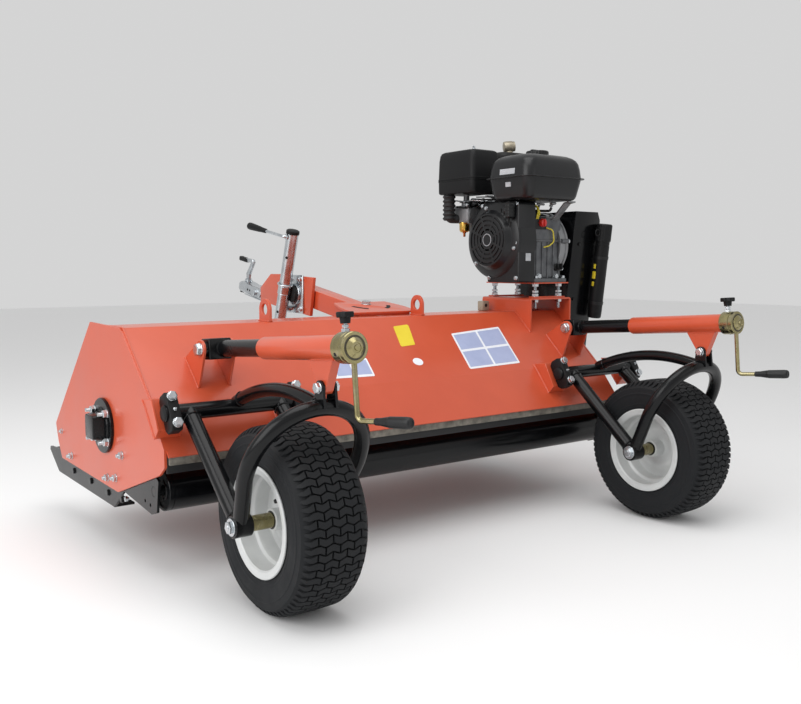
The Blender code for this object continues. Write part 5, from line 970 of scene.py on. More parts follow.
def makeArm(side, x):
    hoopTop, lug, tube, crossHalf = arm["hoopTop"], arm["lug"], arm["tube"], arm["crossHalf"]
    half = arm["half"]
    pivotY, pivotZ = arm["pivot"]
    pivot = at(x, pivotY, pivotZ)
    centre = at(x, 0, wheel["radius"])
    across = Vector((1, 0, 0))
    cross = lathed([(-crossHalf, 0.0085), (-crossHalf + 0.0016, 0.009), (-crossHalf + 0.0016, 0.0165),
        (-crossHalf, 0.0172), (-crossHalf + 0.0008, tube), (crossHalf - 0.0008, tube), (crossHalf, 0.0172),
        (crossHalf - 0.0016, 0.0165), (crossHalf - 0.0016, 0.009), (crossHalf, 0.0085)], pivot, across, 32)
    shapes = [cross]
    run = Vector((0, hoopTop[0], hoopTop[1] - wheel["radius"]))
    lift = run.normalized()
    hoop = [centre - across * half]
    steps = 40
    for i in range(steps + 1):
        turn = pi * i / steps
        reach = arm["bulgeAt"] + (run.length - arm["bulgeAt"]) * sin(turn) ** 0.85
        hoop.append(centre - across * arm["bulge"] * cos(turn) + lift * reach)
    hoop.append(centre + across * half)
    shapes.append(swept(hoop, arm["hoop"], 20))
    ends = ((pivotY - 0.006, pivotZ + 0.012), arm["crest"], hoopTop)
    topPath = [at(x, y, parabola(y, *ends)) for y in spreadOut(ends[0][0], hoopTop[0], 24)]
    shapes.append(swept(topPath, arm["topTube"], 20))
    shapes.append(ring(topPath[1] + Vector((0, -0.01, 0.004)), (0, -1, 0.25), arm["topTube"], 0.0024))
    shapes.append(ring(topPath[-2] + Vector((0, 0.004, 0)), (0, -1, -0.3), arm["topTube"], 0.0024))
    for way in (-1, 1):
        foot = centre + across * way * half
        head = pivot + across * way * half
        shapes.append(swept([head, foot], tube, 28))
        slope = (foot - head).normalized()
        shapes.append(ring(head + slope * (tube + 0.001), slope, tube, 0.0024, seed=3))
        shapes.append(ring(foot - slope * (arm["eye"] + 0.001), slope, tube, 0.0024, seed=4))
        eyeHalf, eye = arm["eyeHalf"], arm["eye"]
        shapes.append(turned([(-eyeHalf, 0.0106), (-eyeHalf, eye - 0.0012), (-eyeHalf + 0.0012, eye),
            (eyeHalf - 0.0012, eye), (eyeHalf, eye - 0.0012), (eyeHalf, 0.0106)], foot, across, 36))
        inner = arm["linkShift"] + way * (arm["tongue"] / 2 + 0.001)
        faces = sorted((x + inner, x + inner + way * arm["lugPlate"]))
        lugY, lugZ = lug
        outline = [(lugY - 0.02, hoopTop[1]), (lugY + 0.02, hoopTop[1])]
        outline += arc((lugY, lugZ), arm["lugRadius"], -10, 190, 18)
        shapes.append(prism(outline, "X", *faces, 0.0006, 1))
    pieceFrom(shapes, f"{side}SwingArm", "powderCoatBlack", f"{side}_arm", sharp=40)
    lugX = x + arm["linkShift"]
    pinHalf = arm["tongue"] / 2 + 0.001 + arm["lugPlate"]
    pin = rod(at(lugX - pinHalf, *lug), at(lugX + pinHalf, *lug), 0.006)
    heads = [hexBolt(at(lugX + way * pinHalf, *lug), (way, 0, 0), 0.0115) for way in (-1, 1)]
    pieceFrom([pin, *heads], f"{side}LugBolt", "brightZinc", f"{side}_arm", sharp=25)


# Arm bearings: bolts and a grease nipple on each block
bearing = {"dx": 0.157, "width": 0.026, "face": 0.0235, "tilt": radians(61.4), "boltAt": 0.031,
    "boltSize": 0.011}


def makeBearingBolts(side, x):
    along = Vector((0, cos(bearing["tilt"]), sin(bearing["tilt"])))
    out = Vector((0, -along.z, along.y))
    pivot = Vector((0, *arm["pivot"]))
    bolts = []
    for way in (-1, 1):
        for end in (-1, 1):
            place = pivot + along * end * bearing["boltAt"] + out * bearing["face"]
            bolts.append(((x + way * bearing["dx"], place.y, place.z), out, bearing["boltSize"]))
    fasteners(f"{side}BearingBolts", bolts)
    nipples = []
    for way in (-1, 1):
        place = pivot + out * bearing["face"]
        nipples.append(lathed([(-0.001, 0.004), (0.002, 0.004), (0.0025, 0.0024), (0.005, 0.0022),
            (0.006, 0.003), (0.008, 0.0022)], at(x + way * bearing["dx"], place.y, place.z), out, 12))
    pieceFrom(nipples, f"{side}GreaseNipples", "brightZinc", sharp=25)


# Height screw, on two plates welded to the deck's slope
def bracketOutline(nose, radius, low, high):
    # a rounded nose joined to the deck by two straight edges
    middle = Vector((*nose, 0))
    tangents = []
    for foot, way in ((low, 1), (high, -1)):
        run = Vector((*foot, 0)) - middle
        turn = way * acos(min(1.0, radius / run.length))
        base = atan2(run.y, run.x)
        tangents.append(base - turn)
    start, end = tangents[1], tangents[0]
    while end < start:
        end += tau
    rim = [(nose[0] + radius * cos(a), nose[1] + radius * sin(a)) for a in spreadOut(start, end, 20)]
    return [low, high] + rim


screw = {"pivot": (0.336, 0.533), "rise": radians(4.32), "inner": 0.02, "innerLength": 0.4, "leftIn": 0.047,
    "rightIn": 0.025, "plate": 0.006, "headHalf": (0.022, 0.025), "headSide": 0.007, "outer": 0.025,
    "outerStart": 0.219, "outerEnd": 0.535, "collar": 0.031, "collarLength": 0.027, "knobAt": 0.0105,
    "hub": 0.012, "rodAt": 0.006, "cone": 0.009, "rodRadius": 0.0055, "reach": 0.139,
    "sideLean": radians(1.0), "gripOffset": 0.045, "grip": 0.086, "gripRadius": 0.0115, "knob": 0.0172,
    "lobe": 0.0018, "tongueRear": -0.173, "tongueFront": -0.083}
screwAlong = Vector((0, -cos(screw["rise"]), sin(screw["rise"])))
screwUp = Vector((0, sin(screw["rise"]), cos(screw["rise"])))


def screwPoint(x, distance, height=0.0):
    return at(x, *screw["pivot"]) + screwAlong * distance + screwUp * height


def makeScrew(side, x):
    # inner tube with its cross tube and box head
    inner = screw["inner"]
    left, right, wide = -screw["leftIn"] + 0.0005, screw["rightIn"] - 0.0005, inner * 0.92
    pivot = screwPoint(x, 0)
    across = Vector((1, 0, 0))
    cross = turned([(left, 0.0084), (left, wide - 0.001), (left + 0.001, wide), (right - 0.001, wide),
        (right, wide - 0.001), (right, 0.0084)], pivot, across, 32)
    halfLong, halfTall = screw["headHalf"]
    corners = [screwPoint(0, a * halfLong, b * halfTall) - shift for a, b in ((-1, -1), (1, -1), (1, 1),
        (-1, 1))]
    head = prism([(c.y, c.z) for c in corners], "X", x + left + screw["headSide"],
        x + right - screw["headSide"], 0.003, 3)
    tube = rod(screwPoint(x, 0.004), screwPoint(x, screw["innerLength"]), inner, 32)
    weld = ring(screwPoint(x, halfLong + 0.0008), screwAlong, inner, 0.0022, seed=5)
    pieceFrom([cross, head, tube, weld], f"{side}InnerTube", "powderCoatBlack", f"{side}_link", sharp=35)
    faces = (x - screw["leftIn"] - screw["plate"], x + screw["rightIn"] + screw["plate"])
    heads = [((face, *screw["pivot"]), (way, 0, 0), 0.0155) for face, way in zip(faces, (-1, 1))]
    fasteners(f"{side}BracketBolt", heads)
    nose = screw["pivot"]
    low, high = (nose[0] + 0.013, rearZ(nose[0] + 0.013)), (nose[0] + 0.086, rearZ(nose[0] + 0.086))
    plates = []
    for face, way in zip(faces, (1, -1)):
        outline = bracketOutline(nose, 0.022, low, high)
        plates.append(prism(outline, "X", *sorted((face, face + way * screw["plate"])), 0.0008, 1))
        plates.append(weldBead([at(face - way * 0.0006, *low), at(face - way * 0.0006, *high)], 0.0022,
            8 + way))
    pieceFrom(plates, f"{side}LinkBracket", "powderCoatOrange")
    # outer tube with its tongue
    start, end, outer = screw["outerStart"], screw["outerEnd"], screw["outer"]
    sleeve = turned([(start, inner + 0.0006), (start, outer - 0.0045), (start + 0.003, outer - 0.0012),
        (start + 0.007, outer), (end, outer), (end, inner + 0.0006)], pivot, screwAlong, 40)
    axisLow = screw["pivot"][1] + (screw["pivot"][0] - screw["tongueFront"]) * tan(screw["rise"])
    axisLow -= outer * 0.93
    outline = [(screw["tongueFront"], axisLow), (screw["tongueRear"], axisLow + 0.007)]
    outline += arc(arm["lug"], arm["lugRadius"] - 0.001, 190, 350, 14)
    tongue = prism(outline, "X", x - arm["tongue"] / 2, x + arm["tongue"] / 2, 0.0008, 1)
    beads = [weldBead([screwPoint(x + way * arm["tongue"] / 2, d, -outer * 0.93)
        for d in (0.432, 0.47, 0.512)], 0.0022, 7 + way) for way in (-1, 1)]
    pieceFrom([sleeve, tongue, *beads], f"{side}OuterTube", "powderCoatOrange", f"{side}_sleeve", sharp=35)
    # plated collar with two spanner holes and the lock screw's boss
    collar, length = screw["collar"], screw["collarLength"]
    sleeveEnd = screwPoint(x, end)
    body = turned([(-0.0015, 0.0084), (-0.0015, collar - 0.004), (0, collar - 0.0006), (0.0008, collar),
        (length - 0.0012, collar), (length - 0.0003, collar - 0.001), (length - 0.0003, 0.0084)], sleeveEnd,
        screwAlong, 56)
    shapes = [body]
    # the holes are painted shade: flat black discs on the collar, not cut in
    for turn in (radians(112), radians(190), radians(250)):
        out = screwUp * cos(turn) - across * sin(turn)
        foot = screwPoint(x, end + length * 0.5) + out * (collar - 0.0005)
        shapes.append(withMaterial(lathed([(0, 0.004), (0.0008, 0.004), (0.0011, 0.0034), (0.0008, 0.0028)],
            foot, out, 20), 1))
    pieceFrom(shapes, f"{side}ScrewCollar", ["yellowZinc", "shadowBlack"], f"{side}_sleeve")
    # lock knob: plated stem with two nuts, and a six-lobed plastic head
    base = screwPoint(x, end + screw["knobAt"], collar)
    knobShapes = [withMaterial(lathed(profile, base, screwUp, sides), 1) for profile,
        sides in (([(-0.008, 0.004), (0.016, 0.004)], 20),
        ([(-0.0008, 0.0088), (0.0052, 0.0088), (0.006, 0.0076)], 6),
        ([(0.0078, 0.0072), (0.0126, 0.0072), (0.0134, 0.0062)], 6))]
    knobShapes.append(lathed([(0.015, 0.0088), (0.016, 0.0098), (0.0275, 0.0112)], base, screwUp, 28))
    rings = [(height, lambda i, scale=scale: (screw["knob"] + screw["lobe"] * cos(tau * i / 12)) * scale)
        for height, scale in ((0.0269, 0.9), (0.0283, 0.98), (0.0358, 1.0), (0.0374, 0.95), (0.038, 0.86))]
    knobShapes.append(ribbed(rings, base, screwUp, 72))
    pieceFrom(knobShapes, f"{side}LockKnob", ["polypropyleneBlack", "brightZinc"], f"{side}_lock_knob",
        slotName="black_plastic")
    # crank: plated disc with a milled face, rod and turning grip
    hubStart = end + length + 0.0004
    hubEnd = hubStart + screw["hub"]
    hub, cone, hubFace = screw["hub"], screw["cone"], screwPoint(x, hubEnd)
    disc = lathed([(-hub, collar - 0.001), (-hub + 0.001, collar), (-0.0015, collar), (0, collar - 0.0015),
        (0, collar * 0.8)], hubFace, screwAlong, 56)
    face = turned([(-0.001, 0), (-0.001, collar * 0.8), (0.0004, collar * 0.78), (0.0004, collar * 0.66),
        (-0.0008, 0)], hubFace, screwAlong, 56)
    point = lathed([(0, collar * 0.66), (0.0014, collar * 0.65), (cone - 0.0008, collar * 0.4),
        (cone - 0.0008, collar * 0.3), (cone - 0.002, collar * 0.28), (cone - 0.002, 0.006),
        (cone, 0.0052)], hubFace, screwAlong, 48)
    down = -screwUp * cos(screw["sideLean"]) + across * sin(screw["sideLean"])
    root = screwPoint(x, hubStart + screw["rodAt"])
    elbow = root + down * screw["reach"]
    handle = (screwAlong + across * 0.25).normalized()
    gripStart = elbow + handle * screw["gripOffset"]
    path = roundedPath([root + down * collar * 0.8, elbow, gripStart + handle * 0.01], 0.012)
    bar = swept(path, screw["rodRadius"], 18)
    radius, grip = screw["gripRadius"], screw["grip"]
    gripShare = [(0, 0.55), (0.0012 / grip, 0.62), (0.16, 0.66), (0.36, 0.88), (0.4, 0.9), (0.41, 0.95),
        (0.86, 1.0), (0.95, 0.95), (0.985, 0.84), (1, 0.7), (1, 0.45), (1 - 0.001 / grip, 0.42)]
    handgrip = lathed([(grip * a, radius * r) for a, r in gripShare], gripStart, handle, 36)
    crankShapes = [disc, withMaterial(face, 1), point, bar, withMaterial(handgrip, 2)]
    pieceFrom(crankShapes, f"{side}Crank", ["yellowZinc", "darkMilledSteel", "absBlack"], f"{side}_crank")


for sideName, wheelX in (("left", -wheel["x"]), ("right", wheel["x"])):
    makeTyre(sideName, wheelX)
    makeRim(sideName, wheelX)
    makeAxle(sideName, wheelX)
    makeArm(sideName, wheelX)
    makeBearingBolts(sideName, wheelX)
    makeScrew(sideName, wheelX + arm["linkShift"])
print("wheels, arms and height screws made")


# Engine: crankcase, finned cylinder and side cover
engine = {"crankY": 0.535, "crankZ": 0.808, "plateTop": 0.6753, "left": 0.522, "right": 0.664,
    "rear": 0.438, "front": 0.628, "top": 0.888, "coverZ": 0.794, "coverRadius": 0.112, "coverEnd": 0.694,
    "bossEnd": 0.7142, "tilt": radians(25), "reach": 0.262, "half": 0.062}


def tilted(shape):
    # from the crankshaft's own lines, with Y along the cylinder, to the cylinder's tilt
    return spun(shape, (0, engine["crankY"], engine["crankZ"]), engine["tilt"], "X")


def makeCrankcase():
    left, right, rear, front, low = (engine["left"], engine["right"], engine["rear"], engine["front"],
        engine["plateTop"])
    body = block((left, rear, low + 0.006), (right, front, engine["top"]), 0.016, 4)
    foot = block((left + 0.008, rear - 0.008, low), (right + 0.014, front + 0.012, low + 0.013), 0.003, 2)
    shapes = [body, foot]
    for x in spreadOut(left + 0.022, right - 0.018, 5):
        shapes.append(block((x - 0.002, rear - 0.0035, low + 0.01), (x + 0.002, rear + 0.01, low + 0.13),
            0.001, 1))
    shapes.append(block((left + 0.012, rear - 0.004, low + 0.13), (right - 0.008, rear + 0.01, low + 0.137),
        0.0015, 1))
    centre = at(0, engine["crankY"], engine["coverZ"])
    radius, end = engine["coverRadius"], engine["coverEnd"]
    cover = lathed([(right - 0.02, radius - 0.004), (right + 0.004, radius - 0.003),
        (right + 0.0045, radius), (right + 0.011, radius), (right + 0.0115, radius - 0.004),
        (end - 0.012, radius - 0.006), (end - 0.004, radius - 0.012), (end, radius - 0.024), (end, 0.048),
        (end + 0.004, 0.044), (end + 0.006, 0.041), (engine["bossEnd"] - 0.002, 0.0395),
        (engine["bossEnd"], 0.0375)], centre, (1, 0, 0), 64)
    shapes.append(withMaterial(cover, 2))
    for i in range(7):
        a = tau * (i + 0.35) / 7
        y = engine["crankY"] + (radius - 0.004) * cos(a)
        z = engine["coverZ"] + (radius - 0.004) * sin(a)
        shapes.append(lathed([(right - 0.016, 0.0075), (right + 0.013, 0.0082), (right + 0.0135, 0.0076)],
            at(0, y, z), (1, 0, 0), 20))
    for i in range(9):
        along = 0.086 + i * 0.0125
        grow = 0.004 * (i % 2)
        fin = block((left + 0.005 - grow / 2, along, -engine["half"] - grow / 2),
            (right - 0.005, along + 0.0026, engine["half"] - 0.0004), 0.0008, 1)
        shapes.append(tilted(fin))
    shapes.append(tilted(block((left + 0.02, 0.05, -0.046), (right - 0.02, 0.205, 0.046), 0.01, 2)))
    shapes.append(tilted(block((left + 0.008, 0.198, -0.058), (right - 0.008, 0.222, 0.058), 0.006, 2)))
    shapes.append(tilted(block((left + 0.014, 0.222, -0.05), (right - 0.014, engine["reach"], 0.05), 0.008,
        3)))
    for way in (-1, 1):
        shapes.append(tilted(block((left + 0.02, 0.224, way * 0.03 - 0.002),
            (right - 0.02, engine["reach"] + 0.0002, way * 0.03 + 0.002), 0.001, 1)))
    strap = prism([(0.452, 0.862), (0.458, 0.862), (0.386, 0.93), (0.362, 0.9332), (0.362, 0.9285),
        (0.382, 0.926)], "X", 0.612, 0.642, 0.0008, 1)
    shapes.append(withMaterial(strap, 2))
    shapes.append(withMaterial(block((0.552, 0.52, 0.88), (0.624, 0.546, 0.9332), 0.002, 1), 1))
    pieceFrom(shapes, "crankcase", ["crankcaseGrey", "engineEnamelBlack", "castAluminium"],
        slotName="cast_aluminium")
    bolts = []
    for i in range(7):
        a = tau * (i + 0.35) / 7
        bolts.append(((right + 0.0133, engine["crankY"] + (radius - 0.004) * cos(a),
            engine["coverZ"] + (radius - 0.004) * sin(a)), (1, 0, 0), 0.007, 0.9))
    bolts += [((x, rear - 0.0002, low + 0.02), (0, -1, 0), 0.0085, 0.7)
        for x in (left + 0.034, right - 0.03)]
    bolts += [((x, y, low + 0.0132), (0, 0, 1), 0.008, 0.9) for x in (left + 0.02, right + 0.002)
        for y in (rear - 0.001, front + 0.003)]
    fasteners("crankcaseBolts", bolts)
    filler = lathed([(0, 0.0125), (0.006, 0.0125), (0.008, 0.0105), (0.02, 0.0098), (0.021, 0.0088)],
        at(right - 0.028, rear + 0.001, low + 0.048), (0, -1, 0.15), 24)
    grip = block((right - 0.03, rear - 0.03, low + 0.0415), (right - 0.026, rear - 0.018, low + 0.061),
        0.0015, 1)
    pieceFrom([filler, grip], "oilFiller", "absBlack")


# Blower housing with its starter cover: ring slots, eight spokes and a blank round badge
blower = {"left": 0.42, "radius": 0.124, "shoulder": 0.446, "right": 0.5175, "rear": 0.417,
    "centreZ": 0.811}


def makeBlower():
    left, right, y, z = blower["left"], blower["right"], engine["crankY"], blower["centreZ"]
    face, toRight, shoulderX = at(left, y, z), (1, 0, 0), blower["shoulder"]
    # painted shade: the recess floor behind the ring slots is a flat black disc
    shapes = [lathed([(0.004, 0.077), (0.0002, 0.0782), (0, 0.08), (0.0004, 0.0835), (0.006, 0.088),
        (0.016, 0.0925), (0.019, 0.096), (0.0215, 0.11), (0.026, 0.1195), (0.033, 0.124),
        (right - left, 0.124)], face, toRight, 96),
        withMaterial(lathed([(0.003, 0.0768), (0.0042, 0.0768)], face, toRight, 64), 1)]
    for inner, outer in ((0.0215, 0.03), (0.035, 0.044), (0.049, 0.0585), (0.064, 0.0735)):
        shapes.append(turned([(0.0005, inner), (0, inner + 0.0006), (0, outer - 0.0006), (0.0005, outer),
            (0.0034, outer), (0.0034, inner)], face, toRight, 72))
    for i in range(8):
        a = tau * (i + 0.5) / 8
        out = Vector((0, cos(a), sin(a)))
        side = Vector((0, -sin(a), cos(a)))
        corners = [out * 0.02 - side * 0.0032, out * 0.0785 - side * 0.0042, out * 0.0785 + side * 0.0042,
            out * 0.02 + side * 0.0032]
        shapes.append(prism([(y + c.y, z + c.z) for c in corners], "X", left - 0.0002, left + 0.0034,
            0.0006, 1))
    shapes.append(lathed([(-0.0006, 0.0212), (0, 0.0222), (0.003, 0.0222)], face, toRight, 48))
    badge = turned([(-0.0011, 0.0178), (-0.0011, 0.0196), (-0.0004, 0.0196), (-0.0004, 0.0178)], face,
        toRight, 48)
    shapes.append(withMaterial(badge, 2))
    shapes.append(loft([[(x, a, b) for a, b in roundedRect((0.417 + inset, 0.788),
        (0.597 - inset, 0.932 - inset), 0.014)] for x,
        inset in ((shoulderX, 0.006), (shoulderX + 0.002, 0.002), (shoulderX + 0.006, 0.0), (right, 0.0))]))
    shapes.append(loft([[(x, a, b) for a, b in roundedRect((0.4175 + inset, 0.6757), (0.565 - inset, 0.806),
        0.006)] for x, inset in ((shoulderX + 0.002, 0.005), (shoulderX + 0.004, 0.0015),
        (shoulderX + 0.008, 0.0), (right, 0.0))]))
    # painted shade: the five vent slots are flat black blocks, not cut in
    for i in range(5):
        a = radians(-64 + i * 9)
        place = (y + 0.099 * cos(a + pi), z - 0.099 * sin(a))
        shapes.append(withMaterial(block((left + 0.0175, place[0] - 0.0022, place[1] - 0.009),
            (left + 0.0215, place[0] + 0.0022, place[1] + 0.009), 0.0006, 1), 1))
    shapes.append(withMaterial(block((0.478, 0.4168, 0.744), (0.5, 0.419, 0.768), 0.0004, 1), 2))
    pieceFrom(shapes, "blowerHousing", ["engineEnamelBlack", "shadowBlack", "greyPrint"],
        stands="fan_housing", slotName="black_plastic")
    bolts = [((shoulderX + 0.0012, a, b), (-1, 0, 0), 0.0065, 0.7) for a,
        b in ((0.428, 0.922), (0.586, 0.922), (0.428, 0.69), (0.552, 0.69), (0.428, 0.8))]
    for turn in (75, 195, 315):
        a = radians(turn)
        bolts.append(((left + 0.0205, y + 0.106 * cos(a), z + 0.106 * sin(a)), (-1, 0, 0), 0.006, 0.7))
    fasteners("blowerBolts", bolts)


def makeRecoilGrip():
    # a moulded T grip with finger ribs and the cord's end
    y = 0.44
    low, high = 0.876, 0.929
    loops = []
    count = 21
    for i in range(count):
        share = i / (count - 1)
        z = low + (high - low) * share
        rib = 0.0012 * (1 + cos(tau * 5 * share)) / 2
        ends = min(1.0, 6 * min(share, 1 - share) + 0.55)
        deep, wide = 0.015 * ends - rib, 0.0105 * ends - rib * 0.7
        loops.append([(0.4285 + a, y + b, z) for a, b in roundedRect((-deep, -wide), (deep, wide),
            0.0045 * ends, 4)])
    pieceFrom(loft(loops), "recoilGrip", "absBlack", "recoil_grip", sharp=40)
    # the cord is wound up inside and comes out of its guide as the grip is pulled; only a short fixed end
    # is made here, not tied to the grip
    eye = (0.4285, 0.462, 0.9025)
    guide = block((0.4225, 0.456, 0.8955), (0.447, 0.468, 0.9095), 0.0025, 3)
    pieceFrom(guide, "cordGuide", "engineEnamelBlack", sharp=40, slotName="black_plastic")
    cord = turned([(0, 0)] + [(0.001 * i, 0.0022) for i in range(16)] + [(0.015, 0)], at(*eye), (0, -1, 0),
        12)
    cordPiece = pieceFrom(cord, "starterCord", "rubberSheet", None, sharp=40, slotName="black_plastic")
    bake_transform(cordPiece)


# Fuel tank: two pressed shells crimped at a lip, with a cap
tank = {"low": (0.405, 0.335), "high": (0.66, 0.534), "bottom": 0.9337, "seam": 1.0009, "top": 1.0738,
    "cap": (0.535, 0.43), "capRadius": 0.036}


def makeTank():
    top, bottom, seam = tank["top"], tank["bottom"], tank["seam"]
    lower = stacked(tank, ((bottom, 0.03, 0.02), (bottom + 0.0018, 0.022, 0.024),
        (bottom + 0.007, 0.0165, 0.027), (bottom + 0.014, 0.0135, 0.029), (bottom + 0.04, 0.0075, 0.032),
        (seam - 0.006, 0.003, 0.034), (seam + 0.001, 0.0022, 0.034)), 8)
    upper = stacked(tank, ((seam - 0.001, 0.0022, 0.034), (seam + 0.006, 0.0026, 0.034),
        (seam + 0.028, 0.005, 0.034), (seam + 0.046, 0.0082, 0.035), (seam + 0.056, 0.013, 0.036),
        (seam + 0.0635, 0.021, 0.036), (seam + 0.069, 0.032, 0.036), (top - 0.001, 0.044, 0.032),
        (top, 0.054, 0.028)), 8)
    lip = stacked(tank, ((seam - 0.0016, -0.006, 0.038), (seam - 0.0008, -0.007, 0.039),
        (seam + 0.0008, -0.007, 0.039), (seam + 0.0016, -0.006, 0.038)), 8)
    neck = lathed([(-0.004, 0.03), (0.0004, 0.029)], at(*tank["cap"], top), (0, 0, 1), 40)
    pieceFrom([lower, upper, lip, neck], "fuelTank", "engineEnamelBlack", sharp=32, slotName="black_paint")
    rings = [(height, lambda i, scale=scale, grip=grip: tank["capRadius"] * scale - (0.0012 if i % 4 < 2
        else 0.0) * grip) for height, scale, grip in ((0.0006, 0.97, 1), (0.0016, 1.0, 1),
        (0.0115, 0.99, 1), (0.0135, 0.96, 0.6), (0.015, 0.9, 0), (0.0156, 0.8, 0))]
    cap = ribbed(rings, at(*tank["cap"], top), Vector((0, 0, 1)), 96)
    bar = block((tank["cap"][0] - 0.026, tank["cap"][1] - 0.005, top + 0.015),
        (tank["cap"][0] + 0.026, tank["cap"][1] + 0.005, top + 0.019), 0.0016, 2)
    pieceFrom([cap, bar], "fuelCap", "absBlack", "fuel_cap")
    labels = []
    for y0, y1, z0, z1, deep0, deep1 in ((0.4, 0.466, 1.01, 1.027, 0.0035, 0.005),
            (0.418, 0.441, 0.972, 0.986, 0.0058, 0.0047)):
        labels.append(loft([[(0.405 + deep - lift, y, z) for y, z,
            deep in ((y0, z0, deep0), (y1, z0, deep0), (y1, z1, deep1), (y0, z1, deep1))]
            for lift in (-0.001, 0.0008)]))
    pieceFrom(labels, "tankLabels", "greyPrint", sharp=35, slotName="black_paint")


# Air filter box, ribbed intake hose and carburettor
filterBox = {"low": (0.4, 0.585, 0.966), "high": (0.53, 0.77, 1.106), "split": 1.012,
    "hose": (0.426, 0.732), "hoseLength": 0.086}


def makeFilter():
    low, split, top = filterBox["low"][2], filterBox["split"], filterBox["high"][2]
    base = stacked(filterBox, [(z, inset, 0.017) for z, inset in ((low, 0.006), (low + 0.002, 0.003),
        (low + 0.006, 0.0016), (split - 0.005, 0.0012), (split - 0.0045, 0.0), (split - 0.0012, 0.0),
        (split - 0.0006, 0.0015))], 6)
    lid = stacked(filterBox, ((split - 0.001, 0.0018, 0.017), (split, 0.0004, 0.017),
        (split + 0.004, 0.0002, 0.017), (split + 0.005, 0.0012, 0.017), (top - 0.03, 0.0024, 0.018),
        (top - 0.012, 0.0044, 0.019), (top - 0.0045, 0.0078, 0.02), (top - 0.001, 0.013, 0.022),
        (top, 0.02, 0.022)), 6)
    shapes = [base, lid]
    for i in range(5):
        y = 0.612 + i * 0.033
        shapes.append(block((0.424, y - 0.0018, top - 0.0006), (0.506, y + 0.0018, top + 0.0012), 0.0007,
            1))
    profile = [(-0.012, 0), (-0.012, 0.018)]
    steps = 6
    pitch = filterBox["hoseLength"] / steps
    for i in range(steps):
        for share, swell in ((0.1, 0.0), (0.25, 0.3), (0.4, 0.9), (0.55, 1.0), (0.7, 0.8), (0.88, 0.15)):
            profile.append(((i + share) * pitch, 0.0178 + 0.0042 * swell))
    profile += [(filterBox["hoseLength"], 0.0178), (filterBox["hoseLength"], 0)]
    shapes.append(withMaterial(turned(profile, at(*filterBox["hose"], low), (0, 0, -1), 36), 1))
    elbow = roundedPath([at(0.426, 0.732, 0.9), at(0.426, 0.732, 0.886), at(0.458, 0.722, 0.886)], 0.01, 6)
    shapes.append(withMaterial(swept(elbow, 0.015, 28), 1))
    body = block((0.452, 0.668, 0.872), (0.498, 0.738, 0.93), 0.006, 3)
    throat = rod(at(0.475, 0.742, 0.9), at(0.475, 0.66, 0.9), 0.022, 32)
    topCap = lathed([(0, 0.017), (0.012, 0.0165), (0.014, 0.013), (0.02, 0.01), (0.038, 0.01)],
        at(0.475, 0.7, 0.929), (0, 0, 1), 28)
    flange = block((0.45, 0.6615, 0.868), (0.5, 0.6665, 0.934), 0.004, 2)
    intake = rod(at(0.498, 0.698, 0.885), at(0.5275, 0.698, 0.885), 0.0155, 24)
    shapes += [withMaterial(s, 2) for s in (body, throat, topCap, flange, intake)]
    bowl = lathed([(0, 0.0185), (0.004, 0.019), (0.006, 0.0172), (0.026, 0.0168), (0.03, 0.015),
        (0.033, 0.011)], at(0.47, 0.704, 0.874), (0, 0, -1), 36)
    drain = lathed([(0.0325, 0.0062), (0.036, 0.0062), (0.0365, 0.004), (0.047, 0.004), (0.048, 0.003)],
        at(0.47, 0.704, 0.874), (0, 0, -1), 12)
    shapes += [withMaterial(bowl, 3), withMaterial(drain, 4)]
    pieceFrom(shapes, "airFilter", ["polypropyleneBlack", "rubberSheet", "castAluminium", "drawnBrass",
        "turnedCopper"], slotName="black_plastic")
    nuts = []
    for x, y in ((0.438, 0.622), (0.492, 0.716)):
        stem = lathed([(0, 0.0085), (0.0012, 0.0085), (0.0016, 0.0055), (0.007, 0.0045), (0.012, 0.003)],
            at(x, y, top), (0, 0, 1), 20)
        nuts.append(stem)
        for way in (-1, 1):
            wing = prism([(0.003, 0.003), (0.013, 0.0085), (0.0135, 0.012), (0.011, 0.013), (0.003, 0.008)],
                "X", -0.0012, 0.0012, 0.0004, 1)
            nuts.append(spun(wing, (x, y, top), radians(35 + 90 * way), "Z"))
    pieceFrom(nuts, "filterWingNuts", "brightZinc")
    levers = [prism([(0.676, 0.9385), (0.735, 0.946), (0.737, 0.95), (0.674, 0.943)], "X", 0.4445, 0.446,
        0.0004, 1), rod(at(0.444, 0.68, 0.9405), at(0.456, 0.68, 0.9405), 0.003, 14),
        rod(at(0.4435, 0.733, 0.948), at(0.449, 0.733, 0.948), 0.0036, 14),
        swept(roundedPath([at(0.446, 0.676, 0.9405), at(0.448, 0.64, 0.944), at(0.47, 0.59, 0.94)], 0.01,
        5), 0.0013, 10)]
    pieceFrom(levers, "carburettorLevers", "brightZinc")


# Exhaust: pressed box with a louvred heat guard and a capped outlet
muffler = {"low": (0.545, 0.595, 0.976), "high": (0.676, 0.76, 1.108), "outlet": (0.6, 0.628),
    "outletTop": 1.147}


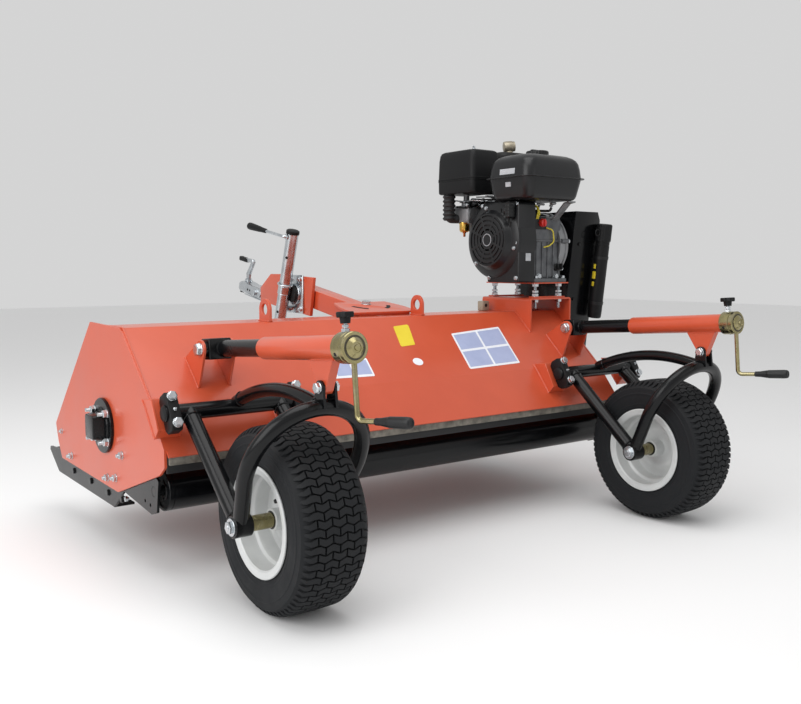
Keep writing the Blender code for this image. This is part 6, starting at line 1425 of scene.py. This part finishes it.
def makeMuffler():
    (x0, y0, z0), (x1, y1, z1) = muffler["low"], muffler["high"]
    shapes = [stacked(muffler, ((z0, 0.01, 0.016), (z0 + 0.003, 0.0045, 0.02), (z0 + 0.01, 0.001, 0.022),
        (z0 + 0.06, 0.0, 0.022), (z0 + 0.0615, -0.0006, 0.022), (z0 + 0.066, -0.0006, 0.022),
        (z0 + 0.0675, 0.0, 0.022), (z1 - 0.014, 0.0012, 0.022), (z1 - 0.005, 0.0055, 0.022),
        (z1 - 0.001, 0.012, 0.02), (z1, 0.018, 0.018)), 6)]
    # the louvres are painted shade: flat black strips on the box's top and front, not cut in
    for i in range(8):
        y = y0 + 0.022 + i * 0.0162
        shapes.append(withMaterial(block((x0 + 0.03, y, z1 - 0.0004), (x1 - 0.03, y + 0.006, z1 + 0.0006),
            0.0002, 1), 1))
    for i in range(6):
        x = x0 + 0.02 + i * 0.0165
        shapes.append(withMaterial(block((x, y0 - 0.0009, z0 + 0.078), (x + 0.007, y0 + 0.002, z1 - 0.022),
            0.0003, 1), 1))
    pipe = roundedPath([at(0.619, 0.66, z0 + 0.01), at(0.619, 0.66, 0.955), at(0.619, 0.676, 0.935)], 0.012,
        5)
    shapes.append(swept(pipe, 0.0165, 28))
    pieceFrom(shapes, "muffler", ["exhaustBlack", "shadowBlack"], slotName="bare_iron")
    outX, outY = muffler["outlet"]
    tall = muffler["outletTop"] - z1
    elbow = lathed([(-0.002, 0.0135), (0.003, 0.0125), (0.01, 0.0115), (0.014, 0.01)], at(outX, outY, z1),
        (0, 0, 1), 36)
    high = tall - 0.0195
    spout = lathed([(-0.0185, 0.015), (-0.017, 0.0178), (-0.012, 0.0188), (0.006, 0.0188), (0.011, 0.0182),
        (0.0112, 0.0168), (0.019, 0.0164), (0.019, 0.0146), (0.006, 0.0146)], at(outX, outY, z1 + high),
        (0.85, -0.5, 0.1), 40)
    pieceFrom([elbow, spout], "exhaustSpout", "heatedSteel", sharp=40, slotName="bare_iron")


# Controls, wires, fuel tap and hose
def makeControls():
    x, y, z = 0.567, 0.4377, 0.866
    plate = block((x - 0.03, y - 0.0006, z - 0.022), (x + 0.022, y + 0.004, z + 0.02), 0.002, 2)
    pieceFrom(plate, "switchPlate", "absBlack", sharp=35)
    knob = lathed([(0.0008, 0.0136), (0.008, 0.0132), (0.012, 0.0118), (0.013, 0.01)], at(x, y, z),
        (0, -1, 0), 32)
    bar = block((x - 0.003, y - 0.018, z - 0.012), (x + 0.003, y - 0.011, z + 0.012), 0.0014, 2)
    pieceFrom([knob, bar], "engineSwitch", "redPlastic", "engine_switch")
    wires = []
    for drift, end in ((0.0, (0.548, 0.52, 0.915)), (0.004, (0.5185, 0.452, 0.935)),
            (0.008, (0.556, 0.5, 0.905))):
        path = roundedPath([at(x - 0.018 - drift, y - 0.001, z + 0.012), at(x - 0.02 - drift, y - 0.012,
            z + 0.03 + drift), at(x - 0.022 - drift, y - 0.004, z + 0.052), at(*end)], 0.01, 6)
        wires.append(swept(path, 0.0019, 12))
    loop = roundedPath([at(x + 0.02, y - 0.001, z - 0.015), at(x + 0.046, y - 0.006, z - 0.022),
        at(x + 0.052, y - 0.006, z - 0.06), at(x + 0.03, y - 0.004, z - 0.074),
        at(x + 0.01, y + 0.001, z - 0.078)], 0.014, 6)
    wires.append(swept(loop, 0.0022, 12))
    pieceFrom(wires, "switchWires", "yellowWireCover", sharp=40, slotName="red_plastic")
    pivot = Vector((0.482, 0.575, 0.9323))
    post = lathed([(0.0003, 0.0078), (0.0028, 0.0078), (0.003, 0.006), (0.0062, 0.006), (0.008, 0.0045)],
        at(*pivot), (0, 0, 1), 6)
    blade = block((pivot.x - 0.05, pivot.y - 0.006, pivot.z + 0.0032),
        (pivot.x, pivot.y + 0.006, pivot.z + 0.0058), 0.0008, 1)
    tip = lathed([(0, 0.006), (0.01, 0.0052), (0.011, 0.004)],
        at(pivot.x - 0.044, pivot.y, pivot.z + 0.003), (0, 0, 1), 20)
    pieceFrom([post, blade, withMaterial(tip, 1)], "throttleLever", ["brightZinc", "absBlack"],
        "throttle_lever")
    tap = [lathed([(0, 0.007), (0.005, 0.007), (0.006, 0.005), (0.015, 0.0046), (0.016, 0.0062),
        (0.02, 0.0062), (0.0206, 0.003), (0.026, 0.0028)], at(0.572, 0.402, 0.936), (0, 0, -1), 20),
        rod(at(0.572, 0.402, 0.925), at(0.572, 0.384, 0.925), 0.0045, 16),
        block((0.556, 0.381, 0.9225), (0.575, 0.385, 0.9275), 0.0012, 1)]
    pieceFrom(tap, "fuelTap", "castAluminium")
    hose = roundedPath([at(0.572, 0.402, 0.912), at(0.572, 0.402, 0.902), at(0.556, 0.47, 0.905),
        at(0.536, 0.6, 0.915), at(0.52, 0.65, 0.915), at(0.496, 0.672, 0.915)], 0.01, 6)
    pieceFrom(swept(hose, 0.0042, 16), "fuelHose", "rubberSheet", sharp=40, slotName="black_plastic")
    linkage = []
    for line, radius in (([(0.43, 0.6, 0.951), (0.47, 0.585, 0.952), (0.512, 0.6, 0.951),
            (0.53, 0.64, 0.951)], 0.0018),
            ([(0.436, 0.69, 0.938), (0.462, 0.668, 0.942), (0.5, 0.66, 0.938)], 0.0015),
            ([(0.44, 0.71, 0.925), (0.452, 0.67, 0.92), (0.486, 0.652, 0.93)], 0.0028),
            ([(0.47, 0.64, 0.955), (0.5, 0.58, 0.954), (0.52, 0.56, 0.955)], 0.002)):
        linkage.append(swept(roundedPath([at(*p) for p in line], 0.008, 5), radius, 12))
    for x, y, z, wide in ((0.452, 0.662, 0.93, 0.008), (0.5, 0.655, 0.93, 0.012)):
        linkage.append(block((x - wide, y - 0.012, z - 0.01), (x + wide, y + 0.012, z + 0.012), 0.003, 2))
        linkage.append(withMaterial(hexBolt(at(x - wide, y, z), (-1, 0, 0), 0.005, 0.7), 1))
    coils = [at(0.47 + 0.001 * i / 3, 0.598 + 0.0032 * cos(i * 0.785), 0.956 + 0.0032 * sin(i * 0.785))
        for i in range(96)]
    linkage.append(withMaterial(swept(coils, 0.0006, 6), 1))
    pieceFrom(linkage, "carburettorLinkage", ["powderCoatBlack", "brightZinc"], sharp=40,
        slotName="black_plastic")
    lever = [prism([(0.428, 0.929), (0.436, 0.9295), (0.448, 0.913), (0.446, 0.89), (0.438, 0.8895),
        (0.438, 0.91)], "X", 0.552, 0.556, 0.0008, 1), rod(at(0.54, 0.433, 0.924), at(0.572, 0.433, 0.924),
        0.0035, 16), hexBolt(at(0.552, 0.442, 0.897), (-1, 0, 0), 0.0055, 0.7)]
    pieceFrom(lever, "governorArm", "castAluminium")
    lead = roundedPath([at(0.59, 0.755, 0.905), at(0.59, 0.785, 0.93), at(0.56, 0.76, 0.955),
        at(0.535, 0.64, 0.95), at(0.52, 0.56, 0.94)], 0.012, 6)
    boot = lathed([(0, 0.011), (0.018, 0.0105), (0.03, 0.0065), (0.036, 0.005)], at(0.59, 0.738, 0.89),
        (0, 0.6, 0.8), 24)
    pieceFrom([swept(lead, 0.0035, 14), boot], "sparkLead", "rubberSheet", sharp=40,
        slotName="black_plastic")


makeCrankcase()
makeBlower()
makeRecoilGrip()
makeTank()
makeFilter()
makeMuffler()
makeControls()
print("engine made")


# Arm bearing blocks on their welded brackets
def makeArmBlock(side, place, x):
    along = Vector((cos(bearing["tilt"]), sin(bearing["tilt"])))
    out = Vector((-along.y, along.x))
    pivot = Vector(arm["pivot"])
    half, corner = 0.045, 0.01
    corners = []
    for a, b in ((-1, -1), (1, -1), (1, 1), (-1, 1)):
        depth = bearing["face"] if b > 0 else 0.0225
        for first in ((True, False) if a * b < 0 else (False, True)):
            da, db = (corner, 0) if first else (0, corner)
            corners.append(pivot + along * a * (half - da) + out * b * (depth - db))
    wide = bearing["width"] / 2
    body = prism([(c.x, c.y) for c in corners], "X", x - wide, x + wide, 0.0022, 3)
    pieceFrom(body, f"{side}{place}ArmBlock", "polypropyleneBlack",
        stands=f"{side}_{place.lower()}_arm_bearing", slotName="black_paint")
    back = pivot - out * (0.0225 + 0.0003)
    top, low = back + along * half, back - along * (half - 0.014)
    upperY, lowerY = top.x + 0.05, low.x + 0.018
    outline = [(top.x, top.y), (low.x, low.y), (lowerY, rearZ(lowerY) + 0.0006),
        (deck["knee"][0], deck["knee"][1] + 0.0006), (upperY, rearZ(upperY) + 0.0006)]
    shapes = []
    for way in (-1, 1):
        shapes.append(prism(outline, "X", *sorted((x + way * 0.03, x + way * 0.0245)), 0.0008, 1))
        for a, b in zip(outline[1:], outline[2:] + outline[:1]):
            if b != outline[0] and a != outline[1]:
                shapes.append(weldBead([at(x + way * 0.0306, *a), at(x + way * 0.0306, *b)], 0.002, 9))
    inner = [(p[0] + 0.0016, p[1] - 0.0004) for p in outline[:2]] + outline[2:]
    shapes.append(prism(inner, "X", x - 0.025, x + 0.025, 0.0006, 1))
    pieceFrom(shapes, f"{side}{place}ArmBracket", "powderCoatOrange")


def makeArmPlugs(side, x):
    plugs = [lathed([(-0.001, 0.017), (0.0006, 0.0172), (0.0022, 0.015), (0.0034, 0.01), (0.0038, 0.004)],
        at(x + way * arm["crossHalf"], *arm["pivot"]), (way, 0, 0), 32) for way in (-1, 1)]
    pieceFrom(plugs, f"{side}ArmPlugs", "polypropyleneBlack", f"{side}_arm", sharp=40,
        slotName="black_paint")


# Engine stand: a folded sheet, and the engine's plate held above it on threaded studs
stand = {"left": 0.515, "right": 0.7, "rear": 0.43, "front": 0.66, "top": 0.625, "sheet": 0.005,
    "plate": (0.527, 0.688, 0.43, 0.655), "plateTop": 0.675, "plateThick": 0.004, "studX": (0.555, 0.662),
    "studY": (0.45, 0.642)}


def makeStand():
    rear = stand["rear"]
    left, right, top, sheet = stand["left"], stand["right"], stand["top"], stand["sheet"]
    side = [(rear, rearZ(rear) + 0.0006), (deck["crease"][0], deck["top"] + 0.0004),
        (stand["front"], deck["top"] + 0.0004), (stand["front"], top - 0.014), (rear, top - 0.014)]
    shapes = [prism(side, "X", left, left + sheet), prism(side, "X", right - sheet, right)]
    fold = [(left, top - 0.014)] + [(left + 0.008 - a, top - 0.008 + b) for a,
        b in arc((0, 0), 0.008, 0, 90, 6)]
    fold += [(right - 0.008 + a, top - 0.008 + b) for a, b in arc((0, 0), 0.008, 90, 0, 6)]
    fold += [(right, top - 0.014), (right - sheet, top - 0.014), (right - sheet, top - sheet),
        (left + sheet, top - sheet), (left + sheet, top - 0.014)]
    shapes.append(prism(fold, "Y", rear, stand["front"]))
    x0, x1, y0, y1 = stand["plate"]
    shapes.append(block((x0, y0, stand["plateTop"] - stand["plateThick"]), (x1, y1, stand["plateTop"]),
        0.0008, 1))
    for y in stand["studY"]:
        shapes.append(block((stand["studX"][0] - 0.018, y - 0.013, top - 0.0005),
            (stand["studX"][1] + 0.018, y + 0.013, top + 0.0045), 0.0012, 1))
    for x, way in ((left, -1), (right, 1)):
        foot = [at(x + way * 0.0008, a, b + 0.001) for a, b in side[:3]]
        shapes.append(weldBead(foot, 0.0024, 13))
    pieceFrom(shapes, "engineStand", "powderCoatOrange")
    studs = []
    low, high = top - 0.035, stand["plateTop"] - stand["plateThick"]
    for x in stand["studX"]:
        for y in stand["studY"]:
            turns = int((high - low) / 0.0016)
            profile = [(0, 0), (0, 0.0048)]
            for i in range(turns):
                profile += [((i + 0.25) * 0.0016, 0.0052), ((i + 0.75) * 0.0016, 0.006)]
            profile += [(high - low, 0.0052), (high - low, 0)]
            studs.append(turned(profile, at(x, y, low), (0, 0, 1), 18))
            studs.append(hexBolt(at(x, y, top + 0.0044), (0, 0, 1), 0.0112, 0.75))
            studs.append(hexBolt(at(x, y, top + 0.0175), (0, 0, 1), 0.0112, 0.65, False))
            studs.append(hexBolt(at(x, y, high - 0.0001), (0, 0, -1), 0.0112, 0.75))
            studs.append(hexBolt(at(x, y, top - sheet - 0.0001), (0, 0, -1), 0.0112, 0.75))
    pieceFrom(studs, "standStuds", "brightZinc", sharp=28)
    clip = block((0.462, 0.6, 0.5804), (0.492, 0.626, 0.612), 0.003, 2)
    # the hole is painted shade: a flat black disc on the block's face
    hole = lathed([(0, 0.006), (0.0006, 0.006)], at(0.477, 0.6002, 0.598), (0, -1, 0), 20)
    pieceFrom([clip, withMaterial(hole, 1)], "cableBlock", ["sandPlastic", "shadowBlack"], sharp=35,
        slotName="black_plastic")


# Belt guard, its fixings, the belt drive and the document canister
guard = {"left": 0.7173, "right": 0.8393, "tube": 0.024, "tubeCap": 0.0265, "tubeLength": 0.26,
    "capLength": 0.058}


def makeGuard():
    pieceFrom(softened("belt_guard", 0.0016, 2), "beltGuard", "powderCoatBlack")
    bolts = []
    for y, z in ((0.462, 0.862), (0.636, 0.862), (0.478, 0.64), (0.684, 0.64), (0.52, 0.4), (0.712, 0.38),
            (0.56, 0.252), (0.68, 0.252)):
        bolts.append(((guard["right"] - 0.0001, y, z), (1, 0, 0), 0.0065, 0.7))
    fasteners("guardBolts", bolts)
    rear = [(0.428, 0.905), (0.5, 0.328)]
    ribs = []
    for share in (0.18, 0.5, 0.82):
        y = rear[0][0] + (rear[1][0] - rear[0][0]) * share
        z = rear[0][1] + (rear[1][1] - rear[0][1]) * share
        ribs.append(((guard["left"] + 0.03, y - 0.0002, z), (0, -1, -0.124), 0.006, 0.7))
    fasteners("guardRearBolts", ribs, finishName="powderCoatBlack")
    # the slots are painted shade: flat black strips on the guard's face, not cut in
    louvres = []
    for i in range(6):
        y = 0.56 + i * 0.016
        shape = prism([(y, 0.56), (y + 0.006, 0.56), (y + 0.006, 0.7), (y, 0.7)], "X",
            guard["right"] - 0.0004, guard["right"] + 0.0005, 0.0003, 1)
        louvres.append(shape)
    pieceFrom(louvres, "guardSlots", "shadowBlack", sharp=35, slotName="black_paint")


def makeDrive():
    face = engine["bossEnd"] + 0.0006
    crank = at(face, engine["crankY"], engine["crankZ"])
    middle = rotor["pulley"] - face
    end = middle + pulleyHalf
    pulley = lathed([(0, 0.012), (middle - pulleyHalf, 0.012), *pulleyRim(middle, pulleyHalf, 0.05),
        (end, 0.028), (end - 0.003, 0.025)], crank, (1, 0, 0), 56)
    bolt = hexBolt(crank + Vector((end - 0.0032, 0, 0)), (1, 0, 0), 0.01)
    pieceFrom([pulley, bolt], "enginePulley", "forgedIron", "engine_pulley")
    pieceFrom(softened("drive_belt", 0.0012, 2, 40), "driveBelt", "rubberSheet", slotName="tyre_rubber")


def makeCanister():
    capLength = guard["capLength"]
    rear = (0.5 - 0.428) / (0.908 - 0.225 - 0.1)
    tilt = atan(rear)
    lean = Vector((0, sin(tilt), -cos(tilt)))
    topZ = 0.868
    faceY = 0.428 + (0.908 - topZ) * rear
    top = at(0.717 + 0.122 - guard["tube"] + 0.018, faceY - guard["tubeCap"] / cos(tilt) - 0.0006, topZ)
    across = Vector((1, 0, 0))
    other = lean.cross(across)
    rings = [(along, lambda i, radius=radius, rib=rib: radius - (0.0011 if i % 4 < 2 else 0) * rib)
        for along, radius, rib in ((0.0, 0.0215, 0), (0.0006, 0.0235, 0), (0.003, 0.0256, 0.3),
        (0.006, 0.0264, 1), (capLength - 0.006, 0.0264, 1), (capLength - 0.003, 0.0262, 0),
        (capLength - 0.0004, 0.0262, 0), (capLength, 0.025, 0))]
    cap = ribbed(rings, top, lean, 96)
    start, end = capLength, capLength + guard["tubeLength"]
    body = lathed([(start - 0.002, 0.0236), (start + 0.012, 0.0236), (start + 0.0125, 0.023),
        (start + 0.0145, 0.023), (start + 0.015, guard["tube"]), (end - 0.02, guard["tube"] - 0.0003),
        (end - 0.0195, 0.023), (end - 0.018, 0.023), (end - 0.0175, 0.0236), (end - 0.003, 0.0228),
        (end, 0.02)], top, lean, 56)
    shapes = [cap, body]
    for along in (0.108, 0.262):
        shapes.append(withMaterial(turned([(along, 0.0238), (along, 0.0254), (along + 0.01, 0.0254),
            (along + 0.01, 0.0238)], top, lean, 48), 1))
    hanger = [top + lean * 0.03 + Vector((-0.0262 - 0.0105 + 0.0105 * cos(a), -0.006, 0.0105 * sin(a)))
        for a in (tau * i / 28 for i in range(29))]
    shapes.append(withMaterial(swept(hanger, 0.0014, 10), 1))
    for start, end, first, count in ((0.135, 0.15, 172, 4), (0.16, 0.184, 166, 6), (0.194, 0.209, 172, 4)):
        mark = bmesh.new()
        edges = [[mark.verts.new(top + lean * along + (across * cos(a) + other * sin(a)) * 0.02425)
            for a in (radians(first + 6 * i) for i in range(count + 1))] for along in (start, end)]
        for i in range(count):
            mark.faces.new((edges[0][i], edges[0][i + 1], edges[1][i + 1], edges[1][i]))
        shapes.append(withMaterial(mark, 2))
    pieceFrom(shapes, "documentCanister", ["polypropyleneBlack", "absBlack", "yellowVinyl"],
        stands="document_tube", sharp=32, slotName="black_plastic")


for sideName, wheelX, places in (("left", -wheel["x"], ("Outer", "Inner")),
        ("right", wheel["x"], ("Inner", "Outer"))):
    makeArmBlock(sideName, places[0], wheelX - bearing["dx"])
    makeArmBlock(sideName, places[1], wheelX + bearing["dx"])
    makeArmPlugs(sideName, wheelX)
makeStand()
makeGuard()
makeDrive()
makeCanister()
print("stand, guard and drive made")


# Hitch plate, drawbar and coupling, all at the drawbar's pitch
draw = {"x": 0.04, "pitch": radians(9.6), "pivotY": 0.668, "pivotZ": 0.61, "plate": 0.006, "headY": 1.2673,
    "couplingZ": 0.6185, "sidePlate": -0.006}


def pitched(shape, place):
    return spun(shape, place, draw["pitch"], "X")


def makeHitch():
    place = (draw["x"], draw["pivotY"], draw["pivotZ"])
    pieceFrom(softened("hitch_plate", 0.0009, 1), "hitchPlate", "powderCoatOrange")
    # the two arc slots are painted shade: flat black strips laid on the plate, not cut in
    slots = []
    for way in (-1, 1):
        path = [(way * a, -b) for a, b in arc((0, 0), 0.07, 20, 62, 14)]
        outer = [(a * 1.085, b * 1.085) for a, b in path]
        inner = [(a * 0.915, b * 0.915) for a, b in path]
        slots.append(pitched(prism(outer + inner[::-1], "Z", 0.0001, 0.0007), place))
    pieceFrom(slots, "hitchSlots", "shadowBlack", sharp=35, slotName="orange_paint")
    turn = Matrix.Rotation(draw["pitch"], 3, "X")
    up = turn @ Vector((0, 0, 1))
    bolts = [hexBolt(at(*place) + up * 0.0002, up, 0.0145, 0.62)]
    pieceFrom(bolts, "hitchBolts", "brightZinc", sharp=25)


def makeDrawbar():
    body = softened("drawbar", 0.003, 3, 40)
    x = draw["sidePlate"]
    bead = weldBead([at(x + 0.015, y, z) for y, z in ((0.94, 0.6655), (1.02, 0.678), (1.24, 0.6545))],
        0.0026, 21)
    pieceFrom([body, bead], "drawbar", "powderCoatOrange", "drawbar", sharp=32)


def makeCoupling():
    place = (draw["x"], draw["headY"], draw["couplingZ"])
    loops = []
    for along, halfX, low, high, corner in ((0.004, 0.029, -0.0195, 0.019, 0.004),
            (0.0055, 0.03, -0.02, 0.02, 0.005), (0.09, 0.03, -0.02, 0.02, 0.006),
            (0.105, 0.0275, -0.02, 0.0175, 0.007), (0.135, 0.0265, -0.02, 0.017, 0.008),
            (0.15, 0.028, -0.02, 0.0185, 0.01), (0.164, 0.03, -0.02, 0.0205, 0.013),
            (0.184, 0.031, -0.02, 0.0215, 0.015), (0.202, 0.0285, -0.02, 0.02, 0.014),
            (0.215, 0.023, -0.0195, 0.0165, 0.012), (0.223, 0.015, -0.018, 0.01, 0.008),
            (0.2258, 0.009, -0.015, 0.003, 0.005)):
        loops.append([(a, along, b) for a, b in roundedRect((-halfX, low), (halfX, high), corner, 5)])
    body = pitched(loft(loops), place)
    shapes = [body]
    for way in (-1, 1):
        lip = block((way * 0.03 - 0.0022, 0.006, -0.0215), (way * 0.03 + 0.0022, 0.15, -0.0175), 0.0015, 2)
        shapes.append(pitched(lip, place))
        ear = prism([(0.17, 0.018), (0.198, 0.018)] + arc((0.184, 0.023), 0.01, 10, 170, 12),
            "X", *sorted((way * 0.0063, way * 0.0105)), 0.0006, 1)
        shapes.append(pitched(ear, place))
        # the side holes are painted shade: flat black discs on the head
        for along in (0.12, 0.138):
            hole = lathed([(0, 0.0042), (0.0006, 0.0042)], (0, 0, 0), (way, 0, 0), 20)
            bmesh.ops.translate(hole, verts=hole.verts, vec=at(way * 0.0266, along, -0.001))
            shapes.append(withMaterial(pitched(hole, place), 1))
    # the ball socket is painted shade: a flat black disc under the head
    socket = lathed([(0, 0.0255), (0.0008, 0.0255)], at(0, 0.1925, -0.0196), (0, 0, -1), 36)
    shapes.append(withMaterial(pitched(socket, place), 1))
    pieceFrom(shapes, "coupling", ["brightZinc", "shadowBlack"], "drawbar", sharp=32)
    bolts = []
    for way in (-1, 1):
        for along in (0.03, 0.072):
            bolts.append(pitched(hexBolt(at(way * 0.03, along, 0.0), (way, 0, 0), 0.0115, 0.65, True, 0.004
                if way > 0 else 0), place))
    pieceFrom(bolts, "couplingBolts", "brightZinc", "drawbar", sharp=25)
    lever = softened("coupling_lever", 0.0015, 2)
    pin = pitched(rod(at(-0.0135, 0.184, 0.023), at(0.0135, 0.184, 0.023), 0.0042, 20), place)
    shapes = [lever, pin]
    grip = pitched(loft([[(a, along, b + 0.098) for a, b in roundedRect((-w, -h), (w, h), 0.0045, 5)]
        for along, w, h in ((0.196, 0.0068, 0.0065), (0.198, 0.008, 0.0078), (0.212, 0.0086, 0.0084),
        (0.234, 0.0082, 0.008), (0.25, 0.009, 0.0088), (0.254, 0.0084, 0.008), (0.2555, 0.006, 0.0058))]),
        place)
    shapes.append(withMaterial(grip, 1))
    pieceFrom(shapes, "couplingLever", ["brightZinc", "polypropyleneBlack"], "coupling_lever")


# Jack on its swivel plate
jack = {"x": -0.045, "y": 1.029, "z": 0.634, "lean": radians(17.5), "top": 0.22, "bottom": 0.385,
    "radius": 0.02, "swivelY": 1.012, "clampLeft": -0.0123}
jackUp = Vector((0, -sin(jack["lean"]), cos(jack["lean"])))


def jackPoint(height):
    return at(jack["x"], jack["y"], jack["z"]) + jackUp * height


def makeJack():
    x, left = jack["x"], jack["clampLeft"]
    y, z = jack["swivelY"], jack["z"]
    clamp = softened("jack_clamp", 0.001, 1)
    pieceFrom(clamp, "jackClamp", "brightZinc", "drawbar")
    bolts = [((left - 0.0001, y + a * 0.038, z + b * 0.05), (-1, 0, 0), 0.01, 0.65, True, 0.004)
        for a in (-1, 1) for b in (-1, 1)]
    fasteners("jackClampBolts", bolts, "drawbar")
    radius, top, bottom = jack["radius"], jack["top"], jack["bottom"]
    tube = turned([(-bottom, 0.0169), (-bottom, radius - 0.0012), (-bottom + 0.0012, radius),
        (-bottom + 0.016, radius), (-bottom + 0.0165, radius + 0.0006), (-bottom + 0.02, radius + 0.0006),
        (-bottom + 0.0205, radius), (top - 0.01, radius), (top - 0.01, 0.0169)], jackPoint(0), jackUp, 48)
    cap = turned([(top - 0.012, 0), (top - 0.012, radius + 0.0014), (top - 0.0105, radius + 0.002),
        (top - 0.0015, radius + 0.0018), (top + 0.001, radius - 0.002), (top + 0.0022, radius - 0.008),
        (top + 0.0024, 0)], jackPoint(0), jackUp, 48)
    boss = rod(at(x + 0.0176, y, z), at(left - 0.0004, y, z), 0.0262, 40)
    swivelRing = turned([(-0.0066, 0.0235), (-0.0066, 0.035), (-0.0058, 0.036), (-0.0012, 0.036),
        (-0.0004, 0.0352), (-0.0004, 0.0235)], at(left, y, z), (1, 0, 0), 48)
    strap = turned([(-0.013, radius + 0.0002), (-0.013, radius + 0.0022), (0.013, radius + 0.0022),
        (0.013, radius + 0.0002)], jackPoint(0.016), jackUp, 48)
    hoop = turned([(0.0034 * sin(a), radius + 0.0036 + 0.0034 * cos(a))
        for a in (tau * i / 12 for i in range(12))], jackPoint(0.034), jackUp, 44)
    shapes = [tube, swivelRing, strap, hoop]
    # painted shade: the swivel boss is flat black for the dark bore, and the tube's holes below are flat
    # black discs
    shapes += [withMaterial(cap, 1), withMaterial(boss, 2)]
    for height, turn in ((-0.06, 200), (-0.1, 200), (0.13, 215)):
        a = radians(turn)
        across = Vector((1, 0, 0))
        out = across * cos(a) + jackUp.cross(across) * sin(a)
        shapes.append(withMaterial(lathed([(0, 0.0046), (0.0007, 0.0046)],
            jackPoint(height) + out * (radius - 0.0003), out, 20), 2))
    for height in (0.029, 0.003):
        shapes.append(ring(jackPoint(height), jackUp, radius + 0.0016, 0.0012, 40, 8, 6))
    pieceFrom(shapes, "jackTube", ["brightZinc", "polypropyleneBlack", "shadowBlack"], "jack")
    reach = (jack["z"] - 0.003) / cos(jack["lean"])
    leg = lathed([(-reach + 0.006, 0.0165), (-0.052, 0.0165)], jackPoint(0), jackUp, 40)
    foot = jackPoint(-reach) - shift
    outline = roundedRect((x - 0.045, foot.y - 0.06), (x + 0.045, foot.y + 0.06), 0.012, 5)
    plate = prism(outline, "Z", 0.0002, 0.006, 0.0008, 1)
    bead = ring(jackPoint(-reach + 0.01), (0, 0.0, 1), 0.0172, 0.0026, 36, 8, 4)
    pieceFrom([leg, plate, bead], "jackLeg", "brightZinc", "jack_leg")
    crankPoint = jackPoint(top - 0.022)
    bend = crankPoint - Vector((0.03, 0, 0))
    forward = (Vector((0, cos(draw["pitch"]), sin(draw["pitch"]))) + Vector((-0.15, 0, 0.05))).normalized()
    gripStart = bend + forward * 0.098
    path = roundedPath([crankPoint - Vector((0.01, 0, 0)), bend, gripStart + forward * 0.004], 0.01, 8)
    collar = lathed([(0, 0.0095), (0.0035, 0.0095), (0.0042, 0.008)],
        crankPoint - Vector((radius + 0.0002, 0, 0)), (-1, 0, 0), 28)
    grip = lathed([(0, 0.0068), (0.0015, 0.0076), (0.03, 0.009), (0.032, 0.0096), (0.07, 0.0118),
        (0.088, 0.0124), (0.0935, 0.0116), (0.095, 0.0096), (0.095, 0.005), (0.0942, 0.0046)], gripStart,
        forward, 32)
    pieceFrom([swept(path, 0.005, 18), collar, withMaterial(grip, 1)], "jackCrank",
        ["brightZinc", "polypropyleneBlack"], "jack_crank", sharp=32)
    pin = lathed([(0, 0.0085), (0.004, 0.0085), (0.0044, 0.005), (0.007, 0.0046), (0.0074, 0.0075),
        (0.01, 0.0072), (0.0106, 0.0056)], at(left - 0.0005, y + 0.04, z + 0.016), (-1, 0, 0), 24)
    pieceFrom(pin, "jackLockPin", "brightZinc", "drawbar")


makeHitch()
makeDrawbar()
makeCoupling()
makeJack()
print("drawbar, coupling and jack made")


# Floor
floorShape = bmesh.new()
bmesh.ops.create_grid(floorShape, x_segments=1, y_segments=1, size=14)
floorMesh = bpy.data.meshes.new("floor")
floorShape.to_mesh(floorMesh)
floorShape.free()
floor = bpy.data.objects.new("floor", floorMesh)
floor.location = (0, 0, cadBox[0][2] - 0.0005)
bpy.context.scene.collection.objects.link(floor)
floorPaint = bpy.data.materials.new("paleFloor")
floorPaint.use_nodes = True
floorPaint.node_tree.nodes["Principled BSDF"].inputs["Base Color"].default_value = (0.88, 0.88, 0.88, 1)
floorPaint.node_tree.nodes["Principled BSDF"].inputs["Roughness"].default_value = 0.85
floorMesh.materials.append(floorPaint)

print("scene made")
